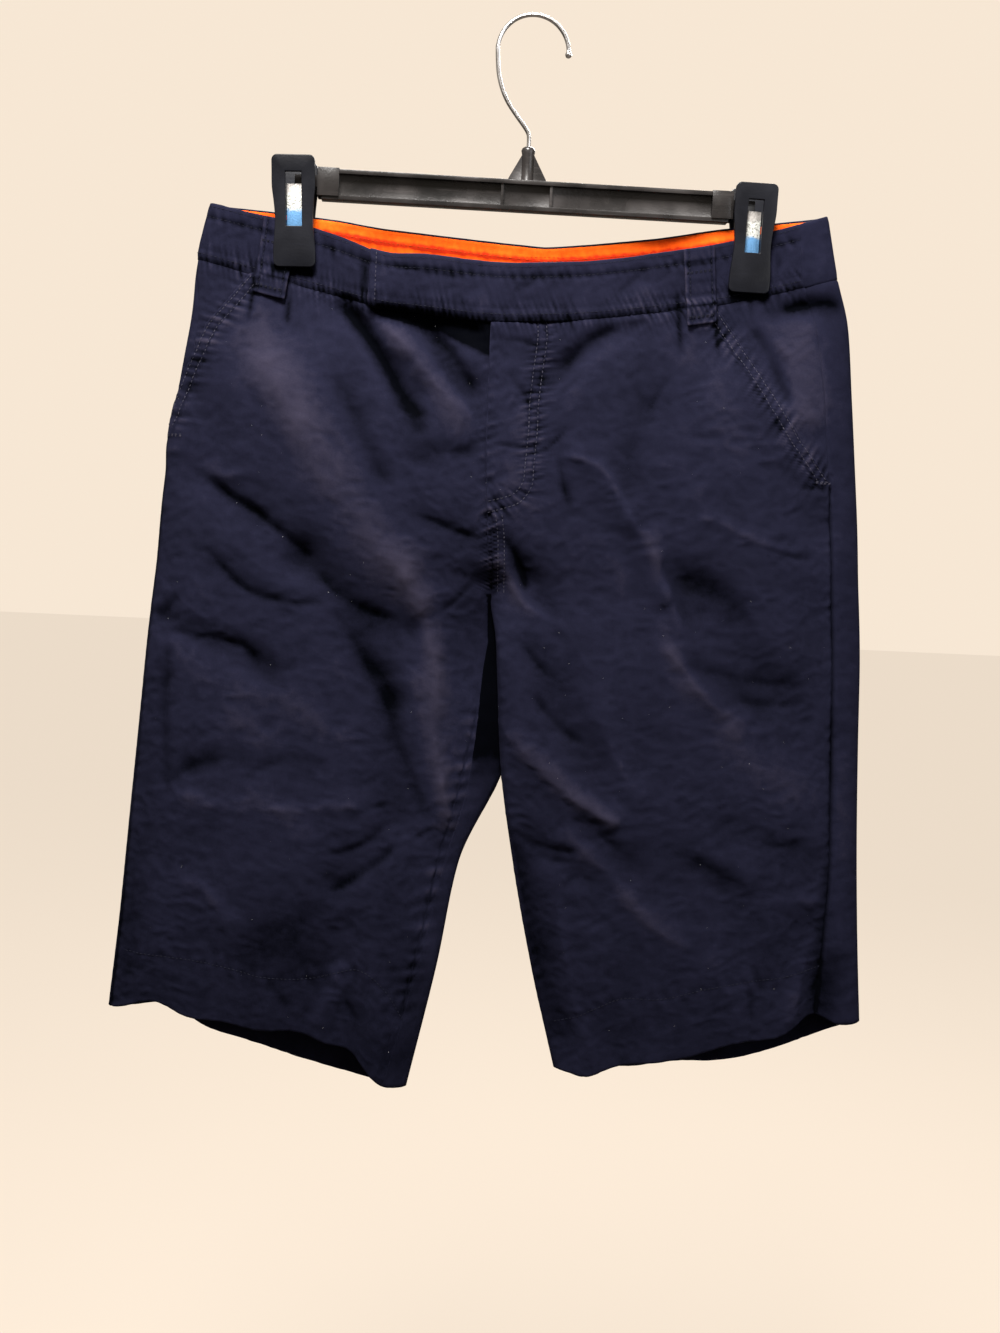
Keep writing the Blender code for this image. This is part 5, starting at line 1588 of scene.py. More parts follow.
@dataclass(frozen=True)
class BlackPlastic:
    """Satin black moulded plastic, slightly scuffed and dusty."""

    name: str = "satin black plastic"
    deep: Colour = (0.0070, 0.0066, 0.0066, 1.0)
    worn: Colour = (0.060, 0.052, 0.050, 1.0)
    rough_low: float = 0.22
    rough_high: float = 0.36
    gloss: float = 0.45
    grain_depth: float = 0.00003

    def make(self, wear: Tree) -> Material:
        """Wire the plastic with its scuffs and its moulded grain.

        Args:
            wear: the shared wear.

        Returns:
            The material.
        """
        wiring = Wiring(self.name)
        worn = wiring.group(wear, wiring.place, Patch_scale=42.0, Mottle_scale=700.0)
        streak = wiring.add("ShaderNodeMapping", Scale=(26.0, 300.0, 420.0), Vector=wiring.place)
        scuffs = wiring.add("ShaderNodeTexNoise", Scale=1.0, Detail=4.0, Roughness=0.6,
                            Vector=streak.outputs["Vector"])
        scuff = wiring.stretched(scuffs.outputs["Fac"], 0.58, 0.74)
        tone = wiring.maths("ADD", wiring.maths("MULTIPLY", worn["Patches"], 0.45),
                            wiring.maths("MULTIPLY", scuff, 0.35))
        wiring.feed(Base_Color=wiring.ramp(tone, (0.0, self.deep), (1.0, self.worn)),
                    Roughness=wiring.scaled(worn["Patches"], self.rough_low, self.rough_high),
                    Specular_IOR_Level=self.gloss)
        wiring.raise_by(worn["Mottle"], self.grain_depth)
        return wiring.material


@dataclass(frozen=True)
class PlatedWire:
    """Bright plated steel wire with faint drawing marks and a duller bloom."""

    bright: Colour = (0.78, 0.78, 0.79, 1.0)
    dull: Colour = (0.52, 0.51, 0.50, 1.0)
    drawn_depth: float = 0.00002

    def make(self, wear: Tree) -> Material:
        """Wire the plated steel.

        Args:
            wear: the shared wear.

        Returns:
            The material.
        """
        wiring = Wiring("bright plated wire")
        worn = wiring.group(wear, wiring.place, Patch_scale=90.0, Mottle_scale=1500.0)
        wiring.feed(Base_Color=wiring.ramp(worn["Patches"], (0.0, self.dull), (0.7, self.bright)),
                    Metallic=1.0, Roughness=wiring.scaled(worn["Mottle"], 0.16, 0.34))
        wiring.raise_by(worn["Mottle"], self.drawn_depth)
        return wiring.material


@dataclass(frozen=True)
class SpringSteel:
    """The clip's leaf spring: plain above, hammered and bright in the middle, blued below."""

    plain: Colour = (0.28, 0.265, 0.25, 1.0)
    bright: Colour = (0.56, 0.57, 0.54, 1.0)
    blued: Colour = (0.12, 0.28, 0.50, 1.0)
    speckle: Colour = (0.20, 0.20, 0.18, 1.0)
    bright_top_z: float = -0.1177
    blued_top_z: float = -0.1281
    soft: float = 0.0010
    hammer_depth: float = 0.00006

    def make(self, wear: Tree) -> Material:
        """Wire the three bands by height, with speckles in the bright one.

        Args:
            wear: the shared wear.

        Returns:
            The material.
        """
        wiring = Wiring("blued spring steel")
        worn = wiring.group(wear, wiring.place, Patch_scale=260.0, Mottle_scale=1100.0)
        height = wiring.add("ShaderNodeSeparateXYZ")
        put(wiring.tree, height.inputs[0], wiring.place)
        wander = wiring.scaled(worn["Patches"], -self.soft, self.soft)
        level = wiring.maths("ADD", height.outputs["Z"], wander)
        speckle = wiring.ramp(worn["Mottle"], (0.25, self.speckle), (0.55, self.bright))
        lower = self.band(wiring, level, self.bright_top_z, self.plain, speckle)
        wiring.feed(Base_Color=self.band(wiring, level, self.blued_top_z, lower, self.blued),
                    Metallic=0.75, Roughness=wiring.scaled(worn["Mottle"], 0.45, 0.65))
        wiring.raise_by(worn["Mottle"], self.hammer_depth)
        return wiring.material

    def band(self, wiring: Wiring, level: Socket, edge: float, above: object,
             below: object) -> Socket:
        """One colour above a height and another below it, with a soft edge.

        Args:
            wiring: the material.
            level: the height of each place.
            edge: the height at which the colours meet.
            above: the colour above it, plain or a socket.
            below: the colour below it, plain or a socket.

        Returns:
            The blended colour.
        """
        step = wiring.stretched(level, edge - self.soft, edge + self.soft)
        mix = wiring.add("ShaderNodeMix", data_type="RGBA", Factor=step)
        put(wiring.tree, mix.inputs[6], below)
        put(wiring.tree, mix.inputs[7], above)
        return mix.outputs[2]


@dataclass
class Finishes:
    """Every material, made once from the shared effects."""

    def __post_init__(self) -> None:
        """Build the shared effects and the materials."""
        weave, wear = twill_weave(), uneven_wear()
        self.twill = Twill().make(weave, wear)
        self.orange = OrangeLining().make(weave, wear)
        self.navy_thread = Thread("navy thread", (0.004, 0.005, 0.012, 1.0),
                                  (0.016, 0.016, 0.028, 1.0)).make()
        self.worn_thread = Thread("worn thread", (0.020, 0.020, 0.034, 1.0),
                                  (0.090, 0.085, 0.115, 1.0)).make()
        self.lint = Thread("pale lint", (0.30, 0.30, 0.32, 1.0), (0.60, 0.60, 0.60, 1.0)).make()
        self.rust_thread = Thread("rust thread", (0.22, 0.020, 0.002, 1.0),
                                  (0.50, 0.075, 0.006, 1.0)).make()
        self.plastic = BlackPlastic().make(wear)
        self.clip_plastic = BlackPlastic(
            "satin clip plastic", deep=(0.0050, 0.0054, 0.0075, 1.0),
            worn=(0.012, 0.013, 0.019, 1.0), rough_low=0.34, rough_high=0.46, gloss=0.18).make(wear)
        self.wire = PlatedWire().make(wear)
        self.spring = SpringSteel().make(wear)


# ---------------------------------------------------------------- cloth pieces
Columns = Callable[[float], list[tuple[Side, Array]]]
Size = Callable[[Array, float], Array]


def even(value: float) -> Size:
    """A size that is the same at every point."""
    return lambda points, level: np.full(len(points), float(value))


@dataclass
class ClothPiece:
    """A thin closed shell of cloth on the garment's surface, with folded edges.

    columns gives the side and shares of each column at a level, lift how far the outer face stands
    off the surface and wall how thick the cloth is. relief_share is how much of the fine relief it
    takes, and shade_at adds painted light and shade. edge_shade paints a highlight along the rim and
    inside_shade paints shade on the inner face.
    """

    name: str
    levels: Array
    columns: Columns
    lift: Size
    wall: Size
    relief_share: float = 1.0
    edge_shade: float = 0.35
    shade_at: Size = even(0.0)
    inside_shade: float = -0.3

    def build(self, surface: GarmentSurface, relief: Relief, material: Material) -> Object:
        """Make the piece's mesh and give it its cloth.

        Args:
            surface: the garment's surface.
            relief: the fine relief of the cloth.
            material: the cloth.

        Returns:
            The piece.
        """
        rows = [self.row(surface, float(level)) for level in self.levels]
        joined = (np.concatenate(parts) for parts in zip(*rows))
        points, facing, normals, lift, wall, shades = joined
        height, shade = relief.at(points, facing)
        stand = lift + self.relief_share * height
        shape = (len(rows), -1, 3)
        self.outer = (points + normals * stand[:, None]).reshape(shape)
        self.inner = (points + normals * (stand - wall)[:, None]).reshape(shape)
        return self.closed((shade + shades).reshape(shape[:2]), material)

    def row(self, surface: GarmentSurface, level: float) -> tuple[Array, ...]:
        """One level's points, facing, normals, lift, wall and own shade.

        Args:
            surface: the garment's surface.
            level: the level.

        Returns:
            One array of each.
        """
        found = [(*surface.place(side, level, shares), surface.normals(side, level, shares))
                 for side, shares in self.columns(level)]
        points, facing, normals = (np.concatenate(parts) for parts in zip(*found))
        sizes = [size(points, level) for size in (self.lift, self.wall, self.shade_at)]
        return points, facing, normals, *sizes

    def closed(self, shades: Array, material: Material) -> Object:
        """Join both faces by a rounded rim and map the cloth in metres.

        Args:
            shades: how much light or shade is painted on the outer face at each of its points.
            material: the cloth.

        Returns:
            The piece.
        """
        rows, columns = self.outer.shape[:2]
        count = rows * columns
        flat_outer, flat_inner = self.outer.reshape(-1, 3), self.inner.reshape(-1, 3)
        rim = rim_of(rows, columns)
        middle = 0.5 * (flat_outer[rim] + flat_inner[rim]) + self.outwards(rim)
        places = np.vstack((flat_outer, flat_inner, middle)) * METRES
        ring = 2 * count + np.arange(len(rim))
        after = np.roll(np.arange(len(rim)), -1)
        faces = np.vstack((
            grid_faces(rows, columns, 0),
            grid_faces(rows, columns, count)[:, ::-1],
            np.column_stack((rim, ring, ring[after], rim[after])),
            np.column_stack((ring, count + rim, count + rim[after], ring[after])),
        ))
        across = np.linalg.norm(np.diff(self.outer, axis=1), axis=2)
        down = np.linalg.norm(np.diff(self.outer, axis=0), axis=2).mean(axis=1)
        u = np.hstack((np.zeros((rows, 1)), np.cumsum(across, axis=1)))
        u -= u[:, columns // 2][:, None]
        v = np.concatenate(([0.0], np.cumsum(down)))
        uv = np.column_stack((u.ravel(), np.repeat(-v, columns))) * METRES
        uvs = np.vstack((uv, uv, uv[rim]))
        flat = shades.ravel().copy()
        # painted highlight along the rim, painted shade over the inner face
        edge = flat[rim] + self.edge_shade
        flat[rim] += 0.5 * self.edge_shade
        tones = np.concatenate((flat, flat + self.inside_shade, edge))
        piece = mesh_object(f"{self.name}_cloth", places, faces, uvs, tones)
        piece.data.materials.append(material)
        return piece

    def outwards(self, rim: Array) -> Array:
        """How far the middle of the rim bulges past the edge at each of its vertices.

        Args:
            rim: the numbers of the rim's vertices.

        Returns:
            One step in millimetres for each of them.
        """
        shape = self.outer.shape[:2]
        way = np.zeros(shape + (3,))
        for axis in (0, 1):
            outer, moved = np.moveaxis(self.outer, axis, 0), np.moveaxis(way, axis, 0)
            for edge, neighbour in ((0, 1), (-1, -2)):
                step = outer[edge] - outer[neighbour]
                moved[edge] += step / np.maximum(np.linalg.norm(step, axis=1)[:, None], 1e-9)
        flat = way.reshape(-1, 3)[rim]
        flat /= np.maximum(np.linalg.norm(flat, axis=1)[:, None], 1e-9)
        thick = np.linalg.norm((self.outer - self.inner).reshape(-1, 3)[rim], axis=1)
        return flat * 0.4 * thick[:, None]

    def area(self) -> float:
        """The outer face's area in square metres."""
        across = np.diff(self.outer, axis=1)[:-1]
        down = np.diff(self.outer, axis=0)[:, :-1]
        return float(np.linalg.norm(np.cross(across, down), axis=2).sum()) * METRES ** 2

    def tree(self) -> BVHTree:
        """The outer face as a tree that lines can be laid on, in millimetres."""
        return tree_of_grid(self.outer)


def through(stops: Sequence[float], steps: Sequence[int]) -> Array:
    """Shares through all the stops, in a number of steps from each to the next, finer near them.

    Args:
        stops: the shares to pass through.
        steps: the number of steps from each stop to the next.

    Returns:
        The shares.
    """
    shares = []
    for start, end, count in zip(stops, stops[1:], steps):
        t = np.arange(count) / count
        shares.append(start + (end - start) * (t - 0.3 * np.sin(2.0 * np.pi * t) / (2.0 * np.pi)))
    return np.concatenate(shares + [np.array(stops[-1:])])


@dataclass(frozen=True)
class BeltLoop:
    """A belt loop on one face, with its middle at top_x on the band's top edge and foot_x below."""

    name: str
    face: Face
    top_x: float
    foot_x: float
    width: float = 20.0
    cloth: float = 1.2
    stand: float = 0.8
    below_band: float = 13.0
    band_height: float = 34.0


BELT_LOOPS = (
    BeltLoop("belt_loop_front_right", FRONT, -154.0, -160.0),
    BeltLoop("belt_loop_front_left", FRONT, 111.0, 115.0),
    BeltLoop("belt_loop_back_right", BACK, -112.0, -112.0),
    BeltLoop("belt_loop_back_left", BACK, 118.0, 118.0),
    BeltLoop("belt_loop_back_centre", BACK, 25.0, 25.0),
)


@dataclass
class Shorts:
    """The garment: fronts, backs, pocket facings, bands, facings and belt loops."""

    surface: GarmentSurface
    relief: Relief
    finishes: Finishes
    twill: float = 0.9
    hem_extra: float = 0.9
    hem_deep: float = 1.0
    lap: float = 1.75
    fly_underlap: float = 10.0
    fly_end_z: float = -312.0
    lap_flat: float = 14.0
    lap_ramp: float = 36.0
    pocket_underlap: float = 10.0
    pocket_inset: float = 0.6
    pocket_flat: tuple[tuple[float, float], tuple[float, float]] = ((0.047, 0.080), (0.090, 0.120))
    tab_end_x: float = -95.5
    tab_stand: float = 0.5
    tab_cloth: float = 2.2
    tab_ramp: tuple[float, float] = (12.0, 45.0)
    band_cloth: float = 1.3
    underlap_x: float = 10.0
    facing_cloth: float = 0.8
    gap: float = 0.3
    front_step: float = 1.5
    back_step: float = 2.6
    deep_shade: float = -3.2
    tab_shadow: tuple[Sequence[float], Sequence[float]] = (
        (-99.0, -92.0, -50.0, -36.0, -20.0), (0.0, 4.5, 10.0, 17.0, 24.0))
    band_step: float = 1.5
    pieces: dict[str, ClothPiece] = field(default_factory=dict)

    def build(self) -> None:
        """Make every piece of cloth."""
        for side in BOTH_SIDES:
            self.front(side)
            self.back(side)
            self.pocket_facing(side)
        self.bands()
        self.facings()
        for loop in BELT_LOOPS:
            self.belt_loop(loop)

    def finish(self, piece: ClothPiece, slot: Slot, flat: tuple[float, float], share: float) -> None:
        """Args:
            piece: the piece to build.
            slot: the material slot.
            flat: width and length of the cloth it is cut from, in metres.
            share: the part of that rectangle that the cut fills.
        """
        cloth = self.finishes.twill if slot is Slot.TWILL else self.finishes.orange
        made = piece.build(self.surface, self.relief, cloth)
        replace_node(made, slot, piece.name)
        area = share * flat[0] * flat[1]
        LOG.info("%s: %.4f square metres of %.4f", piece.name, piece.area(), area)
        self.pieces[piece.name] = piece

    def edge_dip(self, points: Array, edge: Array) -> Array:
        """How far cloth rolls inwards next to a sewn edge."""
        return -0.7 * bump(np.linalg.norm(points - edge, axis=1), 1.6)

    def hem_wall(self, points: Array, level: float) -> Array:
        """The cloth's thickness, doubled where the hem is turned up."""
        turned = float(smoothstep(HEM - self.hem_deep, HEM - self.hem_deep + 0.06, level))
        return np.full(len(points), self.twill + self.hem_extra * turned)

    def fall(self, level: float) -> float:
        """How far a level lies below the band's seam, in millimetres."""
        return self.surface.height(BAND_SEAM) - self.surface.height(level)

    def seam_dips(self, side: Side, level: float, points: Array, sewn: bool) -> Array:
        """The roll of a panel's cloth into its band seam and its side seam.

        Args:
            side: the wearer's side.
            level: the level.
            points: the panel's points at the level.
            sewn: whether the panel reaches the side seam there.

        Returns:
            How far each point stands off the surface.
        """
        fall = self.fall(level) if level > BAND_SEAM else 0.0
        dip = np.full(len(points), -0.8 * math.exp(-(fall / 1.8) ** 2))
        if sewn:
            seam = self.surface.side_seam(side, level)
            dip += self.edge_dip(points, self.surface.point(side, level, seam))
        return dip

    def mouth_lift(self, side: Side, level: float, points: Array) -> Array:
        """How far a front stands off the pocket facing near the mouth.

        Args:
            side: the wearer's side.
            level: the level.
            points: the points at the level.

        Returns:
            The lift of each point.
        """
        edge = self.surface.front_edge(side, level)
        edge_point = self.surface.point(side, level, edge)
        inside = np.linalg.norm((points - edge_point)[:, :2], axis=1)
        foot = POCKET_MOUTH[side][-1].z
        open_here = float(smoothstep(foot - 24.0, foot - 2.0, edge_point[2]))
        return self.lap * smoothstep(self.lap_ramp, self.lap_flat, inside) * open_here

    def fly_lift(self, points: Array, edge_x: float) -> Array:
        """How far the left front stands off the right one near the fly's edge."""
        near = smoothstep(self.lap_ramp, self.lap_flat, np.abs(points[:, 0] - edge_x))
        above_end = smoothstep(self.fly_end_z - 34.0, self.fly_end_z - 12.0, points[:, 2])
        return self.lap * near * above_end

    def front(self, side: Side) -> None:
        """A front, from the fly and inseam to the pocket mouth and side seam.

        Args:
            side: the wearer's side.
        """
        surface = self.surface

        def columns(level: float) -> list[tuple[Side, Array]]:
            """The front's columns, run on under the fly on the wearer's right.

            Args:
                level: the level.

            Returns:
                The columns.
            """
            edge = surface.front_edge(side, level)
            stops = (edge, max(0.0, edge + 0.015), surface.inner_fold(side, level, FRONT), 1.0)
            shares = through(stops, (6, 94, 12))
            if side is RIGHT:
                centre = surface.section(side, level)
                lapped = smoothstep(self.fly_end_z, self.fly_end_z + 20.0, centre.front_z)
                under = self.fly_underlap * float(lapped)
                if under > 0.5:
                    far = surface.share_at(LEFT, FRONT, level, centre.front_x + under)
                    beyond = np.linspace(1.0, far, 4)[1:]
                    return [(side, np.concatenate((shares[:-4], [1.0]))), (LEFT, beyond)]
            return [(side, shares)]

        def lift(points: Array, level: float) -> Array:
            """The front's laps and seam rolls.

            Args:
                points: the points at the level.
                level: the level.

            Returns:
                The lift of each point.
            """
            stand = self.mouth_lift(side, level, points)
            sewn = surface.pocket_mouth(side, level) is None
            stand += self.seam_dips(side, level, points, sewn)
            if side is LEFT:
                stand += self.fly_lift(points, surface.section(side, level).front_x)
            return stand

        def shade(points: Array, level: float) -> Array:
            """The deep shadows on the right front: under the tab, and between the legs.

            Args:
                points: the points at the level.
                level: the level.

            Returns:
                The shade of each point.
            """
            x, z = points[:, 0], points[:, 2]
            if side is LEFT:
                return np.zeros(len(points))
            if level > CROTCH:
                edge = np.interp(z, (-392.0, -362.0), (-10.8, -12.2))
                inside = smoothstep(-0.8, 0.2, x - edge) * smoothstep(-398.0, -390.0, z)
                return self.deep_shade * inside
            depth = np.interp(x, *self.tab_shadow)
            shadow = smoothstep(depth + 2.0, 0.6 * depth, self.fall(level))
            return self.deep_shade * shadow * smoothstep(-101.0, -95.0, x)

        name = f"front_{side.word}"
        levels = surface.levels(BAND_SEAM, HEM, self.front_step)
        piece = ClothPiece(name, levels, columns, lift, self.hem_wall, shade_at=shade)
        self.finish(piece, Slot.TWILL, (0.30, 0.56), 0.68)

    def back(self, side: Side) -> None:
        """A back, from the side seam round the side fold to the centre back and inseam.

        Args:
            side: the wearer's side.
        """
        surface = self.surface

        def columns(level: float) -> list[tuple[Side, Array]]:
            """The back's columns."""
            seam = surface.side_seam(side, level)
            stops = (seam, min(0.0, seam - 0.015), surface.inner_fold(side, level, BACK), -1.0)
            return [(side, through(stops, (10, 72, 12)))]

        def lift(points: Array, level: float) -> Array:
            """The back's seam rolls."""
            return self.seam_dips(side, level, points, sewn=True)

        def shade(points: Array, level: float) -> Array:
            """The deep shadow between the legs, below the crotch."""
            ahead = points[:, 1] < surface.section(side, level).inner_y + 1.5
            inside = ahead & (np.abs(points[:, 0]) < 60.0)
            between = float(smoothstep(5.9, 6.1, level) * smoothstep(9.4, 8.3, level))
            return np.where(inside, self.deep_shade * between, 0.0)

        levels = surface.levels(BAND_SEAM, HEM, self.back_step)
        piece = ClothPiece(f"back_{side.word}", levels, columns, lift, self.hem_wall,
                           edge_shade=0.2, shade_at=shade)
        self.finish(piece, Slot.TWILL, (0.34, 0.58), 0.68)

    def pocket_facing(self, side: Side) -> None:
        """The cloth inside the pocket mouth, from the side seam to just under the front.

        Args:
            side: the wearer's side.
        """
        surface = self.surface
        levels = surface.levels(BAND_SEAM, self.relief.mouth_foot(side), self.front_step)

        def columns(level: float) -> list[tuple[Side, Array]]:
            """The facing's columns."""
            length = surface.row(side, level)[0][-1]
            far = surface.pocket_mouth(side, level) + self.pocket_underlap / length
            return [(side, np.linspace(surface.side_seam(side, level), far, 34))]

        piece = ClothPiece(f"pocket_facing_{side.word}", levels, columns,
                           even(-self.pocket_inset), even(self.twill), edge_shade=0.0)
        self.finish(piece, Slot.TWILL, self.pocket_flat[side is LEFT], 0.62)

    def band_lift(self, points: Array) -> Array:
        """How far the left band stands off: over the right one, then down on its own."""
        lapped = smoothstep(self.tab_ramp[1], self.tab_ramp[0], points[:, 0])
        loose_end = smoothstep(self.tab_end_x + 45.0, self.tab_end_x, points[:, 0])
        return (self.tab_stand + self.tab_cloth) * lapped + 1.5 * loose_end

    def band_wall(self, points: Array, level: float) -> Array:
        """The tab is two cloths thick, and the band beyond it one."""
        lapped = smoothstep(self.tab_ramp[1], self.tab_ramp[0], points[:, 0])
        return self.band_cloth + (self.tab_cloth - self.band_cloth) * lapped

    def pillow(self, level: float) -> float:
        """The soft crown of a folded band between its stitched edges."""
        return 0.35 * float(smoothstep(0.0, 0.1, level) * smoothstep(1.0, 0.9, level)) - 0.2

    def bands(self) -> None:
        """The right front band, the left front band with its tab, and the back band."""
        surface = self.surface
        levels = surface.levels(WAIST, BAND_SEAM + 0.02, self.band_step)

        def right_columns(level: float) -> list[tuple[Side, Array]]:
            """From the side seam to the hidden end under the left band."""
            far = surface.share_at(LEFT, FRONT, level, self.underlap_x)
            return [(RIGHT, np.linspace(surface.side_seam(RIGHT, level), 1.0, 124)),
                    (LEFT, np.linspace(1.0, far, 14)[1:])]

        def left_columns(level: float) -> list[tuple[Side, Array]]:
            """From the side seam over the fly to the tab's free end."""
            end = surface.share_at(RIGHT, FRONT, level, self.tab_end_x)
            return [(LEFT, np.linspace(surface.side_seam(LEFT, level), 1.0, 130)),
                    (RIGHT, np.linspace(1.0, end, 54)[1:])]

        def left_lift(points: Array, level: float) -> Array:
            """The left band's lap, with its soft crown."""
            return self.band_lift(points) + self.pillow(level)

        def plain_lift(points: Array, level: float) -> Array:
            """A band that lies on the surface, with its soft crown."""
            return np.full(len(points), self.pillow(level))

        wall = even(self.band_cloth)
        right = ClothPiece("waistband_front_right", levels, right_columns, plain_lift, wall)
        self.finish(right, Slot.TWILL, (0.24, 0.045), 0.82)
        left = ClothPiece("waistband_front_left", levels, left_columns, left_lift, self.band_wall)
        self.finish(left, Slot.TWILL, (0.31, 0.045), 0.82)
        back = ClothPiece("waistband_back", levels, self.back_columns, plain_lift, wall)
        self.finish(back, Slot.TWILL, (0.46, 0.045), 0.80)

    def back_columns(self, level: float) -> list[tuple[Side, Array]]:
        """The columns round the back, from side seam to side seam."""
        stops = (-1.0, 0.0, self.surface.side_seam(LEFT, level))
        return [(RIGHT, np.linspace(self.surface.side_seam(RIGHT, level), -1.0, 120)),
                (LEFT, through(stops, (108, 14))[1:])]

    def facings(self) -> None:
        """The orange facings on the inside of the bands."""
        surface = self.surface
        levels = surface.levels(0.03, 0.96, self.band_step)
        behind = even(-(self.band_cloth + self.gap))

        def right_columns(level: float) -> list[tuple[Side, Array]]:
            """From the right side seam to under the fly."""
            far = surface.share_at(LEFT, FRONT, level, self.underlap_x)
            return [(RIGHT, np.linspace(surface.side_seam(RIGHT, level), 1.0, 100)),
                    (LEFT, np.linspace(1.0, far, 8)[1:])]

        def left_columns(level: float) -> list[tuple[Side, Array]]:
            """From the left side seam to the fly."""
            near = surface.share_at(LEFT, FRONT, level, self.underlap_x + 3.0)
            return [(LEFT, np.linspace(surface.side_seam(LEFT, level), near, 100))]

        def left_lift(points: Array, level: float) -> Array:
            """The left facing follows the inside of its band."""
            return self.band_lift(points) - self.band_wall(points, level) - self.gap

        def sewn_fold(points: Array, level: float) -> Array:
            """Painted shade along the line where the facing is sewn, and painted light above it."""
            line = -1.5 * float(bump(level - 0.235, 0.035)) + 0.5 * float(bump(level - 0.12, 0.09))
            return np.full(len(points), line)

        for name, columns, lift, width in (("facing_front_right", right_columns, behind, 0.24),
                                           ("facing_front_left", left_columns, left_lift, 0.21),
                                           ("facing_back", self.back_columns, behind, 0.46)):
            piece = ClothPiece(name, levels, columns, lift, even(self.facing_cloth),
                               relief_share=0.8, edge_shade=0.3, shade_at=sewn_fold)
            self.finish(piece, Slot.FACING, (width, 0.042), 0.80)

    def belt_loop(self, loop: BeltLoop) -> None:
        """A belt loop, made from the points of the band and panel under it, moved out.

        Args:
            loop: the loop.
        """
        surface = self.surface
        side = LEFT if loop.top_x > 0 else RIGHT
        foot = BAND_SEAM + loop.below_band / loop.band_height
        levels = np.linspace(0.01, foot, 40)

        def middle(level: float) -> float:
            """The loop's middle at a level."""
            return loop.top_x + (loop.foot_x - loop.top_x) * level / foot

        def from_middle(points: Array, level: float) -> Array:
            """How far points lie from the loop's middle, in half widths."""
            return np.abs(points[:, 0] - middle(level)) / (loop.width / 2)

        def columns(level: float) -> list[tuple[Side, Array]]:
            """The loop's width at a level."""
            edges = middle(level) - loop.width / 2, middle(level) + loop.width / 2
            places = np.linspace(*edges, 17)
            return [(side, np.array([surface.share_at(side, loop.face, level, x) for x in places]))]

        def lift(points: Array, level: float) -> Array:
            """The loop stands off the band, bows out between its tacks and has rolled edges.

            Args:
                points: the points at the level.
                level: the level.

            Returns:
                The lift of each point.
            """
            over_front = self.lap * float(smoothstep(0.8, 1.0, level))
            bow = 0.9 * math.sin(math.pi * min(1.0, level / foot)) ** 0.7
            aside = from_middle(points, level)
            rolled = 0.35 * smoothstep(0.55, 0.8, aside) * smoothstep(1.02, 0.9, aside)
            tack = -0.5 * (bump(level - 0.27, 0.05) + bump(level - (foot - 0.10), 0.05))
            return loop.stand + loop.cloth + over_front + bow + rolled + tack

        def shade_at(points: Array, level: float) -> Array:
            """Painted shade across the tacks, where the loop turns in and along a few creases
            between, and painted light near its top, on its edges and a little over all of it.

            Args:
                points: the points at the level.
                level: the level.

            Returns:
                The shade of each point.
            """
            across = -0.9 * bump(level - 0.29, 0.035) - 0.7 * bump(level - (foot - 0.09), 0.03)
            between = -0.5 * bump(level - 0.56, 0.04) - 0.35 * bump(level - 0.80, 0.03)
            across += between + 0.3 * bump(level - 0.18, 0.08)
            aside = from_middle(points, level)
            edges = 0.6 * bump(aside - 0.95, 0.06) - 0.8 * bump(aside - 0.76, 0.05)
            return float(across) + 0.25 + edges

        piece = ClothPiece(loop.name, levels, columns, lift, even(loop.cloth),
                           relief_share=0.35, edge_shade=0.5, shade_at=shade_at)
        self.finish(piece, Slot.TWILL, (0.021, 0.052), 0.95)


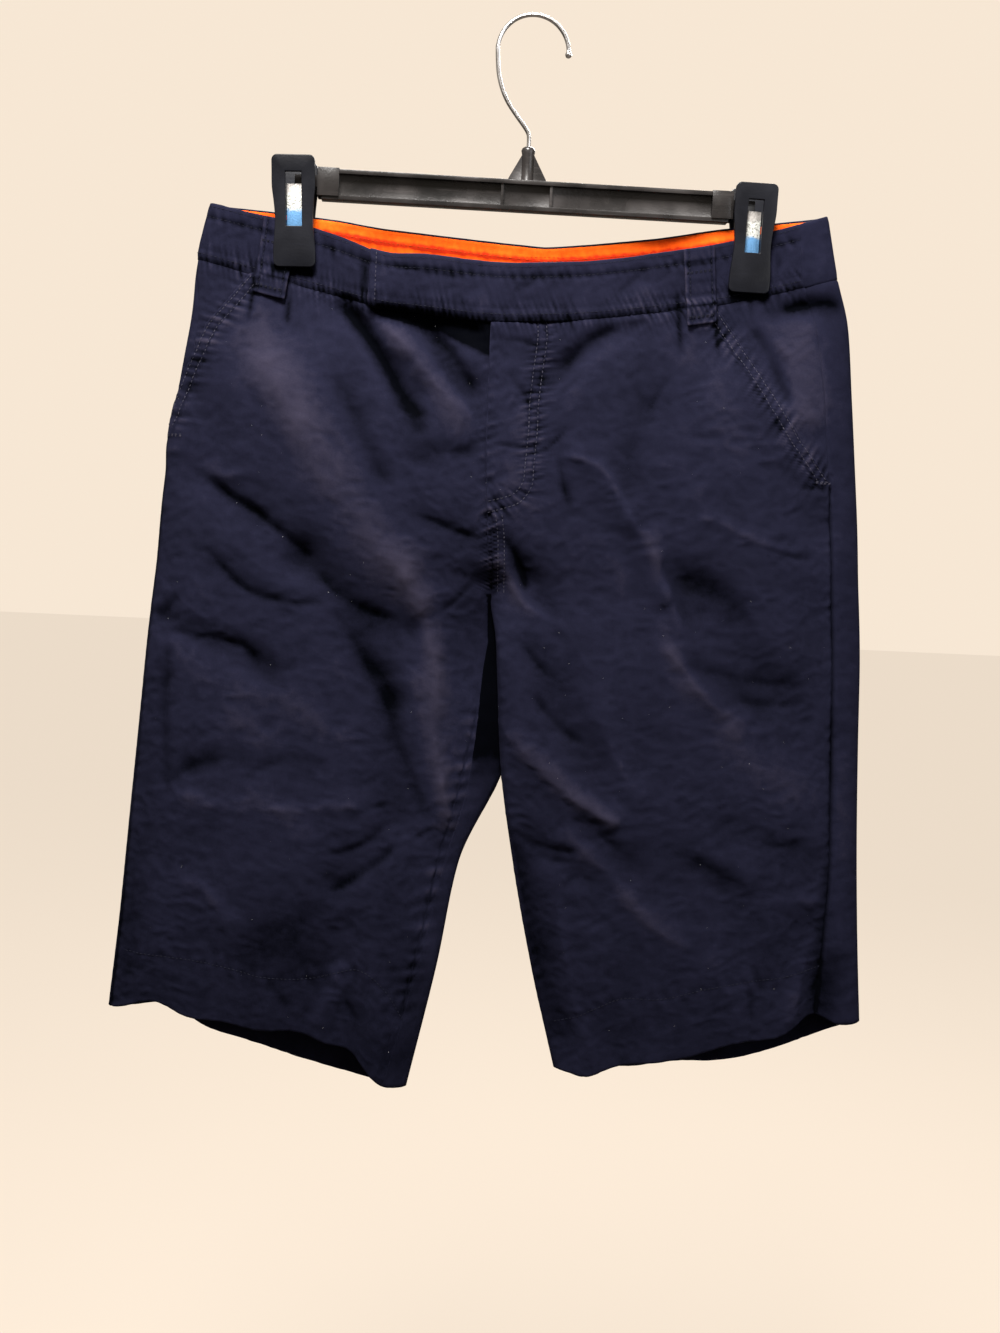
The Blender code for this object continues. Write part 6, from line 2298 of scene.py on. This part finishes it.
# ---------------------------------------------------------------- stitches and lint
@dataclass
class Sewing:
    """Rows of stitches laid on the cloth, and the lint that clings to it."""

    shorts: Shorts
    spacing: float = 0.0027
    length: float = 0.00200
    width: float = 0.00040
    seed: int = 5
    path_step: float = 1.6
    ray_start: float = 120.0
    routes: dict[str, list[Array]] = field(default_factory=dict)
    trees: dict[str, BVHTree] = field(default_factory=dict)

    def build(self) -> None:
        """Lay every row and turn the rows of each finish into one mesh."""
        self.lay_front_rows()
        self.lay_band_rows()
        self.lay_back_rows()
        self.lay_loops()
        tree = self.stitch_tree()
        finishes = self.shorts.finishes
        looks = {"topstitching": (finishes.navy_thread, Slot.TWILL),
                 "worn_stitching": (finishes.worn_thread, Slot.TWILL),
                 "facing_stitching": (finishes.rust_thread, Slot.FACING)}
        for name, (material, slot) in looks.items():
            rows = self.row_object(name, self.routes[name])
            replace_node(self.run_tree(rows, tree, {
                "Spacing": self.spacing, "Length": self.length, "Width": self.width,
                "Seed": self.seed, "Thread": material}), slot)
        self.lint()

    def tree_of(self, piece: str) -> BVHTree:
        """The tree of a piece's outer face, made once."""
        if piece not in self.trees:
            self.trees[piece] = self.shorts.pieces[piece].tree()
        return self.trees[piece]

    def lay(self, piece: str, face: Face, path: Sequence[Sequence[float]],
            name: str = "topstitching", off: float = 0.12) -> None:
        """Lay a row of stitches on one face of a piece.

        Args:
            piece: the piece that it is sewn through.
            face: the face of the garment that it is seen from.
            path: (x, z) places of the row.
            name: the mesh that the row belongs to.
            off: how far the thread's middle stands off the cloth, in millimetres.
        """
        tree = self.tree_of(piece)
        line = []
        for x, z in smooth_path(path, self.path_step):
            start = Vector((x, face.value * self.ray_start, z))
            spot, normal, _, _ = tree.ray_cast(start, Vector((0.0, -face.value, 0.0)))
            if spot is None:
                self.keep(name, line)
                line = []
                continue
            out = normal if normal.y * face.value > 0 else -normal
            line.append(np.array(spot + out * off))
        self.keep(name, line)

    def keep(self, name: str, line: Sequence[Array]) -> None:
        """Add a laid line to the rows of a mesh, unless it is a single point."""
        if len(line) > 1:
            self.routes.setdefault(name, []).append(np.array(line))

    def beside(self, piece: str, inset: float, rows: slice) -> list[tuple[float, float]]:
        """The places of a line that runs down a piece, inside its first edge.

        Args:
            piece: the piece.
            inset: how far inside the edge it runs, in millimetres.
            rows: the rows of the piece that it crosses.

        Returns:
            The (x, z) places.
        """
        places = []
        for line in self.shorts.pieces[piece].outer[rows][::4]:
            steps = np.linalg.norm(np.diff(line, axis=0), axis=1)
            along = np.concatenate(([0.0], np.cumsum(steps)))
            places.append(tuple(float(np.interp(inset, along, line[:, i])) for i in (0, 2)))
        return places

    def lay_front_rows(self) -> None:
        """The fly's double row, the crotch, the pocket mouths and the hems."""
        crotch = [tuple((x + off, z) for x, z in CROTCH_SEAM) for off in (3.4, 7.4)]
        for path in (FLY_J, FLY_J_INNER, *crotch):
            self.lay("front_left", FRONT, path, "worn_stitching")
        for side, hem in ((RIGHT, HEM_LINE_RIGHT), (LEFT, HEM_LINE_LEFT)):
            name = f"front_{side.word}"
            piece = self.shorts.pieces[name]
            last = int(np.searchsorted(piece.levels, self.shorts.relief.mouth_foot(side)))
            for inset in (1.6, 7.0):
                mouth = self.beside(name, inset, slice(2, last - 2))
                self.lay(name, FRONT, mouth, "worn_stitching")
            x, _, z = (float(value) for value in piece.outer[last, 0])
            reach = -9.0 * side.value
            for k in range(3):
                row_z = z + 2.0 + 0.6 * k
                tack = ((x + 0.1 * reach, row_z), (x + reach, row_z))
                self.lay(name, FRONT, tack, "worn_stitching")
            self.lay(name, FRONT, hem)

    def lay_band_rows(self) -> None:
        """The rows along the top and the foot of the bands, and round the tab's end."""
        surface = self.shorts.surface
        end_x = self.shorts.tab_end_x + 3.0
        for level in BAND_ROWS:
            right, left = (
                surface.place(side, level,
                              np.linspace(surface.side_seam(side, level) + 0.01, 1.0, 30))[0]
                for side in BOTH_SIDES)
            self.lay("waistband_front_right", FRONT, right[:, [0, 2]])
            end = surface.share_at(RIGHT, FRONT, level, end_x)
            over = surface.place(RIGHT, level, np.linspace(1.0, end, 12)[1:])[0]
            self.lay("waistband_front_left", FRONT, np.vstack((left, over))[:, [0, 2]])
            for side in BOTH_SIDES:
                back = surface.place(side, level, np.linspace(-0.06, -1.0, 30))[0]
                self.lay("waistband_back", BACK, back[:, [0, 2]])
        ends = [surface.point(RIGHT, level, surface.share_at(RIGHT, FRONT, level, end_x))
                for level in np.linspace(BAND_ROWS[0], BAND_ROWS[-1], 8)]
        self.lay("waistband_front_left", FRONT, np.array(ends)[:, [0, 2]], "worn_stitching")
        for side in BOTH_SIDES:
            row = surface.place(side, BAND_ROWS[1], np.linspace(-0.30, -1.0, 24))[0]
            self.lay_inside("facing_back", row[:, [0, 2]])
        self.lay_inside("facing_back", ((3.0, -145.5), (29.0, -144.5)))

    def lay_inside(self, piece: str, path: Sequence[Sequence[float]]) -> None:
        """Lay a row on the face of a back facing that looks forwards.

        Args:
            piece: the facing.
            path: the (x, z) places of the row.
        """
        tree = tree_of_grid(self.shorts.pieces[piece].inner)
        line = []
        for x, z in smooth_path(path, self.path_step):
            spot, _, _, _ = tree.ray_cast(Vector((x, 0.0, z)), Vector((0.0, 1.0, 0.0)))
            if spot is not None:
                line.append(np.array(spot) + np.array((0.0, -0.1, 0.0)))
        self.keep("facing_stitching", line)

    def lay_back_rows(self) -> None:
        """The centre back's double row and the back hems."""
        surface = self.shorts.surface
        for side in BOTH_SIDES:
            places = [surface.point(side, level, -0.985) for level in np.linspace(1.05, 5.8, 20)]
            self.lay(f"back_{side.word}", BACK, np.array(places)[:, [0, 2]])
        self.lay("back_right", BACK, HEM_LINE_RIGHT_BACK)
        self.lay("back_left", BACK, HEM_LINE_LEFT_BACK)

    def lay_loops(self) -> None:
        """The long rows of each belt loop and the tacks across it."""
        for loop in BELT_LOOPS:
            grid = self.shorts.pieces[loop.name].outer
            for column in (2, -3):
                line = grid[1:-1, column]
                self.lay(loop.name, loop.face, line[::3][:, [0, 2]])
            for row in (11, 34):
                for k in range(3):
                    tack = [(float(x), float(z) - 0.5 * k) for x, _, z in grid[row, 1:-1][::4]]
                    self.lay(loop.name, loop.face, tack)

    @staticmethod
    def row_object(name: str, routes: Sequence[Array]) -> Object:
        """An object of open lines of edges, one for each row of stitches.

        Args:
            name: the object's name.
            routes: the rows' points.

        Returns:
            The object.
        """
        places, edges = [], []
        for route in routes:
            first = len(places)
            places.extend((route * METRES).tolist())
            edges.extend((first + i, first + i + 1) for i in range(len(route) - 1))
        mesh = bpy.data.meshes.new(name)
        mesh.from_pydata(places, edges, [])
        return in_scene(name, mesh)

    @staticmethod
    def node_tree(name: str, numbers: Sequence[tuple[str, float]]) -> Tree:
        """A geometry tree with named numbers, a seed and a thread, and nodes at both ends.

        Args:
            name: the tree's name.
            numbers: the names and defaults of its numbers.

        Returns:
            The tree.
        """
        tree = bpy.data.node_groups.new(name, "GeometryNodeTree")
        face = tree.interface
        face.new_socket("Geometry", in_out="INPUT", socket_type="NodeSocketGeometry")
        add_numbers(tree, numbers)
        face.new_socket("Seed", in_out="INPUT", socket_type="NodeSocketInt")
        face.new_socket("Thread", in_out="INPUT", socket_type="NodeSocketMaterial")
        face.new_socket("Geometry", in_out="OUTPUT", socket_type="NodeSocketGeometry")
        tree.nodes.new("NodeGroupInput")
        tree.nodes.new("NodeGroupOutput")
        return tree

    def stitch_tree(self) -> Tree:
        """Stitches along the lines of a mesh.

        Returns:
            The geometry tree.
        """
        numbers = (("Spacing", 0.003), ("Length", 0.002), ("Width", 0.0005))
        tree = self.node_tree("stitch rows", numbers)
        enter = tree.nodes["Group Input"].outputs
        curve = add_node(tree, "GeometryNodeMeshToCurve")
        put(tree, curve.inputs[0], enter["Geometry"])
        spaced = add_node(tree, "GeometryNodeResampleCurve", mode="LENGTH", Curve=curve.outputs[0],
                          Length=enter["Spacing"])
        tangent = add_node(tree, "GeometryNodeInputTangent").outputs[0]
        turned = add_node(tree, "FunctionNodeAlignRotationToVector", axis="X", Vector=tangent)
        self.bars(tree, spaced.outputs[0], turned.outputs[0], 6, (0.82, 1.12), enter["Seed"])
        return tree

    @staticmethod
    def bars(tree: Tree, points: Socket, turns: Socket, sides: int, scales: tuple[float, float],
             seed: object) -> None:
        """End a tree with a small rounded bar on each point, each a little uneven.

        Args:
            tree: the tree, with its Length, Width and Thread.
            points: the points.
            turns: how the bar on each point is turned.
            sides: how many sides a bar has.
            scales: the least and the greatest scale of a bar.
            seed: a socket or a number for the scales.
        """
        enter, leave = tree.nodes["Group Input"].outputs, tree.nodes["Group Output"].inputs
        bar = add_node(tree, "GeometryNodeMeshUVSphere", Segments=sides, Rings=4, Radius=0.5)
        size = add_node(tree, "ShaderNodeCombineXYZ", X=enter["Length"], Y=enter["Width"],
                        Z=enter["Width"])
        uneven = add_node(tree, "FunctionNodeRandomValue", data_type="FLOAT", Seed=seed)
        uneven.inputs[2].default_value, uneven.inputs[3].default_value = scales
        scale = add_node(tree, "ShaderNodeVectorMath", operation="SCALE", Scale=uneven.outputs[1])
        put(tree, scale.inputs[0], size.outputs[0])
        placed = add_node(tree, "GeometryNodeInstanceOnPoints", Points=points,
                          Instance=bar.outputs["Mesh"], Rotation=turns, Scale=scale.outputs[0])
        real = add_node(tree, "GeometryNodeRealizeInstances", Geometry=placed.outputs[0])
        smooth = add_node(tree, "GeometryNodeSetShadeSmooth", Geometry=real.outputs[0])
        dressed = add_node(tree, "GeometryNodeSetMaterial", Geometry=smooth.outputs[0],
                           Material=enter["Thread"])
        put(tree, leave["Geometry"], dressed.outputs[0])

    @staticmethod
    def run_tree(piece: Object, tree: Tree, values: dict[str, object]) -> Object:
        """Run a tree on an object and keep the result as a plain mesh.

        Args:
            piece: the object that carries the lines or faces.
            tree: the geometry tree.
            values: its inputs by name.

        Returns:
            The plain mesh object, under the same name.
        """
        modifier = piece.modifiers.new(tree.name, "NODES")
        modifier.node_group = tree
        for socket in tree.interface.items_tree:
            if socket.in_out == "INPUT" and socket.name in values:
                modifier[socket.identifier] = values[socket.name]
        return applied(piece)

    def lint_tree(self) -> Tree:
        """Fibres scattered over the faces of a mesh, each turned its own way.

        Returns:
            The geometry tree.
        """
        numbers = (("Density", 700.0), ("Length", 0.0011), ("Width", 0.00016))
        tree = self.node_tree("lint", numbers)
        enter = tree.nodes["Group Input"].outputs
        spread = add_node(tree, "GeometryNodeDistributePointsOnFaces", Mesh=enter["Geometry"],
                          Density=enter["Density"], Seed=enter["Seed"])
        spin = add_node(tree, "FunctionNodeRandomValue", data_type="FLOAT_VECTOR",
                        Seed=enter["Seed"])
        spin.inputs[0].default_value = (0.0, -0.5, -3.14)
        spin.inputs[1].default_value = (0.0, 0.5, 3.14)
        turned = add_node(tree, "FunctionNodeRotateRotation", rotation_space="LOCAL",
                          Rotation=spread.outputs["Rotation"], Rotate_By=spin.outputs[0])
        self.bars(tree, spread.outputs["Points"], turned.outputs[0], 5, (0.35, 1.0), 0)
        return tree

    def lint(self) -> None:
        """Short pale fibres caught on the fronts."""
        places, faces = [], []
        for side in BOTH_SIDES:
            grid = self.shorts.pieces[f"front_{side.word}"].outer[::4, ::4]
            faces.append(grid_faces(*grid.shape[:2], sum(len(part) for part in places)))
            places.append(grid.reshape(-1, 3) * METRES)
        patch = mesh_object("lint", np.vstack(places), np.vstack(faces))
        replace_node(self.run_tree(patch, self.lint_tree(), {
            "Density": 900.0, "Length": 0.0010, "Width": 0.00016, "Seed": 3,
            "Thread": self.shorts.finishes.lint}), Slot.TWILL)


# ---------------------------------------------------------------- hanger
SHARP_OVER = 35.0


def softened(name: str, node: str, width: float, segments: int = 2) -> Object:
    """A copy of a node's shape with its hard edges rounded off.

    Args:
        name: the new piece's name.
        node: the CAD node whose mesh is copied.
        width: how far each edge is cut back, in metres.
        segments: how many faces round it.

    Returns:
        The new object.
    """
    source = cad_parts[node]
    mesh = bmesh.new()
    mesh.from_mesh(source.data)
    bmesh.ops.remove_doubles(mesh, verts=mesh.verts, dist=1e-6)
    bmesh.ops.dissolve_limit(mesh, angle_limit=math.radians(2.0), verts=mesh.verts,
                             edges=mesh.edges)
    round_edges(mesh, 40.0, width, segments, clamp=True)
    split_large_faces(mesh)
    return from_bmesh(name, mesh, SHARP_OVER)


@dataclass
class HangerHook:
    """The bent plated wire, from its foot in the boss over its round top to its ball tip."""

    material: Material
    wire_radius: float = 1.3
    hook_radius: float = 22.4
    stem_foot_z: float = -90.0
    tip_radius: float = 2.1

    def route(self) -> Array:
        """The wire's middle line in millimetres.

        Returns:
            One (x, z) row for each point.
        """
        centre_z = self.wire_radius - self.hook_radius
        turn = np.radians(np.linspace(180.0, -2.0, 22))
        arc = [(self.hook_radius * math.cos(a), centre_z + self.hook_radius * math.sin(a))
               for a in turn]
        neck = [(0.0, self.stem_foot_z), (0.0, -80.0), (0.0, -74.5), (-0.6, -71.2), (-3.0, -67.4),
                (-9.0, -60.0), (-14.6, -52.4), (-18.6, -44.2), (-21.2, -34.6)]
        return smooth_path(neck + arc, 1.0)

    def build(self) -> None:
        """Sweep the wire with a round section and close it with its ball tip."""
        route = self.route()
        around = np.radians(np.linspace(0.0, 360.0, 20, endpoint=False))
        along = np.gradient(route, axis=0)
        along /= np.linalg.norm(along, axis=1)[:, None]
        radii = np.full(len(route), self.wire_radius)
        tip = route[-1] - along[-1] * 0.2
        dome = np.radians(np.linspace(-38.0, 88.0, 12))
        route = np.vstack((route[:-2], tip + np.outer(self.tip_radius * np.sin(dome), along[-1])))
        radii = np.concatenate((radii[:-2], self.tip_radius * np.cos(dome)))
        along = np.vstack((along[:-2], np.tile(along[-1], (len(dome), 1))))
        across = np.column_stack((-along[:, 1], along[:, 0]))
        rings = []
        for (x, z), (a, b), radius in zip(route, across, radii):
            rings.append(np.column_stack((x + a * radius * np.cos(around), radius * np.sin(around),
                                          z + b * radius * np.cos(around))))
        mesh = bmesh.new()
        loops = [[mesh.verts.new(point * METRES) for point in ring] for ring in rings]
        for low, high in zip(loops, loops[1:]):
            for i in range(len(around)):
                j = (i + 1) % len(around)
                mesh.faces.new((low[i], low[j], high[j], high[i]))
        mesh.faces.new(loops[0])
        mesh.faces.new(loops[-1])
        bmesh.ops.recalc_face_normals(mesh, faces=mesh.faces)
        piece = from_bmesh("hook_wire", mesh)
        piece.data.materials.append(self.material)
        replace_node(piece, Slot.STEEL, "hanger_hook")


@dataclass
class HangerBar:
    """The moulded bar with its flanges, ribs, sockets and boss."""

    material: Material
    edge: float = 0.35

    def build(self) -> None:
        """Round the bar's edges and dress it."""
        bar = softened("hanger_crossbar", "hanger_bar", self.edge * METRES)
        bar.data.materials.clear()
        bar.data.materials.append(self.material)
        replace_node(bar, Slot.PLASTIC, "hanger_bar")


@dataclass
class Clip:
    """One clip: a front plate with a window, a rear plate and the leaf spring between them."""

    side: Side
    plastic: Material
    steel: Material
    middle_x: float = 145.6
    top_z: float = -95.3
    height: float = 67.6
    thick: float = 3.0
    lean: float = math.radians(4.0)
    splay: tuple[float, float] = (math.radians(2.2), math.radians(0.6))
    corner: float = 3.5
    half_width: float = 13.5
    foot_half_width: float = 13.2
    dish: float = 0.25
    plate_edge: float = 0.55
    spring_edge: float = 0.12
    right_jaw_lift: float = 2.0
    window: tuple[float, float, float] = (10.0, 32.7, 10.1)
    pinch_half: float = 2.75
    gap: float = 0.3
    spring_foot: float = 49.0
    spring_round: float = -23.9
    spring_thick: float = 0.8
    spring_width: float = 9.5
    tongue: float = 7.5

    def build(self) -> None:
        """Make and dress the plates and the spring."""
        under_jaw = self.right_jaw_lift if self.side is RIGHT else 0.0
        front_y = self.pinch_half + self.gap + under_jaw
        rear_y = self.pinch_half + self.gap
        name = self.side.word
        for face, label, jaw_y in ((FRONT, "front", front_y), (BACK, "rear", rear_y)):
            plate = self.plate(f"clip_{label}_plate_{name}", face, jaw_y)
            plate.data.materials.append(self.plastic)
            replace_node(plate, Slot.PLASTIC, f"clip_{label}_jaw_{name}")
        reach = (self.height - self.spring_foot) * math.tan(self.lean) - self.gap
        spring = self.spring(f"clip_leaf_spring_{name}", front_y + reach, rear_y + reach)
        spring.data.materials.append(self.steel)
        replace_node(spring, Slot.STEEL, f"clip_spring_{name}")

    def half_outline(self) -> list[tuple[float, float]]:
        """Half the plate's outline below its top edge: rounded ends and a narrow waist.

        Returns:
            The (x, z) places, from the top to the foot.
        """
        turn = np.radians(np.linspace(0, 90, 7))
        wide, narrow, corner = self.half_width, self.foot_half_width, self.corner
        top = [(wide - corner + corner * math.sin(a), -corner + corner * math.cos(a)) for a in turn]
        waist = smooth_path(((wide, -10.0), (wide, -19.0), (12.6, -27.0), (11.9, -35.0),
                             (11.9, -42.0), (12.6, -50.0), (narrow, -57.0)), 2.5)
        foot = [(narrow - corner + corner * math.cos(a),
                 corner - self.height - corner * math.sin(a)) for a in turn]
        return top + [(float(x), float(z)) for x, z in waist] + foot

    def placed(self, mesh: Bmesh) -> None:
        """Carry a part of the clip from its own middle to its place, with the clip's splay.

        Args:
            mesh: the mesh.
        """
        way, splay = self.side.value, self.splay[self.side is LEFT]
        for vert in mesh.verts:
            vert.co.x += way * self.middle_x * METRES
            vert.co.z += self.top_z * METRES
        centre = (way * self.middle_x * METRES, 0.0, (self.top_z - self.height / 2) * METRES)
        turn = Matrix.Rotation(way * splay, 3, "Y")
        bmesh.ops.rotate(mesh, cent=centre, matrix=turn, verts=mesh.verts)

    def plate(self, name: str, face: Face, jaw_y: float) -> Object:
        """One plate: its outline and window filled, made thick, softened and leant back.

        Args:
            name: the plate's name.
            face: the face that it lies on.
            jaw_y: how far its foot lies from the cloth's middle, in millimetres.

        Returns:
            The plate.
        """
        half = self.half_outline()
        outline = half + [(-x, z) for x, z in reversed(half)]
        width, height, below = self.window
        mesh = bmesh.new()
        loops = [outline]
        if face is FRONT:
            loops.append([(-width / 2, -below), (-width / 2, -below - height),
                          (width / 2, -below - height), (width / 2, -below)])
        edges = []
        for loop in loops:
            verts = [mesh.verts.new((x * METRES, 0.0, z * METRES)) for x, z in loop]
            edges += [mesh.edges.new(pair) for pair in zip(verts, verts[1:] + verts[:1])]
        bmesh.ops.triangle_fill(mesh, edges=edges, use_beauty=True)
        made = bmesh.ops.extrude_face_region(mesh, geom=list(mesh.faces))
        for vert in (item for item in made["geom"] if isinstance(item, bmesh.types.BMVert)):
            vert.co.y += self.thick * METRES
        bmesh.ops.recalc_face_normals(mesh, faces=mesh.faces)
        round_edges(mesh, 60.0, self.plate_edge * METRES, 3)
        for vert in mesh.verts:
            up = vert.co.z / METRES + self.height
            dished = self.dish * (1.0 - (vert.co.x / METRES / self.half_width) ** 2)
            out = jaw_y + vert.co.y / METRES + up * math.tan(self.lean) + dished - self.dish
            vert.co.y = face.value * out * METRES
        self.placed(mesh)
        return self.finished(name, mesh)

    def spring(self, name: str, front_y: float, rear_y: float) -> Object:
        """The hairpin leaf spring: a leg behind each plate, a round top and a front tongue.

        Args:
            name: the spring's name.
            front_y: how far its front leg lies forwards, in millimetres.
            rear_y: how far its rear leg lies backwards.

        Returns:
            The spring.
        """
        half, middle = (front_y + rear_y) / 2, (rear_y - front_y) / 2
        turn = np.radians(np.linspace(0, 180, 25))
        thin = half - self.spring_thick
        outer, inner = ([(middle + r * math.cos(a), self.spring_round + r * math.sin(a))
                         for a in angles] for r, angles in ((half, turn), (thin, turn[::-1])))
        foot, tongue = -self.spring_foot, self.spring_round + self.tongue
        outer = [(y, z) for y, z in outer if y > middle - thin + 0.05]
        outer += [(middle - thin, tongue), (middle - half, tongue)]
        outline = [(middle + half, foot)] + outer + [(middle - half, foot), (middle - thin, foot)]
        outline += inner + [(middle + thin, foot)]
        mesh = bmesh.new()
        sides = [[mesh.verts.new((x * METRES, y * METRES, z * METRES)) for y, z in outline]
                 for x in (-self.spring_width / 2, self.spring_width / 2)]
        for i in range(len(outline)):
            j = (i + 1) % len(outline)
            mesh.faces.new((sides[0][i], sides[0][j], sides[1][j], sides[1][i]))
        for loop in sides:
            mesh.faces.new(loop)
        bmesh.ops.recalc_face_normals(mesh, faces=mesh.faces)
        round_edges(mesh, 60.0, self.spring_edge * METRES, 2)
        self.placed(mesh)
        return self.finished(name, mesh)

    @staticmethod
    def finished(name: str, mesh: Bmesh) -> Object:
        """Point a closed mesh outwards and make its object.

        Args:
            name: the object's name.
            mesh: the mesh, which is freed.

        Returns:
            The object.
        """
        bmesh.ops.recalc_face_normals(mesh, faces=mesh.faces)
        if mesh.calc_volume(signed=True) < 0:
            bmesh.ops.reverse_faces(mesh, faces=mesh.faces)
        split_large_faces(mesh)
        return from_bmesh(name, mesh, SHARP_OVER)


# ---------------------------------------------------------------- studio
LIT_MIDDLE = (0.0, 0.0, -0.33)


@dataclass
class Studio:
    """The camera, the soft lights and the plain pale floor."""

    eye: tuple[float, float, float] = (-0.04386, -0.91520, -0.31984)
    pitch_down: float = math.degrees(math.atan(1400.0 / 14084.0))
    yaw_right: float = 2.6
    roll: float = 2.75
    focal: float = 1400.0
    long_side: float = 1333.0
    floor_z: float = -1.30
    pale: Colour = (0.93, 0.80, 0.66, 1.0)
    floor_pale: Colour = (0.10, 0.085, 0.07, 1.0)
    surround: float = 0.34
    floor_glow: float = 0.84

    def build(self) -> None:
        """Set up the whole studio."""
        self.camera()
        self.world()
        self.floor()
        self.light("key", (-0.25, -0.85, 0.95), 0.45, 72.0, (1.0, 0.97, 0.94))
        self.light("fill", (1.20, -1.10, 0.10), 0.9, 7.0, (0.93, 0.95, 1.0))
        self.light("back", (0.5, 1.4, 0.9), 1.0, 60.0, (1.0, 0.97, 0.94))
        bpy.context.scene.view_settings.view_transform = "Standard"

    def camera(self) -> None:
        """The camera, a little above and to the wearer's right of the middle, slightly rolled."""
        yaw, pitch, roll = (math.radians(v) for v in (self.yaw_right, self.pitch_down, self.roll))
        ahead = Vector((math.sin(yaw) * math.cos(pitch), math.cos(yaw) * math.cos(pitch),
                        -math.sin(pitch)))
        level = ahead.cross(Vector((0, 0, 1))).normalized()
        upright = level.cross(ahead)
        right = math.cos(roll) * level + math.sin(roll) * upright
        up = -math.sin(roll) * level + math.cos(roll) * upright
        turn = Matrix((right, up, -ahead)).transposed().to_4x4()
        data = bpy.data.cameras.new("camera")
        data.sensor_width = 36.0
        data.lens = self.focal / self.long_side * 36.0
        data.clip_end = 100.0
        camera = in_scene("camera", data)
        camera.matrix_world = Matrix.Translation(self.eye) @ turn
        bpy.context.scene.camera = camera

    def world(self) -> None:
        """An even pale surround."""
        world = bpy.data.worlds.new("surround")
        world.use_nodes = True
        tree = world.node_tree
        seen = add_node(tree, "ShaderNodeLightPath").outputs["Is Camera Ray"]
        strength = add_node(tree, "ShaderNodeMapRange", To_Min=self.surround, Value=seen)
        background = tree.nodes["Background"].inputs
        put(tree, background["Color"], self.pale)
        put(tree, background["Strength"], strength.outputs["Result"])
        bpy.context.scene.world = world

    def floor(self) -> None:
        """A wide pale floor below the hanging shorts."""
        half = 12.0
        mesh = bpy.data.meshes.new("floor")
        corners = [(-half, -half), (half, -half), (half, half), (-half, half)]
        mesh.from_pydata([(x, y, self.floor_z) for x, y in corners], [], [(0, 1, 2, 3)])
        wiring = Wiring("pale floor")
        noise = wiring.add("ShaderNodeTexNoise", Scale=3.0, Detail=3.0, Vector=wiring.place)
        darker = tuple(0.97 * value for value in self.floor_pale[:3]) + (1.0,)
        seen = wiring.add("ShaderNodeLightPath").outputs["Is Camera Ray"]
        wiring.feed(
            Base_Color=wiring.ramp(noise.outputs["Fac"], (0.3, darker), (0.7, self.floor_pale)),
            Roughness=0.9, Emission_Color=self.pale,
            Emission_Strength=wiring.maths("MULTIPLY", seen, self.floor_glow))
        mesh.materials.append(wiring.material)
        in_scene("floor", mesh)

    @staticmethod
    def light(name: str, place: tuple[float, float, float], size: float, power: float,
              colour: tuple[float, float, float]) -> None:
        """A square soft light turned towards the shorts.

        Args:
            name: the lamp's name.
            place: where it stands, in metres.
            size: its side, in metres.
            power: its power, in watts.
            colour: its colour.
        """
        data = bpy.data.lights.new(name, "AREA")
        data.size, data.energy, data.color = size, power, colour
        aim = Vector(LIT_MIDDLE) - Vector(place)
        turn = aim.to_track_quat("-Z", "Y").to_matrix().to_4x4()
        in_scene(name, data).matrix_world = Matrix.Translation(place) @ turn


def main() -> None:
    """Build the shorts, the sewing, the hanger and the studio."""
    logging.basicConfig(level=logging.INFO, format="%(message)s")
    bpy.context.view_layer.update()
    Studio().build()
    finishes = Finishes()
    surface = GarmentSurface()
    shorts = Shorts(surface, Relief(surface), finishes)
    shorts.build()
    Sewing(shorts).build()
    HangerBar(finishes.plastic).build()
    HangerHook(finishes.wire).build()
    for side in BOTH_SIDES:
        Clip(side, finishes.clip_plastic, finishes.spring).build()


if __name__ == "__main__":
    main()
